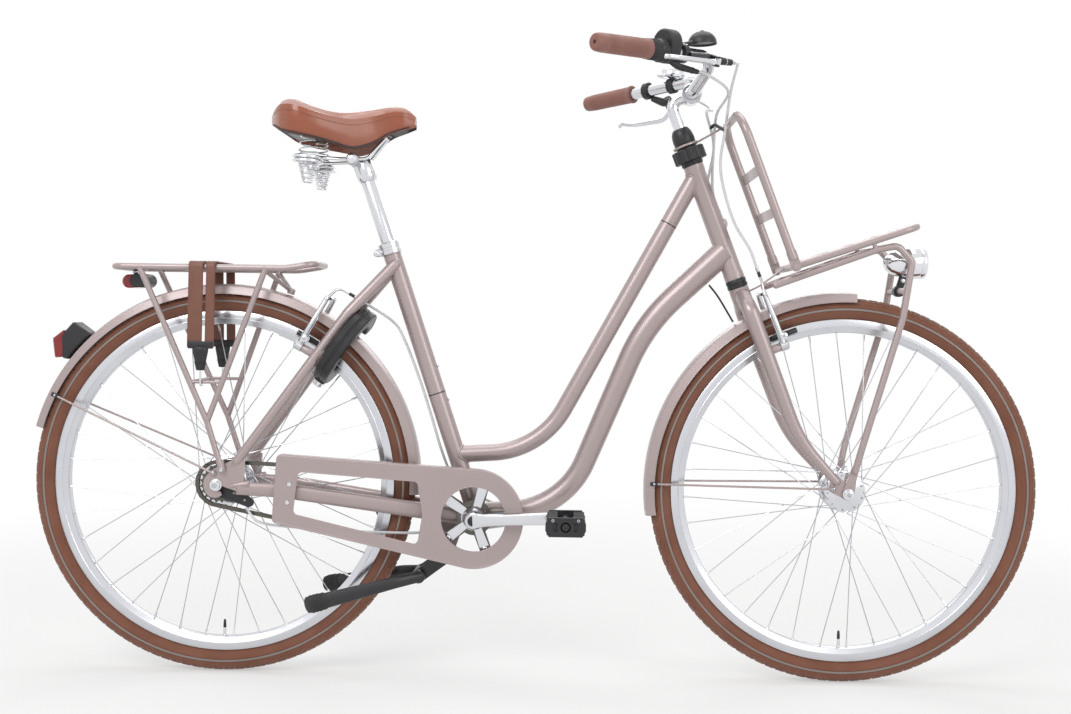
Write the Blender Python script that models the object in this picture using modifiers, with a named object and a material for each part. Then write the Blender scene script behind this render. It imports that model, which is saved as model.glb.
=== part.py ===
"""City bike with a low curved frame, two racks, a guarded chain and a sprung saddle.

Sizes are in metres. X points forward, Y to the rider's left and Z up. The origin lies on the
ground, midway between the axles. Each moving piece hangs from an empty on its joint's axis.
"""

import math

import bmesh
import bpy
from mathutils import Matrix, Vector

# Clearances
SEAT_GAP = 0.0003
RUNNING_GAP = 0.0006

# Wheels
WHEELBASE = 1.147
WHEEL_RADIUS = 0.356
TYRE_WIDTH = 0.047
TYRE_WALL = 0.0035
TYRE_HEIGHT = 0.039
TREAD_FLAT = 0.028
RIM_RADIUS = WHEEL_RADIUS - TYRE_HEIGHT
RIM_WIDTH = 0.025
RIM_DEPTH = 0.025
RIM_WALL = 0.002
RIM_TAPER = 0.003
RIM_BED_DEPTH = 0.008
BRAKE_TRACK_HEIGHT = 0.014
SPOKE_COUNT = 36
SPOKE_CROSSES = 3
SPOKE_RADIUS = 0.0009
SPOKE_PHASE = math.radians(3.1)
FLANGE_SPACING = 0.060
FLANGE_THICKNESS = 0.005
VALVE_LENGTH = 0.032
WHEEL_STEPS = 24

# Rear hub, from the middle outwards
REAR_HUB_WIDTH = 0.070
REAR_FLANGE_RADIUS = 0.046
REAR_BARREL_RADIUS = 0.036
REAR_AXLE_RADIUS = 0.005
DROPOUT_SPACING = 0.132
DROPOUT_THICKNESS = 0.005
NUT_HEIGHT = 0.009

# Front hub
FRONT_HUB_WIDTH = 0.0994
FRONT_FLANGE_RADIUS = 0.037
FRONT_BARREL_RADIUS = 0.030
FRONT_AXLE_RADIUS = 0.0045
FORK_SPACING = 0.100
FORK_TIP_THICKNESS = 0.0045
TONGUE_THICKNESS = 0.003

# Frame
HEAD_LEAN = math.radians(21.2)
FORK_RAKE = 0.050
SEAT_LEAN = math.radians(18.6)
BRACKET_X = 0.469
BRACKET_DROP = 0.055
BRACKET_RADIUS = 0.021
BRACKET_BORE = 0.017
BRACKET_WIDTH = 0.068
SEAT_TUBE_LENGTH = 0.5265
SEAT_TUBE_RADIUS = 0.0165
SEAT_BORE = 0.0139
HEAD_CLEARANCE = 0.0793
HEAD_TUBE_HEIGHT = WHEEL_RADIUS + HEAD_CLEARANCE
HEAD_TUBE_LENGTH = 0.224
HEAD_TUBE_RADIUS = 0.0185
HEAD_BORE = 0.016
LOWER_RING_HEIGHT = 0.017
TOP_TUBE_RADIUS = 0.0159
TOP_TUBE_START = 0.117
TOP_TUBE_CORNER = (0.5882, 0.4218)
TOP_TUBE_BEND = 0.16
TOP_TUBE_DROP = 0.018
DOWN_TUBE_RADIUS = 0.020
DOWN_TUBE_HEAD_RADIUS = 0.0235
DOWN_TUBE_LOW_CORNER = (0.6342, 0.3155)
DOWN_TUBE_LOW_BEND = 0.155
DOWN_TUBE_HIGH_CORNER = (0.7775, 0.6584)
DOWN_TUBE_HIGH_BEND = 0.35
DOWN_TUBE_RISE = 0.056
DOWN_TUBE_STOPS = [(0, DOWN_TUBE_RADIUS), (0.45, DOWN_TUBE_RADIUS), (1, DOWN_TUBE_HEAD_RADIUS)]
CHAIN_STAY_RADIUS = 0.016
CHAIN_STAY_END_RADIUS = 0.0115
CHAIN_STAY_FLATNESS = 0.5
SEAT_STAY_RADIUS = 0.011
SEAT_STAY_END_RADIUS = 0.0085
BRIDGE_RADIUS = 0.006

# Eyes on the dropouts and the fork tips, as (forward of, above) the axle
STAY_EYE = (-0.0043, 0.0217)
RACK_EYE = (0.0117, 0.0292)
FRONT_EYE = (-0.0275, 0.0088)
EYE_RADIUS = 0.0055

# The bracket that the stand swings on
STAND_PIVOT = (0.415, 0, 0.222)
STAND_PIN_RADIUS = 0.005
STAND_LUG_WIDTH = 0.028

# Drive
CHAIN_LINE = 0.047
CHAIN_WIDTH = 0.008
CHAIN_HEIGHT = 0.0084
CHAIN_PITCH = 0.0127
CHAIN_SIDES = 26
RING_TEETH = 38
SPROCKET_TEETH = 20
CRANK_LENGTH = 0.167
CRANK_ANGLE = math.radians(2.4)
CRANK_INNER = 0.078
CRANK_THICKNESS = 0.016
SPINDLE_RADIUS = 0.0085
PEDAL_WIDTH = 0.094
PEDAL_LENGTH = 0.070
PEDAL_HEIGHT = 0.034
GUARD_FACE = 0.070
GUARD_WALL = 0.002
GUARD_DEPTH = 0.0175
GUARD_RADIUS = 0.0907
GUARD_HOLE = 0.0586
GUARD_TOP_CORNER = (0.1180, 0.4045)
GUARD_LOW_CORNER = (0.1110, 0.2960)
GUARD_CORNER_RADIUS = 0.009
GUARD_BOLTS = ((0.1336, 0.359), (0.1302, 0.326))
PEDAL_AXLE_RADIUS = 0.005
CASSETTE_INNER = 0.0535
CASSETTE_OUTER = 0.0590

# Mudguards
MUDGUARD_CLEARANCE = 0.011
MUDGUARD_RADIUS = WHEEL_RADIUS + MUDGUARD_CLEARANCE
MUDGUARD_WIDTH = 0.055
MUDGUARD_DEPTH = 0.019
MUDGUARD_WALL = 0.0015
STAY_WIRE_RADIUS = 0.002

# Steering
LOCK_RING_RADIUS = 0.0305
LOCK_RING_LOBES = 12
LOCK_RING_HEIGHT = 0.024
LOCK_COLLAR_RADIUS = 0.020
LOCK_COLLAR_HEIGHT = 0.008
BOOT_RADIUS = 0.0205
BOOT_HEIGHT = 0.039
STEERER_RADIUS = 0.0143
QUILL_RADIUS = 0.0111
QUILL_RISE = 0.1747
QUILL_LOW = HEAD_TUBE_HEIGHT + QUILL_RISE
CROWN_DEPTH = 0.040
BLADE_SPREAD = 0.049
BLADE_RADIUS = 0.015
BLADE_TIP_RADIUS = 0.008
BAR_REACH = 0.0411
BAR_RISE = 0.1228
BAR_HEIGHT = HEAD_TUBE_HEIGHT + HEAD_TUBE_LENGTH + BAR_RISE
BAR_RADIUS = 0.0111
BAR_CLAMP_RADIUS = 0.0127
BAR_BORE = BAR_RADIUS + RUNNING_GAP
BAR_HALF_WIDTH = 0.305
BAR_SHOULDER = (0.033, 0.100, 0.048)
BAR_END = (-0.186, 0.031)
GRIP_LENGTH = 0.125
GRIP_RADIUS = 0.0150
GRIP_INNER_RADIUS = 0.0175
GRIP_CAP = 0.004
SLEEVE_LENGTH = 0.036
HOUSING_LENGTH = 0.026
LEVER_BACK = 0.040
LEVER_FORWARD = 0.048
LEVER_HUB_HEIGHT = 0.010
LEVER_PIN_RADIUS = 0.003
BRACKET_DISTANCE = {"right": 0.210, "left": 0.163}
BRACKET_TILT = {"right": math.radians(20), "left": math.radians(58)}
DOME_RADIUS = 0.0255
DOME_HEIGHT = 0.024
BELL_DISTANCE = 0.225
BELL_PIVOT_UP = 0.0150
BELL_LEVER_THICKNESS = 0.003

# Rim brakes
BOSS_DROP = 0.0245
BOSS_RADIUS = RIM_RADIUS - BOSS_DROP
BOSS_SPREAD = 0.044
BOSS_PIN_RADIUS = 0.004
FRONT_BOSS_FORWARD = 0.036
REAR_BRAKE_ANGLE = math.radians(60.5)
BRAKE_HUB_LENGTH = 0.014
BRAKE_ARM_LENGTH = 0.104
PAD_GAP = 0.0018
PAD_LENGTH = 0.052
PAD_HEIGHT = 0.010
PAD_DEPTH = 0.011
PAD_SHIFT = {"front": 0.010, "rear": -0.0065}
NOODLE_RADIUS = 0.003

# The cable pipe's elbow and open end on each right arm, in the place of the brake's bosses
NOODLES = {
    "front": ((0.004, 0.031, 0.119), (0.004, 0.031, 0.142)),
    "rear": ((-0.006, 0.020, 0.1275), (-0.040, 0.020, 0.1275)),
}

# Racks
REAR_RACK_CLEARANCE = 0.0394
REAR_RACK_HEIGHT = 2 * WHEEL_RADIUS + REAR_RACK_CLEARANCE
REAR_RACK_HALF_WIDTH = 0.060
REAR_RACK_START = -0.1955
REAR_RACK_END = 0.1749
RACK_TUBE_RADIUS = 0.006
RACK_ROD_RADIUS = 0.0035
RACK_LEG_RADIUS = 0.0055
RACK_LEG_TOPS = (-0.1455, 0.0853)
RACK_KNEE = (-0.0162, 0.0735, 0.4712)
RACK_ARCH_ANGLE = 71.3
HOOK_BAR_HEIGHT = 0.543
STRAP_LIFT = 0.0100
STRAP_BANDS = ((-0.039, 0.026), (-0.012, 0.016))
FRONT_RACK_TUBE_RADIUS = 0.008
FRONT_RAIL_RADIUS = 0.0065
FRONT_RACK_HALF_WIDTH = 0.105
PLATFORM_HALF_WIDTH = 0.072
PLATFORM_HEIGHT = 0.421
PLATFORM_FRONT = 0.333
BACK_FRAME_FORWARD = 0.095
BACK_FRAME_LOW = 0.435
BACK_FRAME_HIGH = 0.712
STRUT_Y = 0.068
LAMP_PIVOT = (0.274, 0.310)
LAMP_MIDDLE = (0.3011, 0.3545)
LAMP_BAR_RADIUS = 0.006
LAMP_RADIUS = 0.0285
LAMP_LENGTH = 0.077

# Ring lock
LOCK_STAY_X = 0.585
LOCK_HEIGHT = 0.337
LOCK_FORWARD = 0.0305
LOCK_DEPTH = 0.0286
LOCK_INNER = 0.052
LOCK_OUTER = 0.080
LOCK_RING_MIDDLE = 0.066
LOCK_OPEN = 40
BOLT_RADIUS = 0.00425
BOLT_SPAN = 100
KNOB_SLOT = 0.005

# Saddle
POST_RADIUS = 0.0136
POST_LOW = 0.300
POST_HIGH = 0.669
POST_DROP = 0.10
RAIL_RADIUS = 0.0035
SPRING_SPREAD = 0.070
SPRING_X = 0.162
SPRING_WIRE_RADIUS = 0.00135
COLLAR_WIRE_RADIUS = 0.00325
COLLAR_RADIUS = 0.0245
COLLAR_HIGH = 0.955
COLLAR_PITCH = 0.0075
COLLAR_STEPS = 9
SPRING_WIDE = 0.0180
RAIL_FRONT = 0.2944
PAN_LOW = 0.9984
PAN_HIGH = 1.0014
PAN_SHARE = 0.93
PAN_INSET = 0.014
COVER_GAP = 0.0006

# Sections of the saddle from its back to its nose: x, half width, top, and skirt height
SADDLE_SECTIONS = (
    (0.0905, 0.042, 1.034, 1.0120),
    (0.1020, 0.068, 1.050, 1.0040),
    (0.1180, 0.090, 1.0615, 0.9950),
    (0.1460, 0.106, 1.0585, 0.9880),
    (0.1800, 0.096, 1.0470, 0.9820),
    (0.2100, 0.079, 1.0412, 0.9755),
    (0.2400, 0.059, 1.0425, 0.9690),
    (0.2720, 0.042, 1.0482, 0.9790),
    (0.3040, 0.031, 1.0535, 0.9985),
    (0.3300, 0.025, 1.0515, 1.0080),
    (0.3490, 0.014, 1.0370, 1.0140),
)

# Cables
CABLE_RADIUS = 0.0025
CABLE_GAP = 0.0016
CABLE_SWEEP = 0.045
CABLE_MEET = 0.560
CABLE_TURNS = (62, 78)
GENTLE_TURN = math.radians(18)

# Joints' places that follow from the sizes
REAR_AXLE = Vector((0, 0, WHEEL_RADIUS))
BRACKET = Vector((BRACKET_X, 0, WHEEL_RADIUS - BRACKET_DROP))
SEAT_UP = Vector((-math.sin(SEAT_LEAN), 0, math.cos(SEAT_LEAN)))
HEAD_UP = Vector((-math.sin(HEAD_LEAN), 0, math.cos(HEAD_LEAN)))
HEAD_FORWARD = Vector((math.cos(HEAD_LEAN), 0, math.sin(HEAD_LEAN)))
STEERING_FOOT = Vector((WHEELBASE, 0, WHEEL_RADIUS)) - FORK_RAKE * HEAD_FORWARD
HEAD_TOP = HEAD_TUBE_HEIGHT + HEAD_TUBE_LENGTH
RING_RADIUS = RING_TEETH * CHAIN_PITCH / math.tau
SPROCKET_RADIUS = SPROCKET_TEETH * CHAIN_PITCH / math.tau
DROPOUT_FACE = DROPOUT_SPACING / 2 + DROPOUT_THICKNESS
FORK_FACE = FORK_SPACING / 2 + FORK_TIP_THICKNESS
TONGUE_FACE = FORK_FACE + SEAT_GAP
FRONT_STACK_FACE = TONGUE_FACE + TONGUE_THICKNESS
GUARD_LUG_FACE = GUARD_FACE - GUARD_WALL - SEAT_GAP
CROWN_LOW = HEAD_TUBE_HEIGHT - LOWER_RING_HEIGHT - CROWN_DEPTH
LOWER_BRIDGE = Vector((BRACKET_X - 0.092, 0, 0.3085))
STAY_BRIDGE = REAR_AXLE + Vector((0.245, 0, 0.3315))

# The front axle's place in the steering's coordinates, level with the ground at rest
FRONT_PLACE = Matrix.Translation((FORK_RAKE, 0, 0)) @ Matrix.Rotation(HEAD_LEAN, 4, "Y")

# The middle of the handlebar in the steering's coordinates, level with the ground at rest
BAR_PLACE = Matrix.Translation((BAR_REACH, 0, BAR_HEIGHT)) @ Matrix.Rotation(HEAD_LEAN, 4, "Y")

# Turned and round pieces
ROUND_STEPS = 12
ROD_SIDES = 6

ACROSS = Matrix.Rotation(-math.pi / 2, 4, "X")
SIDEWAYS = Matrix.Rotation(math.pi / 2, 4, "X")
ALONG_X = Matrix.Rotation(math.pi / 2, 4, "Y")
SIDES = {"right": -1, "left": 1}


# Scene and placing


def clear_scene():
    for thing in list(bpy.data.objects):
        bpy.data.objects.remove(thing, do_unlink=True)


def new_collection(name):
    group = bpy.data.collections.new(name)
    bpy.context.scene.collection.children.link(group)
    return group


clear_scene()
PARTS = new_collection("city_bike")
CUTTERS = new_collection("city_bike_cutters")


def shift(x=0.0, y=0.0, z=0.0):
    return Matrix.Translation((x, y, z))


def aimed(origin, direction):
    """A place at origin whose Z axis points along direction."""
    turn = Vector(direction).to_track_quat("Z", "Y").to_matrix().to_4x4()
    return Matrix.Translation(origin) @ turn


def axes(origin, along, up):
    """A place at origin with X along one direction and Z as near as it goes to another."""
    x = Vector(along).normalized()
    y = Vector(up).cross(x).normalized()
    z = x.cross(y)
    turn = Matrix((x, y, z)).transposed().to_4x4()
    return Matrix.Translation(origin) @ turn


def linked(data, place=None):
    shape = bpy.data.objects.new("shape", data)
    PARTS.objects.link(shape)
    shape.matrix_world = place or Matrix()
    return shape


def joint_empty(name, parent, place):
    """An empty on a joint's axis, which carries the pieces that the joint moves."""
    frame = bpy.data.objects.new(name, None)
    frame.empty_display_size = 0.05
    PARTS.objects.link(frame)
    frame.parent = parent
    frame.matrix_basis = place
    return frame


# Materials


def finish(name, colour, roughness, metallic=0.0):
    material = bpy.data.materials.new(name)
    material.use_nodes = True
    shader = material.node_tree.nodes["Principled BSDF"]
    shader.inputs["Base Color"].default_value = (*colour, 1)
    shader.inputs["Roughness"].default_value = roughness
    shader.inputs["Metallic"].default_value = metallic
    material.diffuse_color = (*colour, 1)
    return material


SAND_PAINT = finish("sand_paint", (0.41, 0.34, 0.29), 0.38, 0.3)
BROWN_RUBBER = finish("brown_rubber", (0.19, 0.075, 0.045), 0.75)
BROWN_LEATHER = finish("brown_leather", (0.27, 0.085, 0.035), 0.35)
BLACK_PLASTIC = finish("black_plastic", (0.02, 0.02, 0.023), 0.45)
BLACK_STEEL = finish("black_steel", (0.03, 0.03, 0.035), 0.4, 0.6)
CHROME = finish("chrome", (0.75, 0.75, 0.77), 0.12, 1.0)
ALUMINIUM = finish("aluminium", (0.68, 0.68, 0.7), 0.3, 1.0)
SPRING_STEEL = finish("spring_steel", (0.6, 0.6, 0.6), 0.25, 1.0)
CHAIN_STEEL = finish("chain_steel", (0.2, 0.19, 0.18), 0.4, 0.9)
RED_LENS = finish("red_lens", (0.45, 0.01, 0.01), 0.15)
WHITE_SLEEVE = finish("white_sleeve", (0.8, 0.8, 0.8), 0.4)


# Shapes


def bend(corners, step=math.radians(30)):
    """Points along a path whose inner corners (x, y, z, radius) are rounded."""
    path = [Vector(corners[0][:3])]
    for before, corner, after in zip(corners, corners[1:], corners[2:]):
        here = Vector(corner[:3])
        radius = corner[3] if len(corner) > 3 else 0
        inward = (here - Vector(before[:3])).normalized()
        outward = (Vector(after[:3]) - here).normalized()
        turn = inward.angle(outward)
        if radius == 0 or turn < 0.01:
            path.append(here)
            continue
        middle = here + (outward - inward).normalized() * radius / math.cos(turn / 2)
        start = here - inward * radius * math.tan(turn / 2)
        axis = inward.cross(outward).normalized()
        count = max(1, math.ceil(turn / step))
        for i in range(count + 1):
            path.append(middle + Matrix.Rotation(turn * i / count, 3, axis) @ (start - middle))
    path.append(Vector(corners[-1][:3]))
    return path


def radii_along(path, stops):
    """A radius for each point of a path, from (share of its length, radius) stops."""
    runs = [0.0]
    for a, b in zip(path, path[1:]):
        runs.append(runs[-1] + (b - a).length)
    radii = []
    for run in runs:
        share = run / runs[-1]
        radius = stops[-1][1]
        for (low, first), (high, last) in zip(stops, stops[1:]):
            if share <= high:
                radius = first + (last - first) * (share - low) / (high - low)
                break
        radii.append(radius)
    return radii


def tube(path, radius, detail=1, place=None, closed=False):
    """A round tube with filled ends. The radius is one number or (share, radius) stops."""
    path = [Vector(point) for point in path]
    stops = radius if isinstance(radius, (list, tuple)) else [(0, radius), (1, radius)]
    radii = radii_along(path, stops)
    curve = bpy.data.curves.new("tube", "CURVE")
    curve.dimensions = "3D"
    curve.bevel_depth = max(radii)
    curve.bevel_resolution = detail
    curve.use_fill_caps = not closed
    spline = curve.splines.new("POLY")
    spline.use_cyclic_u = closed
    spline.points.add(len(path) - 1)
    for point, where, size in zip(spline.points, path, radii):
        point.co = (*where, 1)
        point.radius = size / curve.bevel_depth
    return linked(curve, place)


def bmesh_shape(build, place=None):
    mesh = bpy.data.meshes.new("shape")
    work = bmesh.new()
    build(work)
    work.to_mesh(mesh)
    work.free()
    return linked(mesh, place)


def rod(start, end, radius, sides=ROD_SIDES, end_radius=None):
    """A straight round bar or a cone between two points."""
    start, end = Vector(start), Vector(end)

    def build(work):
        bmesh.ops.create_cone(
            work,
            cap_ends=True,
            segments=sides,
            radius1=radius,
            radius2=radius if end_radius is None else end_radius,
            depth=(end - start).length,
        )

    return bmesh_shape(build, aimed((start + end) / 2, end - start))


def across(middle, half, radius, sides=ROD_SIDES):
    """A round bar from side to side through a point."""
    reach = Vector((0, half, 0))
    return rod(Vector(middle) - reach, Vector(middle) + reach, radius, sides)


def block(size, place):
    def build(work):
        bmesh.ops.create_cube(work, size=1, matrix=Matrix.Diagonal((*size, 1)))

    return bmesh_shape(build, place)


def ball(radius, place, rings=8):
    def build(work):
        bmesh.ops.create_uvsphere(work, u_segments=2 * rings, v_segments=rings, radius=radius)

    return bmesh_shape(build, place)


def turned(profile, place, steps=ROUND_STEPS, sweep=math.tau, closed=False):
    """A profile of (radius, height) points turned about the place's Z axis."""

    def build(work):
        points = [work.verts.new((radius, 0, height)) for radius, height in profile]
        for a, b in zip(points, points[1:] + points[:1] if closed else points[1:]):
            work.edges.new((a, b))

    shape = bmesh_shape(build, place)
    screw = shape.modifiers.new("turn", "SCREW")
    screw.axis = "Z"
    screw.angle = sweep
    screw.steps = steps
    screw.render_steps = steps
    screw.use_merge_vertices = sweep == math.tau
    screw.merge_threshold = 0.00001
    screw.use_smooth_shade = True
    return shape


def pipe_ring(outer, bore, low, high, place, steps=ROUND_STEPS):
    profile = [(outer, high), (outer, low), (bore, low), (bore, high)]
    return turned(profile, place, steps, closed=True)


def plate(outline, thickness, place, holes=()):
    """A flat outline, with any holes, extruded evenly to both sides of the place's XY plane."""
    curve = bpy.data.curves.new("plate", "CURVE")
    curve.dimensions = "2D"
    curve.fill_mode = "BOTH"
    curve.extrude = thickness / 2
    for loop in (outline, *holes):
        spline = curve.splines.new("POLY")
        spline.points.add(len(loop) - 1)
        spline.use_cyclic_u = True
        for point, (x, y) in zip(spline.points, loop):
            point.co = (x, y, 0, 1)
    return linked(curve, place)


def side_plate(outline, thickness, y, holes=()):
    """A plate that stands in the XZ plane, with its middle at y."""
    return plate(outline, thickness, shift(y=y) @ SIDEWAYS, holes)


def circle(x, z, radius, sides=12):
    steps = range(sides)
    return [
        (x + radius * math.cos(math.tau * i / sides), z + radius * math.sin(math.tau * i / sides))
        for i in steps
    ]


def hull(*circles, sides=12):
    """The outline drawn tight around some (x, z, radius) circles."""
    points = sorted({point for x, z, radius in circles for point in circle(x, z, radius, sides)})

    def half(ordered):
        chain = []
        for point in ordered:
            while len(chain) > 1:
                (ax, ay), (bx, by) = chain[-2:]
                if (bx - ax) * (point[1] - ay) - (by - ay) * (point[0] - ax) > 1e-12:
                    break
                chain.pop()
            chain.append(point)
        return chain[:-1]

    return half(points) + half(points[::-1])


def ribbon(points, width):
    """The outline of a flat band along some (x, z) points."""
    left, right = [], []
    for i, here in enumerate(points):
        before = Vector(points[max(i - 1, 0)])
        after = Vector(points[min(i + 1, len(points) - 1)])
        side = (after - before).normalized().orthogonal() * width / 2
        left.append(tuple(Vector(here) + side))
        right.append(tuple(Vector(here) - side))
    return left + right[::-1]


def loft(rings, place=None):
    """A closed skin over rings of points, each with as many points as the next."""

    def build(work):
        skin = [[work.verts.new(point) for point in ring] for ring in rings]
        for low, high in zip(skin, skin[1:]):
            for i in range(len(low)):
                j = (i + 1) % len(low)
                work.faces.new((low[i], low[j], high[j], high[i]))
        work.faces.new(skin[0][::-1])
        work.faces.new(skin[-1])
        bmesh.ops.recalc_face_normals(work, faces=work.faces)

    return bmesh_shape(build, place)


def solid(shape):
    """The shape as a plain mesh object, with its modifiers applied and its caps welded."""
    bpy.context.view_layer.update()
    graph = bpy.context.evaluated_depsgraph_get()
    mesh = bpy.data.meshes.new_from_object(shape.evaluated_get(graph))
    work = bmesh.new()
    work.from_mesh(mesh)
    bmesh.ops.remove_doubles(work, verts=work.verts, dist=0.000002)
    work.to_mesh(mesh)
    work.free()
    made = linked(mesh, shape.matrix_world.copy())
    drop(shape)
    return made


def drop(shape):
    for modifier in shape.modifiers:
        if modifier.type == "BOOLEAN" and modifier.object:
            bpy.data.objects.remove(modifier.object, do_unlink=True)
    bpy.data.objects.remove(shape, do_unlink=True)


def join(target, *others):
    """One solid from overlapping shapes, in the target's place."""
    target = solid(target)
    for other in others:
        other = solid(other)
        union = target.modifiers.new("union", "BOOLEAN")
        union.operation = "UNION"
        union.object = other
        target = solid(target)
    return target


def cut(target, *cutters):
    """Takes the cutters out of the target with live Booleans."""
    target = solid(target) if target.type == "CURVE" else target
    for cutter in cutters:
        cutter = solid(cutter)
        PARTS.objects.unlink(cutter)
        CUTTERS.objects.link(cutter)
        cutter.hide_render = True
        cutter.display_type = "WIRE"
        difference = target.modifiers.new("cut", "BOOLEAN")
        difference.operation = "DIFFERENCE"
        difference.object = cutter
    return target


def piece(name, shape, carrier, material, drawn_on=None):
    """Names a shape, dresses it and hangs it on its carrier, from the one it is drawn on."""
    drawn_on = drawn_on or carrier
    shape.name = name
    shape.data.name = name
    shape.data.materials.clear()
    shape.data.materials.append(material)
    if shape.type == "MESH":
        shape.data.shade_smooth()
        shape.data.set_sharp_from_angle(angle=math.radians(35))
    number = 0
    for modifier in shape.modifiers:
        if modifier.type == "BOOLEAN":
            number += 1
            modifier.object.name = f"{name}_cutter_{number}"
            hang(modifier.object, carrier, drawn_on)
    hang(shape, carrier, drawn_on)


def hang(shape, carrier, drawn_on):
    place = world_place(carrier).inverted() @ world_place(drawn_on) @ shape.matrix_world
    shape.parent = carrier
    shape.matrix_basis = place


def world_place(carrier):
    if carrier.parent is None:
        return carrier.matrix_basis.copy()
    return world_place(carrier.parent) @ carrier.matrix_basis


# Carriers: the bike stands on its rear wheel's contact point, and each joint has its empty

BIKE = joint_empty("bike", None, shift(-WHEELBASE / 2))
STEERING = joint_empty(
    "steering_axis",
    BIKE,
    Matrix.Translation(STEERING_FOOT) @ Matrix.Rotation(-HEAD_LEAN, 4, "Y"),
)
REAR_WHEEL = joint_empty("rear_wheel_axis", BIKE, Matrix.Translation(REAR_AXLE))
SPROCKET = joint_empty("rear_sprocket_axis", BIKE, Matrix.Translation(REAR_AXLE))
FRONT_WHEEL = joint_empty("front_wheel_axis", STEERING, FRONT_PLACE)
CRANKS = joint_empty(
    "crank_axis", BIKE, Matrix.Translation(BRACKET) @ Matrix.Rotation(-CRANK_ANGLE, 4, "Y")
)
PEDALS = {
    side: joint_empty(
        f"pedal_{side}_axis",
        CRANKS,
        shift(-sign * CRANK_LENGTH) @ Matrix.Rotation(CRANK_ANGLE, 4, "Y"),
    )
    for side, sign in SIDES.items()
}


# Wheels


def build_tyre(name, wheel):
    """A shell that is open towards the rim, with its beads between the rim's flanges."""
    bead = RIM_WIDTH / 2 - RIM_WALL - SEAT_GAP
    bead_low = RIM_RADIUS - RIM_BED_DEPTH + SEAT_GAP
    shoulder = RIM_RADIUS + SEAT_GAP
    belly = (RIM_RADIUS + WHEEL_RADIUS) / 2 - 0.003
    half = TYRE_WIDTH / 2
    outer = [
        (bead_low, bead),
        (shoulder, bead),
        (belly, half),
        (WHEEL_RADIUS, TREAD_FLAT / 2),
    ]
    inner = [
        (bead_low, bead - TYRE_WALL - 0.0007),
        (belly + 0.0025, half - 0.0065),
    ]
    down = [(radius, -y) for radius, y in outer[::-1]]
    back = [(radius, -y) for radius, y in inner]
    crown = (WHEEL_RADIUS - TYRE_WALL, 0)
    section = outer + down + back + [crown] + inner[::-1]
    shape = turned(section, ACROSS, WHEEL_STEPS, closed=True)
    piece(name, shape, wheel, BROWN_RUBBER)


def build_rim(name, wheel):
    half = RIM_WIDTH / 2
    low = RIM_RADIUS - RIM_DEPTH
    bed = RIM_RADIUS - RIM_BED_DEPTH
    section = [
        (RIM_RADIUS, half),
        (RIM_RADIUS, half - RIM_WALL),
        (bed, half - RIM_WALL),
        (bed, RIM_WALL - half),
        (RIM_RADIUS, RIM_WALL - half),
        (RIM_RADIUS, -half),
        (low, RIM_TAPER - half),
        (low, half - RIM_TAPER),
    ]
    ring = turned(section, ACROSS, WHEEL_STEPS, closed=True)
    valve_tip = (0, 0, -low + VALVE_LENGTH)
    valve = rod((0, 0, -low - RIM_WALL), valve_tip, 0.003, 6, end_radius=0.002)
    piece(name, join(ring, valve), wheel, ALUMINIUM)


def spokes(flange_radius):
    """All spokes of a wheel, which cross on each side and end just inside the rim."""
    tip_radius = (RIM_RADIUS - RIM_DEPTH) * math.cos(math.pi / WHEEL_STEPS) - SEAT_GAP
    root_radius = flange_radius - 0.004
    lay = SPOKE_CROSSES * math.tau / (SPOKE_COUNT / 2)

    def build(work):
        for i in range(SPOKE_COUNT):
            side = 1 if i % 2 else -1
            trailing = 1 if (i // 2) % 2 else -1
            angle = SPOKE_PHASE + math.tau * i / SPOKE_COUNT
            hub_angle = angle + trailing * lay
            root_y = side * (FLANGE_SPACING / 2 + trailing * 0.0015)
            tip_y = side * (0.0025 + trailing * 0.0015)
            root = Vector(
                (root_radius * math.cos(hub_angle), root_y, root_radius * math.sin(hub_angle))
            )
            tip = Vector((tip_radius * math.cos(angle), tip_y, tip_radius * math.sin(angle)))
            bmesh.ops.create_cone(
                work,
                cap_ends=True,
                segments=3,
                radius1=SPOKE_RADIUS,
                radius2=SPOKE_RADIUS,
                depth=(tip - root).length,
                matrix=aimed((root + tip) / 2, tip - root),
            )

    return bmesh_shape(build)


def build_hub(name, wheel, width, flange_radius, barrel_radius, end_radius, axle_radius):
    """A hub barrel between two flanges, with a bore for its axle and its spokes fused on."""
    half = width / 2
    inner = FLANGE_SPACING / 2 - FLANGE_THICKNESS / 2
    outer = FLANGE_SPACING / 2 + FLANGE_THICKNESS / 2
    bore = axle_radius + SEAT_GAP
    section = [
        (end_radius, half),
        (end_radius, outer),
        (flange_radius, outer),
        (flange_radius, inner),
        (barrel_radius, inner - 0.004),
        (barrel_radius, 0.004 - inner),
        (flange_radius, -inner),
        (flange_radius, -outer),
        (end_radius, -outer),
        (end_radius, -half),
        (bore, -half),
        (bore, half),
    ]
    barrel = turned(section, ACROSS, closed=True)
    piece(name, join(barrel, spokes(flange_radius)), wheel, ALUMINIUM)


def build_axle(name, carrier, place, radius, face, end, spacer=None):
    """A threaded rod with a nut outside each dropout, and a spacer on the left of the hub."""
    shapes = [rod((0, -end, 0), (0, end, 0), radius, 12)]
    low = face + SEAT_GAP
    for sign in SIDES.values():
        shapes.append(rod((0, sign * low, 0), (0, sign * (low + NUT_HEIGHT), 0), 2 * radius, 6))
    if spacer:
        shapes.append(rod((0, spacer[0], 0), (0, spacer[1], 0), 0.011, 12))
    shape = join(*shapes)
    shape.matrix_world = place @ shape.matrix_world
    piece(name, shape, carrier, ALUMINIUM)


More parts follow.
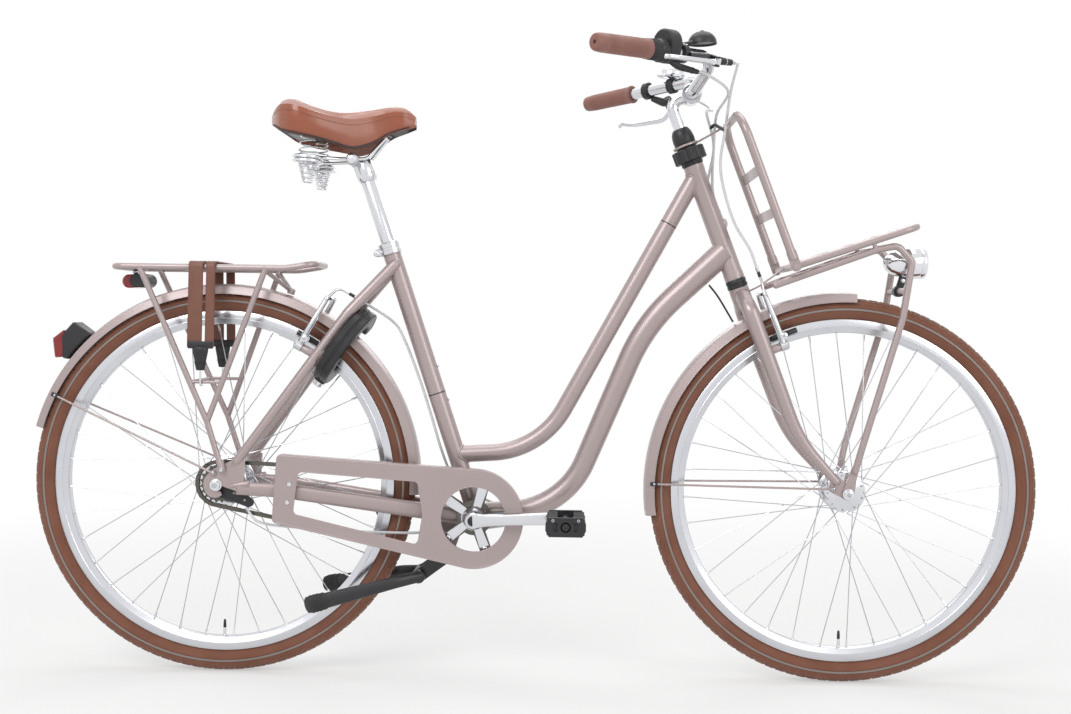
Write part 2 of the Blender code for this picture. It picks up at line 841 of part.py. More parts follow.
def build_wheels():
    for end, wheel in (("rear", REAR_WHEEL), ("front", FRONT_WHEEL)):
        build_tyre(f"{end}_tyre", wheel)
        build_rim(f"{end}_rim", wheel)
    build_hub(
        "rear_hub",
        REAR_WHEEL,
        REAR_HUB_WIDTH,
        REAR_FLANGE_RADIUS,
        REAR_BARREL_RADIUS,
        0.0205,
        REAR_AXLE_RADIUS,
    )
    build_hub(
        "front_hub",
        FRONT_WHEEL,
        FRONT_HUB_WIDTH,
        FRONT_FLANGE_RADIUS,
        FRONT_BARREL_RADIUS,
        0.012,
        FRONT_AXLE_RADIUS,
    )
    build_axle(
        "rear_axle",
        BIKE,
        Matrix.Translation(REAR_AXLE),
        REAR_AXLE_RADIUS,
        DROPOUT_FACE,
        DROPOUT_FACE + NUT_HEIGHT + 0.004,
        (REAR_HUB_WIDTH / 2 + RUNNING_GAP, DROPOUT_SPACING / 2 - SEAT_GAP),
    )
    build_axle(
        "front_axle",
        STEERING,
        shift(FORK_RAKE),
        FRONT_AXLE_RADIUS,
        FRONT_STACK_FACE,
        FRONT_STACK_FACE + NUT_HEIGHT + 0.002,
    )


# Frame


def head_point(height):
    """A point of the steering axis, that far above its foot."""
    return STEERING_FOOT + HEAD_UP * height


def seat_point(height):
    """A point of the seat tube's axis, that far above the bottom bracket."""
    return BRACKET + SEAT_UP * height


def top_tube_path():
    x, z = TOP_TUBE_CORNER
    low = seat_point(TOP_TUBE_START)
    return bend([low, (x, 0, z, TOP_TUBE_BEND), head_point(HEAD_TOP - TOP_TUBE_DROP)])


def down_tube_path():
    low_x, low_z = DOWN_TUBE_LOW_CORNER
    high_x, high_z = DOWN_TUBE_HIGH_CORNER
    return bend(
        [
            BRACKET,
            (low_x, 0, low_z, DOWN_TUBE_LOW_BEND),
            (high_x, 0, high_z, DOWN_TUBE_HIGH_BEND),
            head_point(HEAD_TUBE_HEIGHT + DOWN_TUBE_RISE),
        ]
    )


def chain_stay_path(side):
    wide = DROPOUT_SPACING / 2 + 0.002
    return bend(
        [
            (BRACKET_X - 0.007, side * 0.020, BRACKET.z - 0.004),
            (0.1156, side * 0.0560, REAR_AXLE.z - 0.0101, 0.15),
            (0.036, side * wide, REAR_AXLE.z - 0.006),
        ]
    )


def seat_stay_path(side):
    wide = DROPOUT_SPACING / 2 + 0.001
    top = seat_point(SEAT_TUBE_LENGTH - 0.040)
    return bend(
        [
            (0.036, side * wide, REAR_AXLE.z + 0.042),
            (0.236, side * 0.0425, REAR_AXLE.z + 0.319, 0.05),
            (top.x, side * 0.011, top.z),
        ]
    )


def flattened_tube(path, radius, flatness, detail=1):
    """An oval tube: it is drawn round with its Y stretched, and then pressed flat."""
    stretched = [Vector((point.x, point.y / flatness, point.z)) for point in path]
    shape = solid(tube(stretched, radius, detail))
    shape.data.transform(Matrix.Scale(flatness, 4, (0, 1, 0)))
    return shape


def dropout_outline():
    """A hooked plate, open at the front below the axle, around (x, z) from the axle."""
    rim = [
        (0.0527, 0.0445),
        (0.034, 0.046),
        (0.0117, 0.0370),
        (-0.0043, 0.0295),
        (-0.0150, 0.0200),
        (-0.0225, 0.0086),
        (-0.0225, -0.0060),
        (-0.0150, -0.0190),
        (-0.0016, -0.0239),
        (0.0111, -0.0182),
    ]
    axle = REAR_AXLE_RADIUS + SEAT_GAP
    slot = [
        (0.0080, -0.0115),
        (0.0010, -axle - 0.0055),
        (-0.0052, -axle + 0.0005),
        (-axle, 0.0),
        (-0.0040, 0.0042),
        (0.0, axle),
        (0.0042, 0.0046),
        (0.0130, -0.0030),
    ]
    front = [(0.0422, -0.0122), (0.0500, -0.0060)]
    return [(x, z + REAR_AXLE.z) for x, z in rim + slot + front]


def boss_place(end):
    """The place of a brake's bosses: X away from the frame, Z away from the hub."""
    if end == "front":
        tilt = math.asin((FORK_RAKE - FRONT_BOSS_FORWARD) / BOSS_RADIUS)
        return shift(FRONT_BOSS_FORWARD, 0, BOSS_RADIUS * math.cos(tilt))
    radial = Vector((math.cos(REAR_BRAKE_ANGLE), 0, math.sin(REAR_BRAKE_ANGLE)))
    outward = Vector((-radial.z, 0, radial.x))
    return axes(REAR_AXLE + radial * BOSS_RADIUS, outward, radial)


def boss_shapes(place, sign, reach):
    """A stub from the tube, and the thinner pin that the brake arm turns on."""
    back = place @ Vector((-BRAKE_HUB_LENGTH / 2 - SEAT_GAP, sign * BOSS_SPREAD, 0))
    root = place @ Vector((-reach, sign * BOSS_SPREAD, 0))
    tip = place @ Vector((BRAKE_HUB_LENGTH / 2 + 0.002, sign * BOSS_SPREAD, 0))
    return [rod(root, back, 0.0075), rod(root, tip, BOSS_PIN_RADIUS)]


def build_frame():
    head_low = head_point(HEAD_TUBE_HEIGHT)
    head_high = head_point(HEAD_TOP)
    half_bracket = BRACKET_WIDTH / 2
    seat_top = seat_point(SEAT_TUBE_LENGTH)
    shapes = [
        rod(head_low, head_high, HEAD_TUBE_RADIUS, ROUND_STEPS),
        tube(down_tube_path(), DOWN_TUBE_STOPS, 2),
        tube(top_tube_path(), TOP_TUBE_RADIUS, 2),
        rod(BRACKET, seat_top, SEAT_TUBE_RADIUS, ROUND_STEPS),
        across(BRACKET, half_bracket, BRACKET_RADIUS, ROUND_STEPS),
    ]
    for sign in SIDES.values():
        shapes.append(
            flattened_tube(
                chain_stay_path(sign),
                [(0, CHAIN_STAY_RADIUS), (0.5, CHAIN_STAY_RADIUS), (1, CHAIN_STAY_END_RADIUS)],
                CHAIN_STAY_FLATNESS,
            )
        )
        stay_stops = [(0, SEAT_STAY_END_RADIUS), (1, SEAT_STAY_RADIUS)]
        shapes.append(tube(seat_stay_path(sign), stay_stops))
        middle = sign * (DROPOUT_SPACING / 2 + DROPOUT_THICKNESS / 2)
        shapes.append(side_plate(dropout_outline(), DROPOUT_THICKNESS, middle))
        shapes.extend(boss_shapes(boss_place("rear"), sign, 0.037))
    shapes.append(across(LOWER_BRIDGE, 0.031, BRIDGE_RADIUS, 8))
    shapes.append(across(STAY_BRIDGE, 0.041, BRIDGE_RADIUS, 8))
    pivot_x, _, pivot_z = STAND_PIVOT
    bridge = (LOWER_BRIDGE.x + 0.001, LOWER_BRIDGE.z, 0.0048)
    lug = hull((pivot_x, pivot_z, 0.011), bridge, (0.447, 0.300, 0.006))
    shapes.append(side_plate(lug, STAND_LUG_WIDTH, 0))
    (high_x, high_z), (low_x, low_z) = GUARD_BOLTS
    guard_lug = hull((high_x, high_z, 0.008), (low_x, low_z, 0.008))
    shapes.append(side_plate(guard_lug, GUARD_LUG_FACE - 0.055, -(GUARD_LUG_FACE + 0.055) / 2))
    body = join(*shapes)
    seat_low = seat_point(POST_LOW - POST_DROP - 0.005)
    bores = [
        rod(head_low - HEAD_UP * 0.01, head_high + HEAD_UP * 0.01, HEAD_BORE, ROUND_STEPS),
        across(BRACKET, 0.05, BRACKET_BORE, ROUND_STEPS),
        rod(seat_low, seat_top + SEAT_UP * 0.01, SEAT_BORE, ROUND_STEPS),
        across(STAND_PIVOT, 0.03, STAND_PIN_RADIUS + RUNNING_GAP, 10),
    ]
    piece("frame", cut(body, *bores), BIKE, SAND_PAINT)


def build_frame_fittings():
    ring = pipe_ring(
        HEAD_TUBE_RADIUS + 0.0005,
        STEERER_RADIUS + RUNNING_GAP,
        -LOWER_RING_HEIGHT + SEAT_GAP,
        -SEAT_GAP,
        aimed(head_point(HEAD_TUBE_HEIGHT), HEAD_UP),
    )
    piece("headset_lower_cup", ring, BIKE, BLACK_PLASTIC)
    half = BRACKET_WIDTH / 2
    body_radius = BRACKET_BORE - SEAT_GAP
    bore = SPINDLE_RADIUS + RUNNING_GAP
    lip = BRACKET_RADIUS - 0.001
    cartridge = turned(
        [
            (lip, half + 0.0033),
            (lip, half + SEAT_GAP),
            (body_radius, half + SEAT_GAP),
            (body_radius, -half - SEAT_GAP),
            (lip, -half - SEAT_GAP),
            (lip, -half - 0.0033),
            (bore, -half - 0.0033),
            (bore, half + 0.0033),
        ],
        Matrix.Translation(BRACKET) @ ACROSS,
        closed=True,
    )
    piece("bottom_bracket", cartridge, BIKE, BLACK_STEEL)
    top = seat_point(SEAT_TUBE_LENGTH)
    collar_place = axes(top, (0, 1, 0), SEAT_UP)
    outside = SEAT_TUBE_RADIUS + 0.0042
    inside = SEAT_TUBE_RADIUS + SEAT_GAP
    throat = POST_RADIUS + SEAT_GAP
    collar = turned(
        [
            (outside, 0.003),
            (outside, -0.019),
            (inside, -0.019),
            (inside, SEAT_GAP),
            (throat, SEAT_GAP),
            (throat, 0.003),
        ],
        collar_place,
        closed=True,
    )
    behind = SEAT_TUBE_RADIUS + 0.009
    ears = block((0.020, 0.012, 0.014), collar_place @ shift(y=behind, z=-0.010))
    bolt = rod(
        collar_place @ Vector((-0.015, behind, -0.010)),
        collar_place @ Vector((0.015, behind, -0.010)),
        0.004,
        6,
    )
    piece("seat_clamp", join(collar, ears, bolt), BIKE, ALUMINIUM)
    axle_hole = circle(0, REAR_AXLE.z, REAR_AXLE_RADIUS + SEAT_GAP, 12)
    cover = hull((0, REAR_AXLE.z, 0.022), (0.058, REAR_AXLE.z - 0.033, 0.008))
    thickness = CASSETTE_OUTER - CASSETTE_INNER
    joint = side_plate(cover, thickness, -CASSETTE_INNER - thickness / 2, [axle_hole])
    spacer = pipe_ring(
        0.011,
        REAR_AXLE_RADIUS + SEAT_GAP,
        SEAT_GAP - DROPOUT_SPACING / 2,
        0.001 - CASSETTE_OUTER,
        Matrix.Translation(REAR_AXLE) @ ACROSS,
        12,
    )
    piece("cassette_joint", join(joint, spacer), BIKE, BLACK_PLASTIC)


# Mudguards


def polar(place, radius, angle, y=0.0):
    """A point around a wheel's middle, at an angle in degrees from the front."""
    turn = math.radians(angle)
    return place @ Vector((radius * math.cos(turn), y, radius * math.sin(turn)))


def mudguard_shell(place, start, end):
    """A curved guard over the wheel, from one angle to another, measured from the front."""
    half = MUDGUARD_WIDTH / 2
    rim = [
        (MUDGUARD_RADIUS - MUDGUARD_DEPTH, half),
        (MUDGUARD_RADIUS - MUDGUARD_DEPTH * 0.35, half * 0.9),
    ]
    profile = rim + [(MUDGUARD_RADIUS, 0)] + [(radius, -y) for radius, y in rim[::-1]]
    turn = place @ SIDEWAYS @ Matrix.Rotation(math.radians(start), 4, "Z")
    shell = turned(profile, turn, round((end - start) / 12), math.radians(end - start))
    wall = shell.modifiers.new("wall", "SOLIDIFY")
    wall.thickness = MUDGUARD_WALL
    wall.offset = -1
    return shell


def build_mudguard(name, carrier, place, span, eye, face, stay_angle, seats):
    """A guard with a wire stay on each side that ends in an eye bolted to the frame."""
    shapes = [mudguard_shell(place, *span)]
    eye_x, eye_z = eye
    inner = face + SEAT_GAP
    for sign in SIDES.values():
        low = place @ Vector((eye_x, sign * inner, eye_z))
        high = place @ Vector((eye_x, sign * (inner + 0.003), eye_z))
        head = place @ Vector((eye_x, sign * (inner + 0.0065), eye_z))
        start = place @ Vector((eye_x, sign * (inner + STAY_WIRE_RADIUS + 0.0015), eye_z))
        lip = polar(place, MUDGUARD_RADIUS - 0.012, stay_angle, sign * MUDGUARD_WIDTH / 2)
        shapes.append(rod(low, high, EYE_RADIUS, 6))
        shapes.append(rod(high - (head - high) * 0.1, head, 0.004, 6))
        shapes.append(rod(start, lip, STAY_WIRE_RADIUS, 6))
    piece(name, join(*shapes, *seats), carrier, SAND_PAINT)


def build_mudguards():
    rear = Matrix.Translation(REAR_AXLE)
    outward = (STAY_BRIDGE - REAR_AXLE).normalized()
    bridge_top = BRIDGE_RADIUS + SEAT_GAP
    strut = rod(
        REAR_AXLE + outward * (MUDGUARD_RADIUS - 0.003),
        STAY_BRIDGE - outward * bridge_top,
        0.008,
    )
    strap = ribbon(
        [
            (REAR_AXLE.x + MUDGUARD_RADIUS - 0.002, REAR_AXLE.z + 0.008),
            (LOWER_BRIDGE.x - 0.0085, REAR_AXLE.z - 0.020),
            (LOWER_BRIDGE.x - 0.0015, LOWER_BRIDGE.z + bridge_top + 0.0006),
        ],
        0.002,
    )
    seats = [strut, side_plate(strap, 0.016, 0)]
    build_mudguard(
        "rear_mudguard", BIKE, rear, (-3, 164.3), STAY_EYE, DROPOUT_FACE, 153.5, seats
    )
    low = math.sqrt(MUDGUARD_RADIUS**2 - FORK_RAKE**2) - 0.003
    crown_seat = rod((0, 0, low), (0, 0, CROWN_LOW - SEAT_GAP), 0.008)
    build_mudguard(
        "front_mudguard",
        STEERING,
        FRONT_PLACE,
        (87.4, 188),
        FRONT_EYE,
        FORK_FACE,
        178.5,
        [crown_seat],
    )


# Drive


def inside_chain(radius):
    """The largest radius that turns freely inside the chain on a wheel of that pitch radius."""
    return (radius - CHAIN_HEIGHT / 2) * math.cos(math.pi / CHAIN_SIDES) - SEAT_GAP


def build_drive():
    ring_tip = inside_chain(RING_RADIUS)
    turns = [math.tau * (i + 0.5) / 5 for i in range(5)]
    windows = [circle(0.048 * math.cos(t), 0.048 * math.sin(t), 0.0155, 6) for t in turns]
    chainring = side_plate(circle(0, 0, ring_tip, 28), 0.003, -CHAIN_LINE, windows)
    outer_face = CRANK_INNER + CRANK_THICKNESS
    middle = (CRANK_INNER + outer_face) / 2
    pedal_end = outer_face + PEDAL_WIDTH - 0.006
    arms = {
        side: side_plate(
            hull((0, 0, 0.0145), (-sign * CRANK_LENGTH, 0, 0.0115)), CRANK_THICKNESS, sign * middle
        )
        for side, sign in SIDES.items()
    }
    axles = {
        side: rod(
            (-sign * CRANK_LENGTH, sign * middle, 0),
            (-sign * CRANK_LENGTH, sign * pedal_end, 0),
            PEDAL_AXLE_RADIUS,
        )
        for side, sign in SIDES.items()
    }
    boss = rod((0, 0.001 - CHAIN_LINE, 0), (0, 0.002 - outer_face, 0), 0.0145, 12)
    collar = rod((0, -CHAIN_LINE - 0.004, 0), (0, 0.0022 - CHAIN_LINE, 0), 0.024, ROUND_STEPS)
    spindle = rod((0, 0.004 - outer_face, 0), (0, outer_face + 0.001, 0), SPINDLE_RADIUS, 12)
    shapes = [chainring, collar, boss, arms["right"], spindle, axles["right"]]
    piece("crankset", join(*shapes), CRANKS, ALUMINIUM)
    hole = rod(
        (0, CRANK_INNER - 0.01, 0), (0, outer_face + 0.01, 0), SPINDLE_RADIUS + SEAT_GAP, 12
    )
    piece("crank_left", cut(join(arms["left"], axles["left"]), hole), CRANKS, ALUMINIUM)
    for side, sign in SIDES.items():
        build_pedal(side, sign, outer_face + RUNNING_GAP)
    build_chain()
    build_chain_guard()


def build_pedal(side, sign, inner):
    """A pedal with two rubber treads on a hollow barrel, closed by a plate at each end."""
    outer = inner + PEDAL_WIDTH
    middle = sign * (inner + outer) / 2
    shapes = [rod((0, sign * inner, 0), (0, sign * outer, 0), 0.010, 12)]
    for y in (inner + 0.0025, outer - 0.0025):
        shapes.append(block((PEDAL_LENGTH, 0.005, PEDAL_HEIGHT), shift(0, sign * y, 0)))
    tread = (0.020, PEDAL_WIDTH - 0.002, PEDAL_HEIGHT - 0.004)
    for x in (-1, 1):
        shapes.append(block(tread, shift(x * (PEDAL_LENGTH / 2 - 0.0115), middle, 0)))
    bore = rod(
        (0, sign * (inner - 0.01), 0),
        (0, sign * (outer - 0.005), 0),
        PEDAL_AXLE_RADIUS + SEAT_GAP,
        12,
    )
    piece(f"pedal_{side}", cut(join(*shapes), bore), PEDALS[side], BLACK_PLASTIC)


def build_chain():
    half = CHAIN_HEIGHT / 2
    wheels = [(BRACKET.x, BRACKET.z, RING_RADIUS), (REAR_AXLE.x, REAR_AXLE.z, SPROCKET_RADIUS)]
    outer = hull(*[(x, z, radius + half) for x, z, radius in wheels], sides=CHAIN_SIDES)
    inner = hull(*[(x, z, radius - half) for x, z, radius in wheels], sides=CHAIN_SIDES)
    piece("chain", side_plate(outer, CHAIN_WIDTH, -CHAIN_LINE, [inner]), BIKE, CHAIN_STEEL)
    bore = REAR_AXLE_RADIUS + RUNNING_GAP
    tip = inside_chain(SPROCKET_RADIUS)
    sprocket = side_plate(circle(0, 0, tip, 18), 0.003, -CHAIN_LINE, [circle(0, 0, bore, 12)])
    low = RUNNING_GAP - CASSETTE_INNER
    high = -REAR_HUB_WIDTH / 2 - RUNNING_GAP
    driver = pipe_ring(0.018, bore, low, high, ACROSS)
    piece("rear_sprocket", join(driver, sprocket), SPROCKET, CHAIN_STEEL)


def guard_outline(inset, beyond):
    """The guard's outline, drawn in by a wall, and run on past its rear corners."""
    front = Vector((BRACKET.x, BRACKET.z))
    circles = [(front.x, front.y, GUARD_RADIUS - inset)]
    for corner, side in ((GUARD_TOP_CORNER, 1), (GUARD_LOW_CORNER, -1)):
        reach = front - Vector(corner)
        lean = side * math.asin((GUARD_RADIUS - GUARD_CORNER_RADIUS) / reach.length)
        angle = math.atan2(reach.y, reach.x) + lean
        x = corner[0] - beyond * math.cos(angle)
        z = corner[1] - beyond * math.sin(angle)
        circles.append((x, z, GUARD_CORNER_RADIUS - inset))
    return hull(*circles, sides=22)


def build_chain_guard():
    """A thin face with a rim that turns inwards along its edge, open at the back."""
    inner_edge = GUARD_FACE - GUARD_DEPTH
    wall_face = GUARD_FACE - GUARD_WALL
    body = side_plate(guard_outline(0, 0), GUARD_DEPTH, -(GUARD_FACE + inner_edge) / 2)
    depth = wall_face - inner_edge + 0.01
    hollow = side_plate(guard_outline(GUARD_WALL, 0.03), depth, depth / 2 - wall_face)
    middle = Vector((BRACKET.x, -GUARD_FACE, BRACKET.z))
    hole = across(middle, 0.012, GUARD_HOLE, 16)
    window = hull(
        (0.157, 0.3725, 0.009),
        (0.1505, 0.3125, 0.009),
        (0.360, 0.2640, 0.009),
        (0.366, 0.3083, 0.010),
        (0.359, 0.3590, 0.009),
    )
    opening = side_plate(window, 0.024, -GUARD_FACE)
    shapes = [solid(cut(body, hollow, hole, opening))]
    for x, z in GUARD_BOLTS:
        shapes.append(
            rod((x, -wall_face - 0.0005, z), (x, -GUARD_FACE - 0.0025, z), 0.0045, 6)
        )
    piece("chain_guard", join(*shapes), BIKE, SAND_PAINT)


# Fork and headset


def build_fork():
    crown_high = HEAD_TUBE_HEIGHT - LOWER_RING_HEIGHT - SEAT_GAP
    steerer_high = HEAD_TOP + LOCK_COLLAR_HEIGHT + LOCK_RING_HEIGHT - 0.004
    shapes = [
        rod((0, 0, CROWN_LOW), (0, 0, crown_high), HEAD_TUBE_RADIUS, ROUND_STEPS),
        rod((0, 0, CROWN_LOW + 0.01), (0, 0, steerer_high), STEERER_RADIUS, ROUND_STEPS),
    ]
    tip = FRONT_PLACE @ Vector((-0.0207, 0, 0.0217))
    eye_x, eye_z = FRONT_EYE
    for sign in SIDES.values():
        blade = bend(
            [
                (0, sign * 0.006, CROWN_LOW + 0.030),
                (0, sign * BLADE_SPREAD, CROWN_LOW + 0.001, 0.028),
                (0, sign * BLADE_SPREAD, 0.126, 0.25),
                (tip.x, sign * (FORK_SPACING / 2 + 0.0022), tip.z),
            ]
        )
        stops = [(0, 0.0130), (0.15, BLADE_RADIUS), (0.5, BLADE_RADIUS), (1, BLADE_TIP_RADIUS)]
        shapes.append(tube(blade, stops, 2))
        outline = hull((0, 0, 0.011), (eye_x, eye_z, 0.0065), (-0.024, 0.030, 0.0065))
        hole = circle(0, 0, FRONT_AXLE_RADIUS + SEAT_GAP, 12)
        middle = sign * (FORK_SPACING + FORK_TIP_THICKNESS) / 2
        lug = side_plate(outline, FORK_TIP_THICKNESS, middle, [hole])
        lug.matrix_world = FRONT_PLACE @ lug.matrix_world
        shapes.append(lug)
        shapes.extend(boss_shapes(boss_place("front"), sign, FRONT_BOSS_FORWARD))
    bore = rod(
        (0, 0, QUILL_LOW - 0.005), (0, 0, steerer_high + 0.01), QUILL_RADIUS + RUNNING_GAP, 12
    )
    piece("fork", cut(join(*shapes), bore), STEERING, SAND_PAINT)


def build_headset_top():
    """The knurled ring that locks the steering, and the rubber boot above it."""
    low = HEAD_TOP + SEAT_GAP
    middle = HEAD_TOP + LOCK_COLLAR_HEIGHT
    high = middle + LOCK_RING_HEIGHT
    hole = STEERER_RADIUS + RUNNING_GAP
    count = 2 * LOCK_RING_LOBES
    knurl = []
    for i in range(count):
        radius = LOCK_RING_RADIUS - 0.0022 * (i % 2)
        turn = math.tau * i / count
        knurl.append((radius * math.cos(turn), radius * math.sin(turn)))
    thickness = high - middle
    ring = plate(knurl, thickness, shift(z=middle + thickness / 2), [circle(0, 0, hole, 12)])
    collar = pipe_ring(LOCK_COLLAR_RADIUS, hole, low, middle + 0.001, Matrix())
    carrier = joint_empty("steering_lock_ring_axis", BIKE, Matrix.Identity(4))
    carrier.matrix_basis = STEERING.matrix_basis @ shift(z=middle)
    piece("steering_lock_ring", join(ring, collar), carrier, BLACK_PLASTIC, STEERING)
    base = high + SEAT_GAP
    bore = QUILL_RADIUS + RUNNING_GAP
    boot = turned(
        [
            (0.0145, base + BOOT_HEIGHT),
            (0.0185, base + BOOT_HEIGHT * 0.80),
            (BOOT_RADIUS, base + BOOT_HEIGHT * 0.45),
            (0.0195, base + BOOT_HEIGHT * 0.12),
            (0.0180, base),
            (bore, base),
            (bore, base + BOOT_HEIGHT),
        ],
        Matrix(),
        closed=True,
    )
    piece("stem_boot", boot, STEERING, BLACK_PLASTIC)


# Handlebar


def bar_place(side, distance, drop_angle=0.0):
    """A place on the bar, that far in from the grip's end, with X along the bar outwards.

    Its Y runs forwards on the right side and backwards on the left, and its Z up.
    """
    sign = SIDES[side]
    x, y, z = BAR_SHOULDER
    end_x, end_z = BAR_END
    end = Vector((end_x, sign * BAR_HALF_WIDTH, end_z))
    along = (end - Vector((x, sign * y, z))).normalized()
    turn = Matrix.Rotation(sign * drop_angle, 4, "X")
    return BAR_PLACE @ axes(end - along * distance, along, (0, 0, 1)) @ turn


def ahead(side, u, forward, up):
    """A point in a bar place: outwards along the bar, forwards and up."""
    return Vector((u, -SIDES[side] * forward, up))


def build_bar():
    clamp = BAR_PLACE.translation
    reach = bend([(0, 0, QUILL_LOW), (0, 0, BAR_HEIGHT + 0.001, 0.019), clamp])
    stem = tube(reach, [(0, QUILL_RADIUS), (0.8, QUILL_RADIUS), (1, 0.013)], 3)
    barrel = across(clamp, 0.018, 0.0185, ROUND_STEPS)
    bore = across(clamp, 0.03, BAR_CLAMP_RADIUS + SEAT_GAP, ROUND_STEPS)
    piece("stem", cut(join(stem, barrel), bore), STEERING, ALUMINIUM)
    x, y, z = BAR_SHOULDER
    corners = [
        bar_place("right", GRIP_CAP + SEAT_GAP).translation,
        (*(BAR_PLACE @ Vector((x, -y, z))), 0.05),
        (*(BAR_PLACE @ Vector((0, -0.034, 0))), 0.03),
        (*(BAR_PLACE @ Vector((0, 0.034, 0))), 0.03),
        (*(BAR_PLACE @ Vector((x, y, z))), 0.05),
        bar_place("left", GRIP_CAP + SEAT_GAP).translation,
    ]
    bulge = across(clamp, 0.021, BAR_CLAMP_RADIUS, 12)
    piece("handlebar", join(tube(bend(corners), BAR_RADIUS, 2), bulge), STEERING, ALUMINIUM)


def build_grips():
    bore = BAR_BORE
    profile = [
        (0, 0),
        (GRIP_RADIUS * 0.8, 0),
        (GRIP_RADIUS, -0.004),
        (GRIP_RADIUS + 0.001, -0.02),
        (GRIP_INNER_RADIUS - 0.001, 0.02 - GRIP_LENGTH),
        (GRIP_INNER_RADIUS, -GRIP_LENGTH),
        (bore, -GRIP_LENGTH),
        (bore, -GRIP_CAP),
        (0, -GRIP_CAP),
    ]
    for side in SIDES:
        shape = turned(profile, bar_place(side, 0) @ ALONG_X)
        piece(f"grip_{side}", shape, STEERING, BROWN_RUBBER)


def build_shifter():
    place = bar_place("right", 0) @ ALONG_X
    bore = BAR_BORE
    start = GRIP_LENGTH + SEAT_GAP
    end = start + SLEEVE_LENGTH
    sleeve = turned(
        [(0.0175, -start), (0.0180, -start - 0.020), (0.0205, -end), (bore, -end), (bore, -start)],
        place,
        closed=True,
    )
    carrier = joint_empty("twist_shifter_axis", STEERING, place @ shift(z=-start))
    piece("twist_shifter", sleeve, carrier, BLACK_PLASTIC, STEERING)
    middle = bar_place("right", end + SEAT_GAP + HOUSING_LENGTH / 2)
    outline = hull((0, 0, 0.0205), (-0.013, 0, 0.0245))
    housing = plate(outline, HOUSING_LENGTH, middle @ ALONG_X, [circle(0, 0, bore, 12)])
    path = [(0, 0.004, -0.016), (-0.016, 0.006, -0.0235), (-0.062, 0.012, -0.031)]
    outlet = tube(
        [middle @ ahead("right", *point) for point in path],
        [(0, 0.0045), (0.4, 0.0060), (1, 0.0042)],
    )
    piece("shifter_housing", join(housing, outlet), STEERING, BLACK_PLASTIC)


def build_levers():
    for side in SIDES:
        place = bar_place(side, BRACKET_DISTANCE[side], BRACKET_TILT[side])
        pivot = place @ Matrix.Translation(ahead(side, -LEVER_BACK, LEVER_FORWARD, 0))
        build_brake_bracket(side, place, pivot)
        build_brake_lever(side, place, pivot)


def build_brake_bracket(side, place, pivot):
    """A clamp on the bar, a body that reaches to the cable's barrel, and the lever's fork."""
    clamp = pipe_ring(0.0165, BAR_BORE, -0.006, 0.006, place @ ALONG_X)
    root, elbow, barrel = [(-0.004, 0.0168, 0), (-0.026, 0.029, 0), (-0.088, 0.038, 0)]
    corner = (*(place @ ahead(side, *elbow)), 0.02)
    path = bend([place @ ahead(side, *root), corner, place @ ahead(side, *barrel)])
    shapes = [clamp, tube(path, [(0, 0.0055), (0.3, 0.0085), (0.7, 0.0075), (1, 0.0048)])]
    lip = hull((0, 0, 0.006), (0, SIDES[side] * 0.019, 0.006))
    level = LEVER_HUB_HEIGHT / 2 + RUNNING_GAP + 0.0015
    for up in (-level, level):
        shapes.append(plate(lip, 0.003, pivot @ shift(z=up)))
    pin = Vector((0, 0, level + 0.0015))
    shapes.append(rod(pivot @ -pin, pivot @ pin, LEVER_PIN_RADIUS, 8))
    if side == "right":
        shapes.extend(second_dome(side, place))
    piece(f"brake_bracket_{side}", join(*shapes), STEERING, BLACK_PLASTIC)


def build_brake_lever(side, place, pivot):
    half = LEVER_HUB_HEIGHT / 2
    hub = pipe_ring(0.0065, LEVER_PIN_RADIUS + SEAT_GAP, -half, half, pivot, 10)
    spots = [
        (-LEVER_BACK + 0.005, LEVER_FORWARD + 0.001, 0),
        (-0.010, 0.066, 0, 0.04),
        (0.070, 0.064, 0, 0.12),
        (0.094, 0.056, -0.001, 0.012),
        (0.101, 0.060, -0.001),
    ]
    path = bend([(*(place @ ahead(side, *spot[:3])), *spot[3:]) for spot in spots])
    lever = join(hub, tube(path, [(0, 0.0048), (0.5, 0.0048), (1, 0.0040)]))
    carrier = joint_empty(f"brake_lever_{side}_axis", STEERING, pivot)
    piece(f"brake_lever_{side}", lever, carrier, ALUMINIUM, STEERING)


def dome(place):
    """A bell's cap, closed by its base plate."""
    turns = [math.pi / 2 * i / 3 for i in range(4)]
    profile = [(DOME_RADIUS * math.sin(t), DOME_HEIGHT * math.cos(t)) for t in turns]
    return turned(profile + [(0, 0)], place)


def second_dome(side, place):
    """A bell cap on a post that stands on the bracket's clamp, level above the bar."""
    level = place @ Matrix.Rotation(-SIDES[side] * BRACKET_TILT[side], 4, "X")
    base = BAR_RADIUS + 0.008
    root = level @ ahead(side, 0, 0.002, 0.0145)
    tip = level @ ahead(side, -0.034, 0.004, base + 0.003)
    cap = dome(level @ Matrix.Translation(ahead(side, -0.050, 0.004, base)))
    return [tube([root, tip], 0.004), cap]


